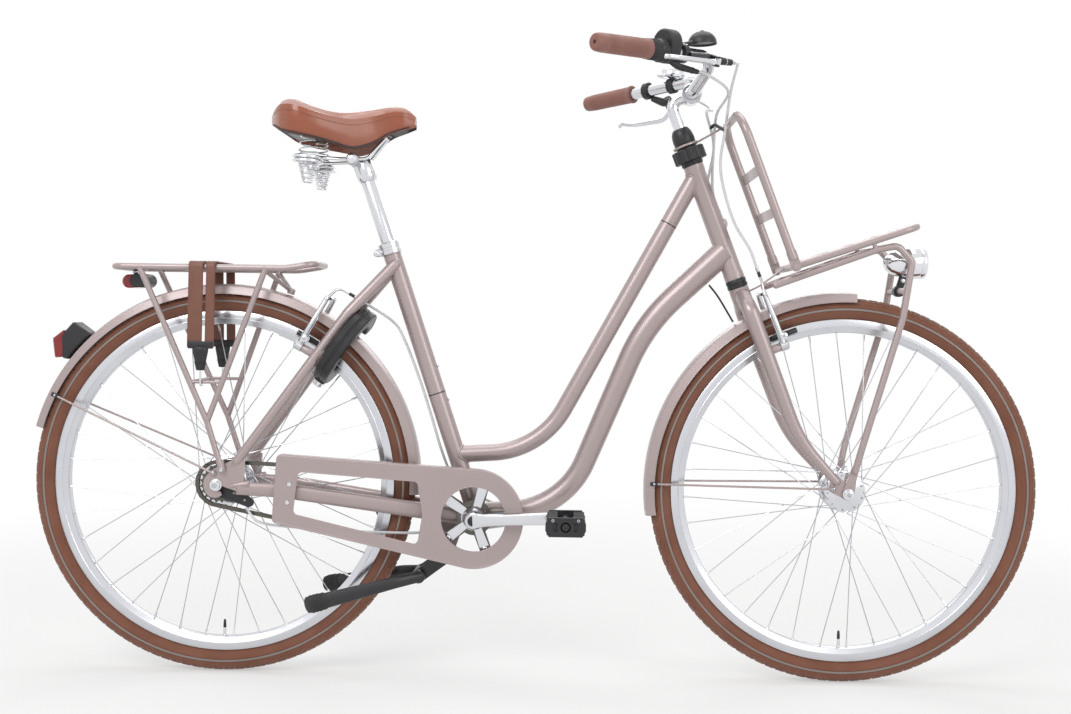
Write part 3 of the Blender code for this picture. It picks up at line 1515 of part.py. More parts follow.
def build_bell():
    place = bar_place("left", BELL_DISTANCE)
    low = BELL_PIVOT_UP
    thickness = BELL_LEVER_THICKNESS
    high = low + SEAT_GAP + thickness
    clamp = pipe_ring(low, BAR_BORE, -0.007, 0.007, place @ ALONG_X)
    post = rod(place @ Vector((0, 0, 0.0125)), place @ Vector((0, 0, high + 0.004)), 0.003, 8)
    cap = dome(place @ shift(z=high + SEAT_GAP))
    piece("bell", join(clamp, post, cap), STEERING, CHROME)
    outline = hull((0, 0, 0.007), (0.004, 0.030, 0.0045))
    middle = place @ shift(z=low + SEAT_GAP + thickness / 2)
    lever = plate(outline, thickness, middle, [circle(0, 0, 0.0033, 10)])
    knob = ball(0.0055, middle @ shift(0.004, 0.034, 0.001), 3)
    carrier = joint_empty("bell_lever_axis", STEERING, middle)
    piece("bell_lever", join(lever, knob), carrier, CHROME, STEERING)


# Rim brakes


def build_brakes():
    for end, built_in in (("front", STEERING), ("rear", BIKE)):
        for side, sign in SIDES.items():
            build_brake_arm(end, side, sign if end == "front" else -sign, built_in)


def build_brake_arm(end, side, lateral, built_in):
    """An arm on its boss, with its pad beside the rim, in the place of the brake's bosses."""
    place = boss_place(end)

    def spot(x, y, z):
        return place @ Vector((x, lateral * y, z))

    def side_rod(x, low, high, z, radius, sides=6):
        return rod(spot(x, low, z), spot(x, high, z), radius, sides)

    half = BRAKE_HUB_LENGTH / 2
    hub = rod(spot(-half, BOSS_SPREAD, 0), spot(half, BOSS_SPREAD, 0), 0.0085, 8)
    path = [(0, BOSS_SPREAD, 0.003), (0, BOSS_SPREAD + 0.001, 0.045), (0, 0.038, BRAKE_ARM_LENGTH)]
    arm = tube([spot(*point) for point in path], [(0, 0.0065), (0.5, 0.0060), (1, 0.0045)])
    level = RIM_RADIUS - BRAKE_TRACK_HEIGHT / 2 - BOSS_RADIUS
    inner = RIM_WIDTH / 2 + PAD_GAP
    outer = inner + PAD_DEPTH
    along = PAD_SHIFT[end]
    pad_place = place @ shift(along, lateral * (inner + outer) / 2, level)
    shapes = [
        hub,
        arm,
        block((PAD_LENGTH, PAD_DEPTH, PAD_HEIGHT), pad_place),
        side_rod(along / 2, outer - 0.002, BOSS_SPREAD + 0.013, level, 0.0035),
        side_rod(along / 2, BOSS_SPREAD - 0.010, BOSS_SPREAD + 0.009, level, 0.0065, 8),
    ]
    if side == "right":
        top = BRAKE_ARM_LENGTH - 0.004
        elbow, tip = NOODLES[end]
        path = bend([spot(0, 0.040, top), (*spot(*elbow), 0.015), spot(*tip)])
        shapes.append(tube(path, NOODLE_RADIUS))
        shapes.append(rod(spot(0, 0.038, top), spot(0, 0.002, top), 0.0038, 6, 0.0026))
    bore = rod(
        spot(-half - 0.01, BOSS_SPREAD, 0),
        spot(half + 0.01, BOSS_SPREAD, 0),
        BOSS_PIN_RADIUS + RUNNING_GAP,
        8,
    )
    name = f"{end}_brake_arm_{side}"
    carrier = joint_empty(f"{name}_axis", built_in, place @ shift(y=lateral * BOSS_SPREAD))
    piece(name, cut(join(*shapes), bore), carrier, ALUMINIUM, built_in)


# Racks


def build_rear_rack():
    z = REAR_RACK_HEIGHT
    y = REAR_RACK_HALF_WIDTH
    low, high = REAR_RACK_START, REAR_RACK_END
    loop = bend(
        [
            (0, y, z),
            (high - 0.052, y, z, 0.10),
            (high, y, z + 0.009, 0.022),
            (high, -y, z + 0.009, 0.022),
            (high - 0.052, -y, z, 0.10),
            (low, -y, z, 0.022),
            (low, y, z, 0.022),
            (-0.02, y, z),
        ],
    )
    shapes = [tube(loop, RACK_TUBE_RADIUS, closed=True)]
    for x in (low + 0.030, -0.085, -0.005, 0.090):
        shapes.append(across((x, 0, z), y, RACK_ROD_RADIUS, 6))
    length = high - low - 0.060
    for side in SIDES.values():
        place = shift(low + 0.005 + length / 2, side * 0.022, z + RACK_ROD_RADIUS + 0.001)
        shapes.append(block((length, 0.018, 0.003), place))
    arch = polar(Matrix.Translation(REAR_AXLE), MUDGUARD_RADIUS + 0.008, RACK_ARCH_ANGLE)
    for sign in SIDES.values():
        shapes.extend(rack_legs(sign))
        shapes.append(rod((0.082, sign * y, z - 0.003), arch, 0.004, 6))
    seat = polar(Matrix.Translation(REAR_AXLE), MUDGUARD_RADIUS + SEAT_GAP, RACK_ARCH_ANGLE)
    shapes.append(rod(seat, seat + (seat - REAR_AXLE).normalized() * 0.012, 0.007))
    piece("rear_rack", join(*shapes), BIKE, SAND_PAINT)


def rack_leg_point(x, sign, z):
    """A point of a rack leg between its rail and the knee, at a height."""
    top = Vector((x, sign * REAR_RACK_HALF_WIDTH, REAR_RACK_HEIGHT))
    knee_x, knee_y, knee_z = RACK_KNEE
    knee = Vector((knee_x, sign * knee_y, knee_z))
    return top.lerp(knee, (top.z - z) / (top.z - knee.z))


def rack_legs(sign):
    """Two legs that meet in a knee, the eye at their foot and the bar for a strap's hooks."""
    eye_x, eye_rise = RACK_EYE
    face = DROPOUT_FACE + SEAT_GAP
    foot = Vector((eye_x, sign * (face + RACK_LEG_RADIUS), REAR_AXLE.z + eye_rise))
    rear_x, front_x = RACK_LEG_TOPS
    knee_z = RACK_KNEE[2]
    knee = rack_leg_point(rear_x, sign, knee_z)
    rear_leg = bend([rack_leg_point(rear_x, sign, REAR_RACK_HEIGHT), (*knee, 0.05), foot])
    eye_out = Vector((foot.x, sign * (face + 0.009), foot.z))
    bolt_out = Vector((foot.x, sign * (face + 0.0125), foot.z))
    return [
        tube(rear_leg, RACK_LEG_RADIUS),
        rod(rack_leg_point(front_x, sign, REAR_RACK_HEIGHT), knee, RACK_LEG_RADIUS, 6),
        rod((foot.x, sign * face, foot.z), eye_out, 0.0065),
        rod(eye_out * 0.9 + foot * 0.1, bolt_out, 0.004, 6),
        rod(
            rack_leg_point(rear_x, sign, HOOK_BAR_HEIGHT),
            rack_leg_point(front_x, sign, HOOK_BAR_HEIGHT),
            0.003,
            6,
        ),
    ]


def lying(x=0.0):
    """A place whose XY plane is the bike's YZ plane, for plates that face forwards."""
    return Matrix(((0, 0, 1, x), (1, 0, 0, 0), (0, 1, 0, 0), (0, 0, 0, 1)))


def build_strap():
    """Two bands over the rack, held on each side by a clip with a hook on the rack's bar."""
    top = REAR_RACK_HEIGHT + STRAP_LIFT
    wide = REAR_RACK_HALF_WIDTH + RACK_TUBE_RADIUS + 0.004
    low = REAR_RACK_HEIGHT - 0.145
    outline = [
        (0.078, low),
        (wide, REAR_RACK_HEIGHT),
        (wide - 0.003, top),
        (0.003 - wide, top),
        (-wide, REAR_RACK_HEIGHT),
        (-0.078, low),
    ]
    band = ribbon(outline, 0.0025)
    shapes = [plate(band, width, lying(x)) for x, width in STRAP_BANDS]
    middle = -0.028
    for sign in SIDES.values():
        side = sign * 0.0775
        shapes.append(block((0.050, 0.008, 0.014), shift(middle, side, low + 0.004)))
        shapes.append(
            rod((middle, side, low), (middle, side, low - 0.042), 0.0115, 8, end_radius=0.006)
        )
        bar_y = sign * 0.070
        hook = bend(
            [
                (middle, side, low - 0.040),
                (middle, sign * 0.0768, HOOK_BAR_HEIGHT - 0.0058, 0.004),
                (middle, sign * 0.0634, HOOK_BAR_HEIGHT - 0.0058, 0.004),
                (middle, bar_y - sign * 0.0066, HOOK_BAR_HEIGHT + 0.002),
            ]
        )
        shapes.append(tube(hook, 0.0018, 0))
    piece("luggage_strap", join(*shapes), BIKE, BROWN_RUBBER)


def build_lamps():
    """The tail lamp under the rack and the reflector on the mudguard."""
    z = REAR_RACK_HEIGHT - 0.0265
    x = REAR_RACK_START + 0.030
    body = side_plate(hull((x - 0.010, z, 0.0125), (x + 0.012, z + 0.0015, 0.0125)), 0.060, 0)
    high = REAR_RACK_HEIGHT - RACK_ROD_RADIUS - SEAT_GAP
    posts = [rod((x, y, z), (x, y, high), 0.004, 8) for y in (-0.018, 0.018)]
    piece("tail_lamp", join(body, *posts), BIKE, RED_LENS)
    seat = MUDGUARD_RADIUS + SEAT_GAP + 0.0002
    arc = [polar(Matrix.Translation(REAR_AXLE), seat, 132.6 + 2.5 * i) for i in range(5)]
    outline = [(point.x, point.z) for point in arc]
    outline += [(-0.3115, 0.5785), (-0.3180, 0.5800), (-0.3215, 0.6180), (-0.2800, 0.6500)]
    piece("rear_reflector", side_plate(outline, 0.042, 0), BIKE, RED_LENS)


# Ring lock


def lock_place():
    """The middle of the lock's ring: X points away from the seat stays, Z along them."""
    up = Vector((LOCK_STAY_X, 0, math.sqrt(1 - LOCK_STAY_X**2)))
    forward = Vector((up.z, 0, -up.x))
    middle = REAR_AXLE + up * LOCK_HEIGHT + forward * LOCK_FORWARD
    return axes(middle, forward, up)


def sector(inner, outer, start, end):
    """The outline of a part of a flat ring, between two angles in degrees."""
    steps = max(2, round((end - start) / 16))
    turns = [math.radians(start + (end - start) * i / steps) for i in range(steps + 1)]
    far = [(outer * math.cos(t), outer * math.sin(t)) for t in turns]
    near = [(inner * math.cos(t), inner * math.sin(t)) for t in turns[::-1]]
    return far + near


def arc_path(radius, start, end, step=10):
    steps = max(1, round((end - start) / step))
    turns = [math.radians(start + (end - start) * i / steps) for i in range(steps + 1)]
    return [(0, radius * math.cos(t), radius * math.sin(t)) for t in turns]


def build_ring_lock():
    """A housing round the rear tyre, and the bolt that turns in it to close the ring."""
    place = lock_place()
    body = plate(
        sector(LOCK_INNER, LOCK_OUTER, LOCK_OPEN - 90, 270 - LOCK_OPEN),
        LOCK_DEPTH,
        place @ lying(),
    )
    key_start = place @ Vector((0, 0.003 - LOCK_OUTER, 0))
    key = rod(key_start, place @ Vector((0, -0.093, 0)), 0.0095, 10)
    bolt_start = LOCK_OPEN - 90 + 2
    bolt_end = bolt_start + BOLT_SPAN
    run = BOLT_RADIUS + SEAT_GAP + 0.0001
    bolt_run = arc_path(LOCK_RING_MIDDLE, bolt_start - 6, bolt_end + 3)
    catch_run = arc_path(LOCK_RING_MIDDLE, 270 - LOCK_OPEN - 12, 274 - LOCK_OPEN)
    channel = tube(bolt_run, run, place=place)
    catch = tube(catch_run, run, place=place)
    slot = plate(
        sector(LOCK_RING_MIDDLE, LOCK_OUTER + 0.01, bolt_start - 6, bolt_end + 1),
        KNOB_SLOT,
        place @ lying(),
    )
    shape = cut(join(body, key), channel, catch, slot)
    piece("ring_lock", shape, BIKE, BLACK_PLASTIC)
    bolt = tube(arc_path(LOCK_RING_MIDDLE, bolt_start, bolt_end), BOLT_RADIUS, place=place)
    turn = math.radians(bolt_end - 4)
    out = Vector((0, math.cos(turn), math.sin(turn)))
    stem = rod(place @ (out * LOCK_RING_MIDDLE), place @ (out * 0.090), 0.0019, 6)
    knob = rod(place @ (out * 0.0835), place @ (out * 0.0935), 0.0062, 8)
    carrier = joint_empty("ring_lock_shackle_axis", BIKE, place)
    piece("ring_lock_shackle", join(bolt, stem, knob), carrier, CHROME, BIKE)


# Stand


def build_stand():
    """Two splayed legs on a pin through the frame's bracket, folded up at rest."""
    pivot = Vector(STAND_PIVOT)
    ear_inner = STAND_LUG_WIDTH / 2 + RUNNING_GAP
    shapes = [
        across(pivot, ear_inner + 0.008, STAND_PIN_RADIUS, 12),
        across((0.366, 0, 0.187), 0.034, 0.0125, 10),
    ]
    ear = hull((pivot.x, pivot.z, 0.0115), (0.368, 0.188, 0.0125))
    for sign in SIDES.values():
        shapes.append(side_plate(ear, 0.006, sign * (ear_inner + 0.003)))
        leg = [
            (0.370, sign * 0.030, 0.1875),
            (0.3268, sign * 0.055, 0.1806, 0.05),
            (0.175, sign * 0.095, 0.145),
        ]
        shapes.append(flattened_tube(bend(leg), [(0, 0.0105), (1, 0.0160)], 0.4))
    carrier = joint_empty("centre_stand_axis", BIKE, Matrix.Translation(pivot))
    piece("centre_stand", join(*shapes), carrier, BLACK_STEEL, BIKE)


# Front rack and lamp


def build_front_rack():
    """A tall back frame and a platform on the steering, stayed to the front axle."""
    back_x, back_y = BACK_FRAME_FORWARD, FRONT_RACK_HALF_WIDTH
    low, high = BACK_FRAME_LOW, BACK_FRAME_HIGH
    arch = bend(
        [
            (back_x, -back_y, low),
            (back_x, -back_y, high, 0.045),
            (back_x, back_y, high, 0.045),
            (back_x, back_y, low),
        ],
    )
    rail_y = PLATFORM_HALF_WIDTH
    platform = bend(
        [
            (back_x, -rail_y, PLATFORM_HEIGHT),
            (PLATFORM_FRONT, -rail_y, PLATFORM_HEIGHT - 0.010, 0.03),
            (PLATFORM_FRONT, rail_y, PLATFORM_HEIGHT - 0.010, 0.03),
            (back_x, rail_y, PLATFORM_HEIGHT),
        ],
    )
    lamp_x, lamp_z = LAMP_PIVOT
    shapes = [
        tube(arch, FRONT_RACK_TUBE_RADIUS),
        tube(platform, FRONT_RAIL_RADIUS),
        across((back_x, 0, PLATFORM_HEIGHT), back_y + 0.004, 0.0062, 6),
        across((lamp_x, 0, lamp_z), STRUT_Y, LAMP_BAR_RADIUS, 8),
    ]
    for height in (0.605, 0.525):
        shapes.append(block((0.004, 2 * back_y, 0.018), shift(back_x, 0, height)))
    for x in (0.140, 0.190, 0.240, 0.290):
        drop_down = (x - back_x) / (PLATFORM_FRONT - back_x) * 0.010
        level = PLATFORM_HEIGHT - drop_down + FRONT_RAIL_RADIUS - 0.002
        shapes.append(block((0.020, 2 * rail_y, 0.003), shift(x, 0, level)))
    for sign in SIDES.values():
        shapes.extend(front_rack_side(sign))
    strap = ribbon(
        [
            (HEAD_TUBE_RADIUS + SEAT_GAP, CROWN_LOW + 0.028),
            (HEAD_TUBE_RADIUS + 0.018, CROWN_LOW + 0.030),
            (back_x, PLATFORM_HEIGHT + 0.003),
        ],
        0.003,
    )
    shapes.append(side_plate(strap, 0.016, 0))
    eye_low = HEAD_TOP + LOCK_COLLAR_HEIGHT + LOCK_RING_HEIGHT + 0.004
    shapes.append(
        pipe_ring(BOOT_RADIUS + 0.004, BOOT_RADIUS + 0.002, eye_low, eye_low + 0.004, shift(), 8)
    )
    shapes.append(
        rod((BOOT_RADIUS + 0.003, 0, eye_low + 0.002), (back_x, 0, high - 0.004), 0.002, 6)
    )
    piece("front_rack", join(*shapes), STEERING, SAND_PAINT)


def front_rack_side(sign):
    """A lug and a foot of the back frame, and the tube from the crown round to the axle."""
    back_x, back_y = BACK_FRAME_FORWARD, FRONT_RACK_HALF_WIDTH
    lug_high = BACK_FRAME_LOW + 0.012
    lug = hull((back_x, PLATFORM_HEIGHT, 0.009), (back_x, lug_high, 0.009), sides=8)
    strut = bend(
        [
            (0.056, sign * STRUT_Y, 0.4015),
            (0.250, sign * STRUT_Y, 0.398),
            (0.2840, sign * STRUT_Y, 0.3915, 0.016),
            (0.2985, sign * STRUT_Y, 0.356, 0.016),
            (0.2474, sign * STRUT_Y, 0.2654, 0.10),
            (0.100, sign * STRUT_Y, 0.072, 0.08),
            (0.076, sign * (FRONT_STACK_FACE + 0.0035), 0.0365),
        ],
    )
    tongue_middle = sign * (TONGUE_FACE + TONGUE_THICKNESS / 2)
    hole = circle(FORK_RAKE, 0, FRONT_AXLE_RADIUS + RUNNING_GAP, 8)
    tongue = hull((FORK_RAKE, 0, 0.0105), (0.0775, 0.0385, 0.0065), sides=8)
    return [
        side_plate(lug, 0.004, sign * back_y),
        tube(strut, FRONT_RAIL_RADIUS),
        side_plate(tongue, TONGUE_THICKNESS, tongue_middle, [hole]),
        rod((0.245, sign * 0.070, 0.398), (0.245, sign * 0.072, 0.414), 0.004, 6),
    ]


def build_headlamp():
    """A round lamp whose foot clasps the rack's lamp bar, and tilts on it."""
    pivot_x, pivot_z = LAMP_PIVOT
    middle = Vector((LAMP_MIDDLE[0], 0, LAMP_MIDDLE[1]))
    place = Matrix.Translation(middle) @ Matrix.Rotation(HEAD_LEAN, 4, "Y")
    half = LAMP_LENGTH / 2
    body = turned(
        [
            (0, half),
            (LAMP_RADIUS * 0.84, half),
            (LAMP_RADIUS, half - 0.005),
            (LAMP_RADIUS, half - 0.028),
            (LAMP_RADIUS * 0.84, half - 0.052),
            (LAMP_RADIUS * 0.46, 0.005 - half),
            (0, -half),
        ],
        place @ ALONG_X,
    )
    clasp = pipe_ring(
        0.0105,
        LAMP_BAR_RADIUS + SEAT_GAP,
        -0.008,
        0.008,
        shift(pivot_x, 0, pivot_z) @ ACROSS,
    )
    pivot = Vector((pivot_x, 0, pivot_z))
    under = place @ Vector((0, 0, -LAMP_RADIUS * 0.75))
    foot = rod(pivot + (under - pivot).normalized() * 0.0088, under, 0.0072, 12)
    carrier = joint_empty("headlamp_axis", STEERING, Matrix.Translation(pivot))
    piece("headlamp", join(body, clasp, foot), carrier, CHROME, STEERING)


# Seat


def build_seat():
    post = rod(seat_point(POST_LOW), seat_point(POST_HIGH), POST_RADIUS, ROUND_STEPS)
    carrier = joint_empty("seat_post_axis", BIKE, Matrix.Translation(seat_point(POST_HIGH)))
    piece("seat_post", post, carrier, ALUMINIUM, BIKE)
    build_undercarriage(carrier)
    nose = Matrix.Translation((RAIL_FRONT, 0, PAN_LOW - RAIL_RADIUS - SEAT_GAP))
    saddle = joint_empty("saddle_axis", carrier, carrier.matrix_basis.inverted() @ nose)
    build_pan(saddle)
    build_cover(saddle)
    for side, sign in SIDES.items():
        build_spring(side, sign, carrier)


def saddle_rail(sign):
    """A rail from the saddle's nose through the clamp, which ends in two turns round a spring."""
    straight = bend(
        [
            (RAIL_FRONT, sign * 0.012, PAN_LOW - RAIL_RADIUS - SEAT_GAP),
            (0.262, sign * 0.022, 0.955, 0.02),
            (0.215, sign * 0.030, 0.9535, 0.05),
            (0.1835, sign * 0.0447, 0.9535, 0.04),
            (SPRING_X, sign * (SPRING_SPREAD - COLLAR_RADIUS), COLLAR_HIGH, 0.01),
            (SPRING_X - 0.006, sign * (SPRING_SPREAD - COLLAR_RADIUS + 0.0008), COLLAR_HIGH),
        ]
    )[:-1]
    turns = []
    steps = 2 * COLLAR_STEPS
    for i in range(1, steps + 1):
        angle = math.tau * i / COLLAR_STEPS
        x = SPRING_X - COLLAR_RADIUS * math.sin(angle)
        y = sign * (SPRING_SPREAD - COLLAR_RADIUS * math.cos(angle))
        turns.append(Vector((x, y, COLLAR_HIGH - COLLAR_PITCH * i / COLLAR_STEPS)))
    return tube(straight + turns, COLLAR_WIRE_RADIUS)


def build_undercarriage(carrier):
    cap = rod(seat_point(POST_HIGH - 0.022), seat_point(POST_HIGH + 0.018), 0.0185, ROUND_STEPS)
    saddle_clamp = across((0.2365, 0, 0.9535), 0.038, 0.0115, 12)
    shape = join(saddle_clamp, cap, *[saddle_rail(sign) for sign in SIDES.values()])
    low, high = seat_point(POST_HIGH - 0.030), seat_point(POST_HIGH + SEAT_GAP)
    hole = rod(low, high, POST_RADIUS + SEAT_GAP, ROUND_STEPS)
    piece("saddle_undercarriage", cut(shape, hole), carrier, SPRING_STEEL, BIKE)


def build_pan(saddle):
    edge = [(x, PAN_SHARE * half - PAN_INSET) for x, half, _, _ in SADDLE_SECTIONS[2:9]]
    outline = edge + [(x, -y) for x, y in edge[::-1]]
    thickness = PAN_HIGH - PAN_LOW
    pan = plate(outline, thickness, shift(z=PAN_LOW + thickness / 2))
    piece("saddle_pan", pan, saddle, BLACK_STEEL, BIKE)


def build_cover(saddle):
    """The crown and drawn-in skirt of the saddle, hollow underneath round its pan."""
    rings = []
    last = len(SADDLE_SECTIONS) - 1
    for i, (x, half, top, skirt) in enumerate(SADDLE_SECTIONS):
        ceiling = skirt if i in (0, 1, last - 1, last) else max(PAN_HIGH + COVER_GAP, skirt)
        edge = PAN_SHARE * half
        right = [
            (half * 0.55, top - 0.004),
            (half * 0.86, top - 0.013),
            (half, top - 0.45 * (top - skirt)),
            (edge, skirt),
            (edge - 0.004, skirt),
            (edge - 0.004, ceiling),
            (edge - 0.010, ceiling),
        ]
        ring = [(0, top), *right, (0, ceiling), *[(-y, z) for y, z in right[::-1]]]
        rings.append([(x, y, z) for y, z in ring])
    cover = loft(rings)
    smooth = cover.modifiers.new("smooth", "SUBSURF")
    smooth.levels = 1
    smooth.render_levels = 1
    piece("saddle_cover", cover, saddle, BROWN_LEATHER, BIKE)


def spring_path(sign):
    """One wire: open turns from the pan, a wide part in the collar and a cone below it."""
    top = PAN_LOW - SEAT_GAP - SPRING_WIRE_RADIUS
    stops = [
        (0.0, 0.0115, top),
        (2.0, 0.0115, 0.9660),
        (3.0, SPRING_WIDE, 0.9560),
        (4.5, SPRING_WIDE, 0.9430),
        (8.0, 0.0085, 0.9055),
    ]
    points = []
    count = round(stops[-1][0] * 8)
    for i in range(count + 1):
        turns = stops[-1][0] * i / count
        for (start, low, z_low), (end, high, z_high) in zip(stops, stops[1:]):
            if turns <= end:
                share = (turns - start) / (end - start)
                break
        radius = low + (high - low) * share
        angle = sign * math.tau * turns
        x = SPRING_X + radius * math.cos(angle)
        y = sign * SPRING_SPREAD + radius * math.sin(angle)
        points.append(Vector((x, y, z_low + (z_high - z_low) * share)))
    return points


def closest_turns(points, apart):
    """The least distance between points of a wire that lie some steps apart along it."""
    return min(
        (points[i] - points[j]).length
        for i in range(len(points))
        for j in range(i + apart, min(i + 3 * apart, len(points)))
    )


def build_spring(side, sign, carrier):
    path = spring_path(sign)
    gap = closest_turns(path, 5) - 2 * SPRING_WIRE_RADIUS
    print(f"saddle_spring_{side}: {gap * 1000:.2f} mm between turns")
    wire = solid(tube(path, SPRING_WIRE_RADIUS))
    piece(f"saddle_spring_{side}", wire, carrier, SPRING_STEEL, BIKE)


# Cables


def beside_down_tube(low, high, count, lower, radius):
    """Points on the left of the down tube, from one share of its length to another."""
    path = down_tube_path()
    sizes = radii_along(path, DOWN_TUBE_STOPS)
    runs = [0.0]
    for a, b in zip(path, path[1:]):
        runs.append(runs[-1] + (b - a).length)
    points = []
    for i in range(count):
        run = runs[-1] * (low + (high - low) * i / (count - 1))
        k = max(j for j in range(len(path) - 1) if runs[j] <= run)
        share = (run - runs[k]) / (runs[k + 1] - runs[k])
        along = (path[k + 1] - path[k]).normalized()
        away = sizes[k] + (sizes[k + 1] - sizes[k]) * share + radius + CABLE_GAP
        down = Vector((along.z, 0, -along.x))
        angle = math.radians(lower)
        side = Vector((0, math.cos(angle), 0)) + down * math.sin(angle)
        points.append(path[k].lerp(path[k + 1], share) + side * away)
    return points


def steering_point(forward, side, up):
    return STEERING.matrix_basis @ Vector((forward, side, up))


def swept_end(turn, height):
    """A point beside the head tube where a cable of the bar meets one of the frame."""
    angle = math.radians(turn)
    return Vector((CABLE_SWEEP * math.cos(angle), CABLE_SWEEP * math.sin(angle), height))


def rounded(points):
    """Cuts the sharp corners of a path, and keeps its two ends and its gentle corners."""
    made = [points[0]]
    for before, here, after in zip(points, points[1:], points[2:]):
        if (here - before).angle(after - here) < GENTLE_TURN:
            made.append(here)
        else:
            made += [before.lerp(here, 0.75), here.lerp(after, 0.25)]
    return made + [points[-1]]


def build_frame_cables():
    radius = CABLE_RADIUS
    elbow, noodle = [boss_place("rear") @ Vector(point) for point in NOODLES["rear"]]
    onward = (noodle - elbow).normalized()
    rear = [
        noodle + onward * SEAT_GAP,
        noodle + onward * 0.018,
        Vector((0.3090, 0.020, 0.6560)),
        Vector((0.3330, 0.008, 0.6194)),
        Vector((0.3617, 0.000, 0.5490)),
        Vector((0.3830, 0.000, 0.4850)),
        Vector((0.4024, 0.004, 0.4209)),
        Vector((0.4200, 0.0215, 0.3740)),
        Vector((0.4500, 0.0250, 0.3420)),
        Vector((0.4760, 0.0262, 0.3290)),
        Vector((0.5020, 0.0252, 0.3180)),
    ]
    gear = [
        Vector((0.052, -0.0562, REAR_AXLE.z - 0.0423)),
        Vector((0.068, -0.0562, 0.2920)),
        Vector((0.084, -0.0500, 0.2840)),
        Vector((0.110, -0.0380, 0.2780)),
        Vector((0.220, -0.0315, 0.2700)),
        Vector((0.345, -0.0310, 0.2680)),
        Vector((0.385, -0.0190, 0.2690)),
        Vector((0.430, -0.0180, 0.2680)),
        Vector((0.470, -0.0170, 0.2745)),
        Vector((0.500, 0.0040, 0.2755)),
        Vector((0.535, 0.0170, 0.2810)),
    ]
    for name, head, low, lower, turn in (
        ("rear_brake_cable", rear, 0.10, 0, CABLE_TURNS[1]),
        ("shift_cable", gear, 0.16, 24, CABLE_TURNS[0]),
    ):
        end = swept_end(turn, CABLE_MEET)
        entry = [
            steering_point(end.x, end.y, end.z - 0.030),
            steering_point(*(end - Vector((0, 0, 0.008)))),
            steering_point(*end),
        ]
        body = beside_down_tube(low, 0.90, 7, lower, radius)
        path = rounded(head + body + entry)
        piece(name, solid(tube(path, radius)), BIKE, WHITE_SLEEVE)


def build_bar_cables():
    """The front brake's cable, and the two that meet the frame's cables, joined by a clip."""
    radius = CABLE_RADIUS
    right = bar_place("right", BRACKET_DISTANCE["right"], BRACKET_TILT["right"])
    left = bar_place("left", BRACKET_DISTANCE["left"], BRACKET_TILT["left"])
    housing_middle = GRIP_LENGTH + 2 * SEAT_GAP + SLEEVE_LENGTH + HOUSING_LENGTH / 2
    outlet = bar_place("right", housing_middle)
    elbow, noodle = [boss_place("front") @ Vector((x, -y, z)) for x, y, z in NOODLES["front"]]
    onward = (noodle - elbow).normalized()
    front = [
        right @ ahead("right", -0.0885, 0.0380, 0),
        right @ ahead("right", -0.1050, 0.0395, 0),
        Vector((0.1230, -0.0900, 0.7920)),
        Vector((0.1020, -0.0540, 0.7560)),
        Vector((0.0700, -0.0440, 0.6950)),
        Vector((0.0380, -0.0390, 0.6300)),
        Vector((0.0300, -0.0300, 0.5400)),
        noodle + onward * 0.045,
        noodle + onward * 0.012,
        noodle + onward * SEAT_GAP,
    ]
    routes = [rounded(front)]
    ties = [
        (
            [
                left @ ahead("left", -0.0885, 0.0380, 0),
                left @ ahead("left", -0.1050, 0.0395, 0),
                Vector((0.0750, 0.0450, 0.7480)),
                Vector((0.0560, -0.0020, 0.7400)),
            ],
            CABLE_TURNS[1],
        ),
        (
            [
                outlet @ ahead("right", -0.0625, 0.012, -0.031),
                outlet @ ahead("right", -0.0800, 0.015, -0.033),
                Vector((0.0950, -0.0700, 0.7560)),
                Vector((0.0700, -0.0150, 0.7300)),
            ],
            CABLE_TURNS[0],
        ),
    ]
    for start, turn in ties:
        end = swept_end(turn, CABLE_MEET + SEAT_GAP)
        path = start + [
            Vector((0.052, 0.030, 0.6800)),
            end + Vector((0.004, 0.002, 0.050)),
            end + Vector((0, 0, 0.012)),
            end,
        ]
        routes.append(rounded(path))
    middle = Vector((0.070, -0.010, 0.700))
    front_cable, left_cable, right_cable = routes
    held = [
        min(route, key=lambda point: (point - middle).length)
        for route in (front_cable, right_cable, left_cable)
    ]
    clip = tube(held, radius + 0.0008)
    shapes = [tube(route, radius) for route in routes]
    piece("bar_cables", join(clip, *shapes), STEERING, WHITE_SLEEVE)


def build_lamp_wire():
    path = [
        Vector((-0.0485, 0.000, HEAD_TUBE_HEIGHT + 0.0072)),
        Vector((-0.0400, 0.000, HEAD_TUBE_HEIGHT - 0.0203)),
        Vector((-0.0304, 0.000, HEAD_TUBE_HEIGHT - 0.0725)),
    ]
    piece("lamp_wire", solid(tube(rounded(path), 0.0018)), STEERING, BLACK_PLASTIC)


build_wheels()
build_frame()
build_frame_fittings()
build_mudguards()
build_drive()
build_fork()
build_headset_top()
build_bar()
build_grips()
build_shifter()
build_levers()
build_bell()
build_brakes()
build_rear_rack()
build_strap()
build_lamps()
build_ring_lock()
build_stand()
build_front_rack()
build_headlamp()
build_seat()
build_frame_cables()
build_bar_cables()
build_lamp_wire()
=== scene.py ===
"""The looks of a city bike with a low curved frame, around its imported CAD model.

Sizes are in metres, with X forward, Y to the rider's left and Z up. Most pieces are drawn from
the rear wheel's contact point, as the CAD source draws them, and the steering's pieces along
the head tube. Both are then set into the world's frame by a matrix.
"""

import logging
import math
from collections.abc import Iterable, Sequence
from dataclasses import dataclass
from enum import Enum

import bmesh
import bpy
from mathutils import Matrix, Vector
from mathutils.bvhtree import BVHTree


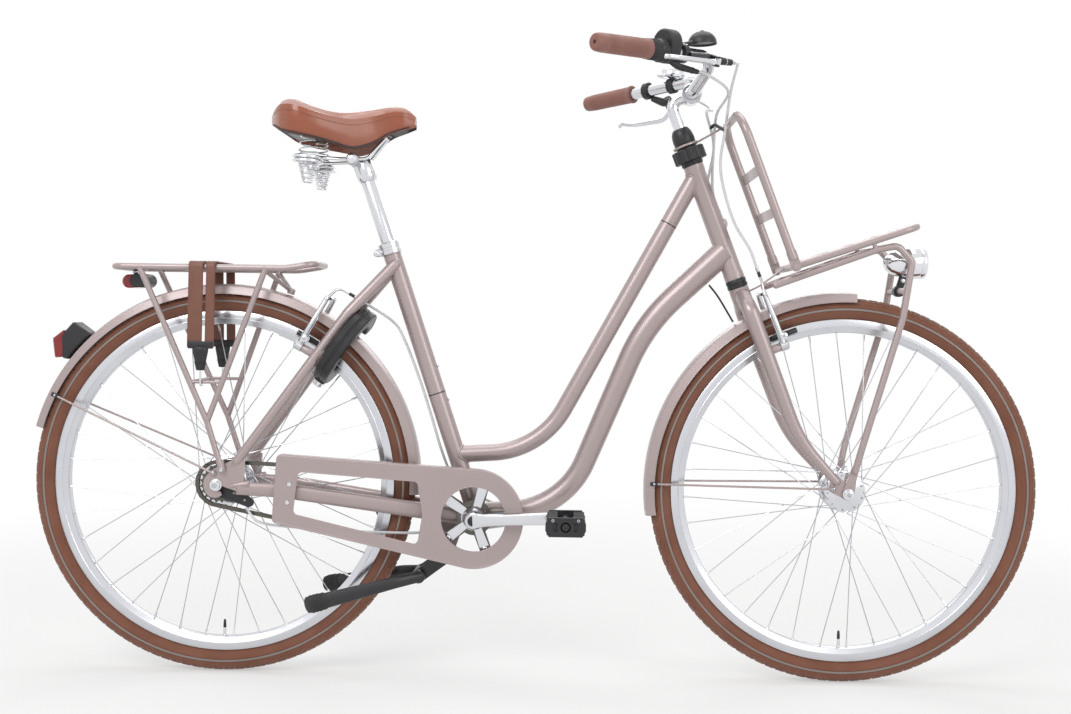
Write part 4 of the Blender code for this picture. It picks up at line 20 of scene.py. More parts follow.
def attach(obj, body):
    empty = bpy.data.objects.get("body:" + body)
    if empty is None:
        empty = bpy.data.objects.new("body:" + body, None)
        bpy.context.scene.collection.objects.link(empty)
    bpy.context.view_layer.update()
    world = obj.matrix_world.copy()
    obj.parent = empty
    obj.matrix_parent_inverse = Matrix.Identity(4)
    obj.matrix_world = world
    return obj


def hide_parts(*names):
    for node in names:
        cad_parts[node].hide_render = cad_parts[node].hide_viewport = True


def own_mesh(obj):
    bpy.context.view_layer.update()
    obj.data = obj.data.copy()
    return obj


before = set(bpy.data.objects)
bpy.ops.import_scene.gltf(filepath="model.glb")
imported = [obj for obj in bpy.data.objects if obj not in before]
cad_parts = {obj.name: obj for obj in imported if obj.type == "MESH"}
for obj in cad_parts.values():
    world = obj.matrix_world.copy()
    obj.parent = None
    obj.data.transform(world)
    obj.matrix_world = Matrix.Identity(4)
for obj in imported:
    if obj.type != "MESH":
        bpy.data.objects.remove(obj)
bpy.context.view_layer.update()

LOG = logging.getLogger("city_bike")
Pair = tuple[float, float]
Triple = tuple[float, float, float]
Spot = Sequence[float]

# Places that several assemblies share, measured from the rear wheel's contact point
WHEELBASE = 1.147
WHEEL_RADIUS = 0.356
HEAD_LEAN = math.radians(21.2)
SEAT_LEAN = math.radians(18.6)
FORK_RAKE = 0.050
REAR_AXLE = Vector((0, 0, WHEEL_RADIUS))
BRACKET = Vector((0.469, 0, 0.301))
SEAT_UP = Vector((-math.sin(SEAT_LEAN), 0, math.cos(SEAT_LEAN)))
HEAD_UP = Vector((-math.sin(HEAD_LEAN), 0, math.cos(HEAD_LEAN)))
HEAD_FORWARD = Vector((math.cos(HEAD_LEAN), 0, math.sin(HEAD_LEAN)))
STEERING_FOOT = Vector((WHEELBASE, 0, WHEEL_RADIUS)) - FORK_RAKE * HEAD_FORWARD
BIKE = Matrix.Translation((-WHEELBASE / 2, 0, 0))
STEERING = Matrix.Translation(STEERING_FOOT) @ Matrix.Rotation(-HEAD_LEAN, 4, "Y")
STEER = BIKE @ STEERING
FRONT_WHEEL = Matrix.Translation((FORK_RAKE, 0, 0)) @ Matrix.Rotation(HEAD_LEAN, 4, "Y")
ACROSS = Matrix.Rotation(-math.pi / 2, 4, "X")
SIDEWAYS = Matrix.Rotation(math.pi / 2, 4, "X")
ALONG_X = Matrix.Rotation(math.pi / 2, 4, "Y")
SIDES = {"right": -1, "left": 1}
SHARP = math.radians(38)


# Finishes


def linear(code: str) -> tuple[float, float, float, float]:
    """Turns an sRGB hex colour into the linear colour that a shader takes.

    Args:
        code: The colour as six hex digits after a hash.

    Returns:
        Linear red, green, blue and an alpha of one.
    """
    shares = [int(code[i : i + 2], 16) / 255 for i in (1, 3, 5)]
    red, green, blue = (s / 12.92 if s <= 0.04045 else ((s + 0.055) / 1.055) ** 2.4 for s in shares)
    return red, green, blue, 1.0


def add_node(tree: bpy.types.NodeTree, kind: str, values: dict | None = None,
             links: dict | None = None, **settings: object) -> bpy.types.Node:
    """Adds one shader node.

    Args:
        tree: The tree that the node joins.
        kind: The node's type name.
        values: Numbers and colours for input sockets, by name or index.
        links: Output sockets that feed input sockets, by name or index.
        **settings: The node's own properties.

    Returns:
        The new node.
    """
    made = tree.nodes.new(kind)
    for key, value in settings.items():
        setattr(made, key, value)
    for key, value in (values or {}).items():
        made.inputs[key].default_value = value
    for key, source in (links or {}).items():
        tree.links.new(source, made.inputs[key])
    return made


class Grain(Enum):
    """The fine structure of a surface."""

    SPECKLE = "speckle"
    PEBBLE = "pebble"
    FLAKE = "metal flake under lacquer"
    PRISMS = "moulded prisms"


@dataclass(frozen=True)
class Finish:
    """One material, from what the real one is and how its surface was made."""

    name: str
    colour: str
    shade: str
    roughness: float
    metallic: float = 0.0
    grain: Grain = Grain.SPECKLE
    grain_mm: float = 0.8
    depth_mm: float = 0.02
    patch_mm: float = 60.0
    spread: float = 0.08
    coat: float = 0.0
    sheen: float = 0.0
    see_through: float = 0.0
    ior: float = 1.5

    def make(self) -> bpy.types.Material:
        """Builds the material, or finds it again.

        Returns:
            The Blender material.
        """
        found = bpy.data.materials.get(self.name)
        if found:
            return found
        material = bpy.data.materials.new(self.name)
        material.use_nodes = True
        tree = material.node_tree
        shader = tree.nodes["Principled BSDF"]
        for socket, value in (
            ("Metallic", self.metallic),
            ("Coat Weight", self.coat),
            ("Coat Roughness", 0.12),
            ("Sheen Weight", self.sheen),
            ("Transmission Weight", self.see_through),
        ):
            shader.inputs[socket].default_value = value
        if not self.metallic:
            shader.inputs["IOR"].default_value = self.ior
        spots = add_node(tree, "ShaderNodeTexCoord").outputs["Object"]
        patches = add_node(tree, "ShaderNodeTexNoise", {"Scale": 1000 / self.patch_mm, "Detail": 4.0},
                           {"Vector": spots})
        fine = self.fine_pattern(tree, spots)
        height, shade = fine, patches.outputs["Fac"]
        if self.grain is Grain.FLAKE:
            shade = add_node(tree, "ShaderNodeMix", {0: 0.45}, {2: shade, 3: fine}).outputs[0]
        mix = add_node(tree, "ShaderNodeMix", {6: linear(self.colour), 7: linear(self.shade)},
                       {0: shade}, data_type="RGBA")
        tree.links.new(mix.outputs[2], shader.inputs["Base Color"])
        rough = add_node(tree, "ShaderNodeMapRange",
                         {"From Min": 0.3, "From Max": 0.7, "To Min": max(0.02, self.roughness - self.spread),
                          "To Max": self.roughness + self.spread}, {"Value": patches.outputs["Fac"]})
        tree.links.new(rough.outputs["Result"], shader.inputs["Roughness"])
        bump = add_node(tree, "ShaderNodeBump", {"Strength": 0.6, "Distance": self.depth_mm / 1000},
                        {"Height": height})
        tree.links.new(bump.outputs["Normal"], shader.inputs["Normal"])
        return material

    def fine_pattern(self, tree: bpy.types.NodeTree, spots: bpy.types.NodeSocket) -> bpy.types.NodeSocket:
        """Adds the texture of the surface's fine structure.

        Args:
            tree: The material's tree.
            spots: Object coordinates.

        Returns:
            The socket with the pattern's value.
        """
        scale = 1000 / self.grain_mm
        if self.grain in (Grain.PEBBLE, Grain.FLAKE, Grain.PRISMS):
            feature = "F1" if self.grain is not Grain.PEBBLE else "SMOOTH_F1"
            cells = add_node(tree, "ShaderNodeTexVoronoi", {"Scale": scale}, {"Vector": spots},
                             feature=feature)
            return cells.outputs["Color" if self.grain is Grain.FLAKE else "Distance"]
        grains = add_node(tree, "ShaderNodeTexNoise", {"Scale": scale, "Detail": 3.0}, {"Vector": spots})
        return grains.outputs["Fac"]


# Satin lacquer over metallic paint: soft broad highlights and a faint sparkle, drawn at 0.9 mm
# because real flakes are too fine to show
PAINT = Finish("sand_metallic_lacquer", "#b4a5a4", "#a69796", 0.34, 0.35, Grain.FLAKE, 0.9, 0.004, 90, 0.04,
               0.25)
# Cast and tumbled alloy: pale, with a soft even glow
ALLOY = Finish("satin_cast_alloy", "#d4d5d8", "#c2c3c8", 0.30, 1.0, Grain.SPECKLE, 0.5, 0.008, 30, 0.07)
# Polished and anodised alloy tube, drawn through a die along its length
POLISHED = Finish("polished_alloy", "#dfe0e3", "#d2d3d8", 0.17, 1.0, Grain.SPECKLE, 1.5, 0.004, 40, 0.05)
# Alloy rim, turned on a lathe, with fine rings in the brake tracks
RIM_ALLOY = Finish("turned_rim_alloy", "#d9dade", "#c9cbd1", 0.24, 1.0, Grain.SPECKLE, 0.9, 0.006, 50, 0.06)
# Bright nickel over steel
CHROME = Finish("bright_chrome", "#e6e7ea", "#dcdde2", 0.07, 1.0, Grain.SPECKLE, 2.0, 0.003, 35, 0.03)
# Stainless wire, drawn bright
STAINLESS = Finish("stainless_wire", "#c4c6cb", "#b3b5bb", 0.22, 1.0, Grain.SPECKLE, 0.6, 0.006, 25, 0.05)
# Chain steel under a thin film of oil
CHAIN_STEEL = Finish("oiled_chain_steel", "#6e6a64", "#57534d", 0.34, 1.0, Grain.SPECKLE, 1.2, 0.02, 20, 0.1)
# Powder coated steel: fine orange peel
BLACK_STEEL = Finish("black_powder_coat", "#26262a", "#1e1e21", 0.42, 0.0, Grain.PEBBLE, 1.1, 0.02, 40, 0.06,
                     0.15)
# Moulded polyamide with a fine spark-eroded grain
BLACK_PLASTIC = Finish("moulded_black_polyamide", "#1c1c1f", "#26262a", 0.40, 0.0, Grain.SPECKLE, 0.7, 0.03,
                       30, 0.08)
# Soft black rubber with a dull bloom
BLACK_RUBBER = Finish("black_rubber", "#1d1d1f", "#2a2a2c", 0.68, 0.0, Grain.SPECKLE, 1.0, 0.04, 25, 0.08,
                      0.0, 0.15)
# Grip rubber in saddle brown
BROWN_RUBBER = Finish("brown_grip_rubber", "#93665a", "#83554a", 0.52, 0.0, Grain.PEBBLE, 1.3, 0.05, 30, 0.08,
                      0.0, 0.2)
# Tyre rubber: dull, with dusty paler patches
TYRE_RUBBER = Finish("brown_tyre_rubber", "#85543f", "#714431", 0.74, 0.0, Grain.SPECKLE, 1.4, 0.06, 45, 0.08,
                     0.0, 0.25)
# Reflective ring on the tyre's flank, woven glass beads under rubber
REFLECTIVE = Finish("reflective_ring", "#96908c", "#7e7976", 0.35, 0.4, Grain.PRISMS, 0.8, 0.02, 30, 0.08)
# Saddle vinyl with a pebbled leather grain and a waxy shine
LEATHER = Finish("brown_saddle_leather", "#a2583a", "#8a4529", 0.30, 0.0, Grain.PEBBLE, 1.6, 0.05, 45, 0.07,
                 0.35, 0.1)
# Strap rubber in the same brown, duller than the saddle
STRAP = Finish("brown_strap_rubber", "#7c5040", "#6b4234", 0.50, 0.0, Grain.SPECKLE, 1.5, 0.04, 30, 0.08, 0.0,
               0.1)
# Extruded white sleeve with a gloss
WHITE_SLEEVE = Finish("white_cable_sleeve", "#e6e6e8", "#dadadd", 0.30, 0.0, Grain.SPECKLE, 1.2, 0.01, 30,
                      0.05)
# Transparent red acrylic with prisms moulded in its back
RED_LENS = Finish("red_acrylic_lens", "#a80d12", "#7d070b", 0.14, 0.0, Grain.PRISMS, 2.4, 0.25, 25, 0.04, 0.5,
                  0, 0.25, 1.49)
# Clear polycarbonate lens
CLEAR_LENS = Finish("clear_lens", "#f2f4f6", "#e9ecef", 0.05, 0.0, Grain.PRISMS, 3.0, 0.15, 30, 0.02, 0.0, 0,
                    0.85, 1.58)
# Amber pedal reflectors
AMBER_LENS = Finish("amber_lens", "#d9820f", "#b8680a", 0.15, 0.0, Grain.PRISMS, 2.0, 0.2, 20, 0.04, 0.4, 0,
                    0.2, 1.49)
# Small dark line of lacquer round a tube
DARK_LINE = Finish("dark_lacquer_line", "#3a3432", "#2f2a28", 0.35, 0.1, Grain.SPECKLE, 1.0, 0.005, 30, 0.04,
                   0.2)


# Shapes


def shift(x: float = 0.0, y: float = 0.0, z: float = 0.0) -> Matrix:
    """A move as a matrix."""
    return Matrix.Translation((x, y, z))


def aimed(origin: Spot, direction: Spot) -> Matrix:
    """A place at origin whose Z axis points along direction."""
    turn = Vector(direction).to_track_quat("Z", "Y").to_matrix().to_4x4()
    return Matrix.Translation(origin) @ turn


def axes(origin: Spot, along: Spot, up: Spot) -> Matrix:
    """A place at origin with X along one direction and Z as near as it goes to another.

    Args:
        origin: Where the place stands.
        along: What X points along.
        up: What Z stays near.

    Returns:
        The place.
    """
    x = Vector(along).normalized()
    y = Vector(up).cross(x).normalized()
    turn = Matrix((x, y, x.cross(y))).transposed().to_4x4()
    return Matrix.Translation(origin) @ turn


def bend(corners: Sequence[Spot], step: float = math.radians(7)) -> list[Vector]:
    """Rounds the inner corners of a path.

    Args:
        corners: Points (x, y, z), with a bend radius as an optional fourth number.
        step: The largest turn between two points of a bend.

    Returns:
        The points of the rounded path.
    """
    path = [Vector(corners[0][:3])]
    for before, corner, after in zip(corners, corners[1:], corners[2:]):
        here = Vector(corner[:3])
        radius = corner[3] if len(corner) > 3 else 0
        inward = (here - Vector(before[:3])).normalized()
        outward = (Vector(after[:3]) - here).normalized()
        turn = inward.angle(outward)
        if radius == 0 or turn < 0.01:
            path.append(here)
            continue
        middle = here + (outward - inward).normalized() * radius / math.cos(turn / 2)
        start = here - inward * radius * math.tan(turn / 2)
        axis = inward.cross(outward).normalized()
        count = max(2, math.ceil(turn / step))
        for i in range(count + 1):
            path.append(middle + Matrix.Rotation(turn * i / count, 3, axis) @ (start - middle))
    path.append(Vector(corners[-1][:3]))
    return path


def curved(points: Sequence[Spot], steps: int = 6) -> list[Vector]:
    """A smooth curve through some points.

    Args:
        points: The points that the curve passes.
        steps: How many pieces each stretch is cut into.

    Returns:
        The points of the curve.
    """
    spots = [Vector(p[:3]) for p in points]
    spots = [spots[0] * 2 - spots[1], *spots, spots[-1] * 2 - spots[-2]]
    path = []
    for a, b, c, d in zip(spots, spots[1:], spots[2:], spots[3:]):
        for i in range(steps):
            t = i / steps
            path.append(0.5 * (2 * b + (c - a) * t + (2 * a - 5 * b + 4 * c - d) * t**2
                               + (3 * b - a - 3 * c + d) * t**3))
    return [*path, spots[-2]]


def sizes_along(path: Sequence[Vector], stops: Sequence[Pair]) -> list[float]:
    """A size for each point of a path.

    Args:
        path: The path's points.
        stops: Pairs of a share of the path's length and the size there.

    Returns:
        One size for each point.
    """
    runs = [0.0]
    for a, b in zip(path, path[1:]):
        runs.append(runs[-1] + (b - a).length)
    sizes = []
    for run in runs:
        share = run / runs[-1]
        size = stops[-1][1]
        for (low, first), (high, last) in zip(stops, stops[1:]):
            if share <= high:
                size = first + (last - first) * (share - low) / max(high - low, 1e-9)
                break
        sizes.append(size)
    return sizes


def places_along(path: Sequence[Vector], closed: bool = False) -> list[Matrix]:
    """Places along a path whose Z axes follow it without twisting.

    Args:
        path: The path's points.
        closed: Whether the last point leads back to the first.

    Returns:
        One matrix for each point.
    """
    last = len(path) - 1
    places = []
    heading = (path[1] - path[0]).normalized()
    turn = heading.to_track_quat("Z", "Y")
    for i, here in enumerate(path):
        before = path[i - 1] if closed or i else path[0]
        after = path[(i + 1) % len(path)] if closed or i < last else path[last]
        onward = (after - before).normalized()
        turn = heading.rotation_difference(onward) @ turn
        heading = onward
        places.append(Matrix.Translation(here) @ turn.to_matrix().to_4x4())
    return places


def grow(work: bmesh.types.BMesh, places: Sequence[Matrix], closed: bool = False) -> None:
    """Draws a ring of a bmesh on through a row of places, and closes its ends.

    Args:
        work: A bmesh that holds one ring of edges, drawn in the first place.
        places: The ring's place at each station, the first included.
        closed: Whether the last ring joins the first.
    """
    first = list(work.edges)
    edges = first
    for before, place in zip(places, places[1:]):
        grown = bmesh.ops.extrude_edge_only(work, edges=edges)["geom"]
        spots = {item for item in grown if isinstance(item, bmesh.types.BMVert)}
        bmesh.ops.transform(work, matrix=place @ before.inverted(), verts=list(spots))
        edges = [item for item in grown if isinstance(item, bmesh.types.BMEdge) and set(item.verts) <= spots]
    if closed:
        bmesh.ops.bridge_loops(work, edges=first + edges)
    else:
        bmesh.ops.holes_fill(work, edges=[edge for edge in work.edges if edge.is_boundary], sides=0)
    bmesh.ops.recalc_face_normals(work, faces=work.faces)


def tube(path: Sequence[Spot], size: float | Sequence[Pair], sides: int = 20, flat: float = 1.0,
         closed: bool = False) -> bmesh.types.BMesh:
    """A round or oval bar along a path.

    Args:
        path: The points of its middle line.
        size: Its radius, or (share, radius) stops.
        sides: How many faces go round it.
        flat: Its width in Y as a share of its height, for a path that lies near the XZ plane.
        closed: Whether it is a ring.

    Returns:
        The bar as a bmesh.
    """
    spots = [Vector((p[0], p[1] / flat, p[2])) for p in path]
    stops = size if isinstance(size, (list, tuple)) else [(0, size), (1, size)]
    radii = sizes_along(spots, stops)
    places = [place @ Matrix.Diagonal((r, r, r, 1)) for place, r in zip(places_along(spots, closed), radii)]
    work = bmesh.new()
    bmesh.ops.create_circle(work, cap_ends=False, segments=sides, radius=1, matrix=places[0])
    grow(work, places, closed)
    if flat != 1.0:
        bmesh.ops.scale(work, vec=(1, flat, 1), verts=work.verts)
    return work


def soften(work: bmesh.types.BMesh, size: float, steepest: float = math.radians(50),
           segments: int = 2) -> bmesh.types.BMesh:
    """Bevels the edges of a bmesh that are steeper than an angle.

    Args:
        work: The bmesh to change.
        size: The bevel's width.
        steepest: The angle that an edge has to pass.
        segments: How many faces the bevel has.

    Returns:
        The same bmesh.
    """
    edges = [e for e in work.edges if len(e.link_faces) == 2 and e.calc_face_angle() > steepest]
    if size and edges:
        bmesh.ops.bevel(work, geom=edges, offset=size, affect="EDGES", segments=segments, profile=0.5,
                        material=-1, clamp_overlap=True)
    return work


def rod(start: Spot, end: Spot, radius: float, sides: int = 24, end_radius: float | None = None,
        edge: float = 0.0) -> bmesh.types.BMesh:
    """A straight round bar or cone between two points.

    Args:
        start: Its first end.
        end: Its other end.
        radius: Its radius at the first end.
        sides: How many faces go round it.
        end_radius: Its radius at the other end, if that differs.
        edge: The bevel round its ends.

    Returns:
        The bar as a bmesh.
    """
    start, end = Vector(start), Vector(end)
    work = bmesh.new()
    bmesh.ops.create_cone(work, cap_ends=True, segments=sides, radius1=radius,
                          radius2=radius if end_radius is None else end_radius,
                          depth=(end - start).length, matrix=aimed((start + end) / 2, end - start))
    return soften(work, edge)


def across(middle: Spot, half: float, radius: float, sides: int = 24, edge: float = 0.0) -> bmesh.types.BMesh:
    """A round bar from side to side through a point."""
    reach = Vector((0, half, 0))
    return rod(Vector(middle) - reach, Vector(middle) + reach, radius, sides, edge=edge)


def block(size: Spot, place: Matrix, edge: float = 0.001) -> bmesh.types.BMesh:
    """A bevelled block of a size, centred in a place.

    Args:
        size: Its lengths along X, Y and Z.
        place: Where its middle is.
        edge: The bevel's width.

    Returns:
        The shape, ready to be added to a piece.
    """
    work = bmesh.new()
    bmesh.ops.create_cube(work, size=1, matrix=Matrix.Diagonal((*size, 1)))
    soften(work, edge)
    bmesh.ops.transform(work, matrix=place, verts=work.verts)
    return work


def ball(radius: float, place: Matrix, steps: int = 16) -> bmesh.types.BMesh:
    """A ball in a place.

    Args:
        radius: Its radius.
        place: Where its middle is.
        steps: How many faces go round.

    Returns:
        The shape, ready to be added to a piece.
    """
    work = bmesh.new()
    bmesh.ops.create_uvsphere(work, u_segments=2 * steps, v_segments=steps, radius=radius, matrix=place)
    return work


def turned(profile: Sequence[Pair], place: Matrix, steps: int = 48, closed: bool = False,
           sweep: float = math.tau) -> bmesh.types.BMesh:
    """A profile turned about the place's Z axis.

    Args:
        profile: Its (radius, height) points.
        place: Where its axis lies.
        steps: How many faces go round it.
        closed: Whether the last point joins the first.
        sweep: The angle that it turns through.

    Returns:
        The turned shape as a bmesh.
    """
    work = bmesh.new()
    spots = [work.verts.new((radius, 0, height)) for radius, height in profile]
    pairs = zip(spots, spots[1:] + spots[:1] if closed else spots[1:])
    edges = [work.edges.new(pair) for pair in pairs]
    full = sweep == math.tau
    bmesh.ops.spin(work, geom=spots + edges, cent=(0, 0, 0), axis=(0, 0, 1), angle=sweep, steps=steps,
                   use_merge=full, use_duplicate=False)
    bmesh.ops.remove_doubles(work, verts=work.verts, dist=1e-6)
    if closed and not full:
        bmesh.ops.holes_fill(work, edges=[edge for edge in work.edges if edge.is_boundary], sides=0)
    bmesh.ops.recalc_face_normals(work, faces=work.faces)
    bmesh.ops.transform(work, matrix=place, verts=work.verts)
    return work


def ring(outer: float, bore: float, low: float, high: float, place: Matrix, edge: float = 0.0006,
         steps: int = 48) -> bmesh.types.BMesh:
    """A pipe's short length with chamfered ends, round the place's Z axis.

    Args:
        outer: The outer radius.
        bore: The hole's radius.
        low: Where it begins along Z.
        high: Where it ends along Z.
        place: Where the shape stands, and which way it points.
        edge: The chamfer's width.
        steps: How many faces go round.

    Returns:
        The shape, ready to be added to a piece.
    """
    profile = [(outer - edge, high), (outer, high - edge), (outer, low + edge), (outer - edge, low),
               (bore, low), (bore, high)]
    return turned(profile, place, steps, closed=True)


def circle(x: float, z: float, radius: float, sides: int = 32) -> list[Pair]:
    """The points of a circle."""
    turns = [math.tau * i / sides for i in range(sides)]
    return [(x + radius * math.cos(t), z + radius * math.sin(t)) for t in turns]


def hull(*circles: Triple, sides: int = 48) -> list[Pair]:
    """The outline drawn tight around some (x, z, radius) circles.

    Args:
        circles: Each circle's x, z and radius.
        sides: How many corners a circle has.

    Returns:
        The outline's corners in order.
    """
    points = sorted({(round(px, 7), round(pz, 7)) for x, z, r in circles
                     for px, pz in circle(x, z, r, sides)})

    def half(ordered: Sequence[Pair]) -> list[Pair]:
        """One side of the hull."""
        chain: list[Pair] = []
        for point in ordered:
            while len(chain) > 1:
                (ax, ay), (bx, by) = chain[-2:]
                if (bx - ax) * (point[1] - ay) - (by - ay) * (point[0] - ax) > 1e-12:
                    break
                chain.pop()
            chain.append(point)
        return chain[:-1]

    return half(points) + half(points[::-1])


def plate(outline: Sequence[Pair], thickness: float, place: Matrix, holes: Iterable[Sequence[Pair]] = (),
          edge: float = 0.0008) -> bmesh.types.BMesh:
    """A flat outline, with any holes, made thick evenly to both sides of the place's XY plane.

    Args:
        outline: The points of its edge.
        thickness: How thick it is.
        place: Where it lies.
        holes: The outlines of its holes.
        edge: The bevel round its faces.

    Returns:
        The plate as a bmesh.
    """
    work = bmesh.new()
    for loop in (outline, *holes):
        spots = [work.verts.new((x, y, -thickness / 2)) for x, y in loop]
        for a, b in zip(spots, spots[1:] + spots[:1]):
            work.edges.new((a, b))
    bmesh.ops.triangle_fill(work, use_beauty=True, use_dissolve=False, edges=work.edges[:])
    grown = bmesh.ops.extrude_face_region(work, geom=work.faces[:], use_keep_orig=True)["geom"]
    spots = [item for item in grown if isinstance(item, bmesh.types.BMVert)]
    bmesh.ops.translate(work, vec=(0, 0, thickness), verts=spots)
    bmesh.ops.dissolve_limit(work, angle_limit=0.001, verts=work.verts, edges=work.edges)
    bmesh.ops.recalc_face_normals(work, faces=work.faces)
    soften(work, edge, math.radians(70), 1)
    bmesh.ops.transform(work, matrix=place, verts=work.verts)
    return work


def side_plate(outline: Sequence[Pair], thickness: float, y: float, holes: Iterable[Sequence[Pair]] = (),
               edge: float = 0.0008) -> bmesh.types.BMesh:
    """A plate that stands in the XZ plane, with its middle at y."""
    return plate(outline, thickness, shift(y=y) @ SIDEWAYS, holes, edge)


def ribbon(points: Sequence[Pair], width: float) -> list[Pair]:
    """The outline of a flat band along some (x, z) points.

    Args:
        points: The band's middle line, as x and z.
        width: How wide the band is.

    Returns:
        The outline's corners in order.
    """
    left, right = [], []
    for i, here in enumerate(points):
        onward = Vector(points[min(i + 1, len(points) - 1)]) - Vector(points[max(i - 1, 0)])
        side = onward.normalized().orthogonal() * width / 2
        left.append(tuple(Vector(here) + side))
        right.append(tuple(Vector(here) - side))
    return left + right[::-1]


def nut(place: Matrix, radius: float, height: float) -> bmesh.types.BMesh:
    """A hexagonal nut on a washer, standing on the place's XY plane.

    Args:
        place: Where it sits.
        radius: Its radius across the corners.
        height: Its height with the washer.

    Returns:
        Both as one bmesh.
    """
    work = rod((0, 0, height * 0.15), (0, 0, height), radius, 6, edge=radius * 0.12)
    add_to(work, rod((0, 0, 0), (0, 0, height * 0.2), radius * 1.12, 28, edge=radius * 0.06))
    bmesh.ops.transform(work, matrix=place, verts=work.verts)
    return work


def socket_bolt(place: Matrix, radius: float, height: float) -> bmesh.types.BMesh:
    """A domed bolt head with a hexagonal socket, standing on the place's XY plane.

    Args:
        place: Where the shape stands, and which way it points.
        radius: The head's radius.
        height: The head's height.

    Returns:
        The shape, ready to be added to a piece.
    """
    profile = [(radius * 0.45, height * 0.3), (radius * 0.5, height), (radius * 0.8, height * 0.88),
               (radius, height * 0.4), (radius, 0), (0, 0)]
    work = turned(profile, Matrix(), 24)
    add_to(work, rod((0, 0, 0), (0, 0, height * 0.3), radius * 0.46, 6))
    bmesh.ops.transform(work, matrix=place, verts=work.verts)
    return work


def add_to(work: bmesh.types.BMesh, other: bmesh.types.BMesh) -> None:
    """Copies a bmesh into another one and frees it.

    Args:
        work: The bmesh that takes the copy.
        other: The bmesh that is copied and freed.
    """
    store = bpy.data.meshes.new("store")
    other.to_mesh(store)
    other.free()
    work.from_mesh(store)
    bpy.data.meshes.remove(store)


def weld_bead(target: bmesh.types.BMesh, start: Vector, onward: Vector, radius: float,
              thickness: float) -> bmesh.types.BMesh | None:
    """The bead of a weld where a round tube runs into another one.

    Args:
        target: The tube that is met.
        start: A point of the other tube's middle line, outside the target.
        onward: The direction from there into the target.
        radius: The other tube's radius.
        thickness: The bead's radius.

    Returns:
        The bead as a bmesh, or nothing where the tube misses the target.
    """
    tree = BVHTree.FromBMesh(target)
    place = aimed(start, onward)
    hits = []
    for i in range(40):
        turn = math.tau * i / 40
        origin = place @ Vector((radius * math.cos(turn), radius * math.sin(turn), 0))
        hit = tree.ray_cast(origin, onward.normalized())[0]
        if hit is None:
            return None
        hits.append(hit)
    return tube(hits, thickness, 10, closed=True)


class Piece:
    """One named object of the scene, gathered from bmeshes."""

    def __init__(self, name: str, place: Matrix = BIKE) -> None:
        """Starts an empty piece whose shapes are drawn in a place.

        Args:
            name: What the piece is called.
            place: The place that its shapes are drawn from.
        """
        self.name = name
        self.place = place
        self.work = bmesh.new()
        self.finishes: list[Finish] = []

    def add(self, shape: bmesh.types.BMesh | None, finish: Finish, place: Matrix | None = None,
            smooth: bool = True) -> "Piece":
        """Takes in a shape and frees it.

        Args:
            shape: The shape, or nothing.
            finish: Its material.
            place: Where it goes, in the piece's own place.
            smooth: Whether its faces are shaded round.

        Returns:
            The piece itself.
        """
        if shape is None:
            return self
        if finish not in self.finishes:
            self.finishes.append(finish)
        if place is not None:
            bmesh.ops.transform(shape, matrix=place, verts=shape.verts)
            if place.determinant() < 0:
                bmesh.ops.reverse_faces(shape, faces=shape.faces)
        for face in shape.faces:
            face.material_index = self.finishes.index(finish)
            face.smooth = smooth
        for edge in shape.edges:
            edge.smooth = len(edge.link_faces) != 2 or edge.calc_face_angle() < SHARP
        add_to(self.work, shape)
        return self

    def around(self, shape: bmesh.types.BMesh, finish: Finish, count: int, place: Matrix,
               smooth: bool = True) -> "Piece":
        """Takes in copies of a shape, set evenly round the place's Z axis.

        Args:
            shape: The shape, drawn in the place.
            finish: Its material.
            count: How many copies there are.
            place: Where the axis lies.
            smooth: Whether its faces are shaded round.

        Returns:
            The piece itself.
        """
        for i in range(count):
            self.add(shape.copy(), finish, place @ Matrix.Rotation(math.tau * i / count, 4, "Z"), smooth)
        shape.free()
        return self

    def done(self, body: str, slot: str, *nodes: str) -> bpy.types.Object:
        """Makes the object and ties it to the frame.

        Args:
            body: The CAD body that it rides on.
            slot: Not used.
            *nodes: The CAD nodes that it stands for.

        Returns:
            The finished object.
        """
        bmesh.ops.transform(self.work, matrix=self.place, verts=self.work.verts)
        mesh = bpy.data.meshes.new(self.name)
        self.work.to_mesh(mesh)
        self.work.free()
        for finish in self.finishes:
            mesh.materials.append(finish.make())
        made = bpy.data.objects.new(self.name, mesh)
        bpy.context.scene.collection.objects.link(made)
        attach(made, body)
        if nodes:
            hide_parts(*nodes)
        LOG.info("%s: %d faces on %s", self.name, len(mesh.polygons), body)
        return made


# Wheels


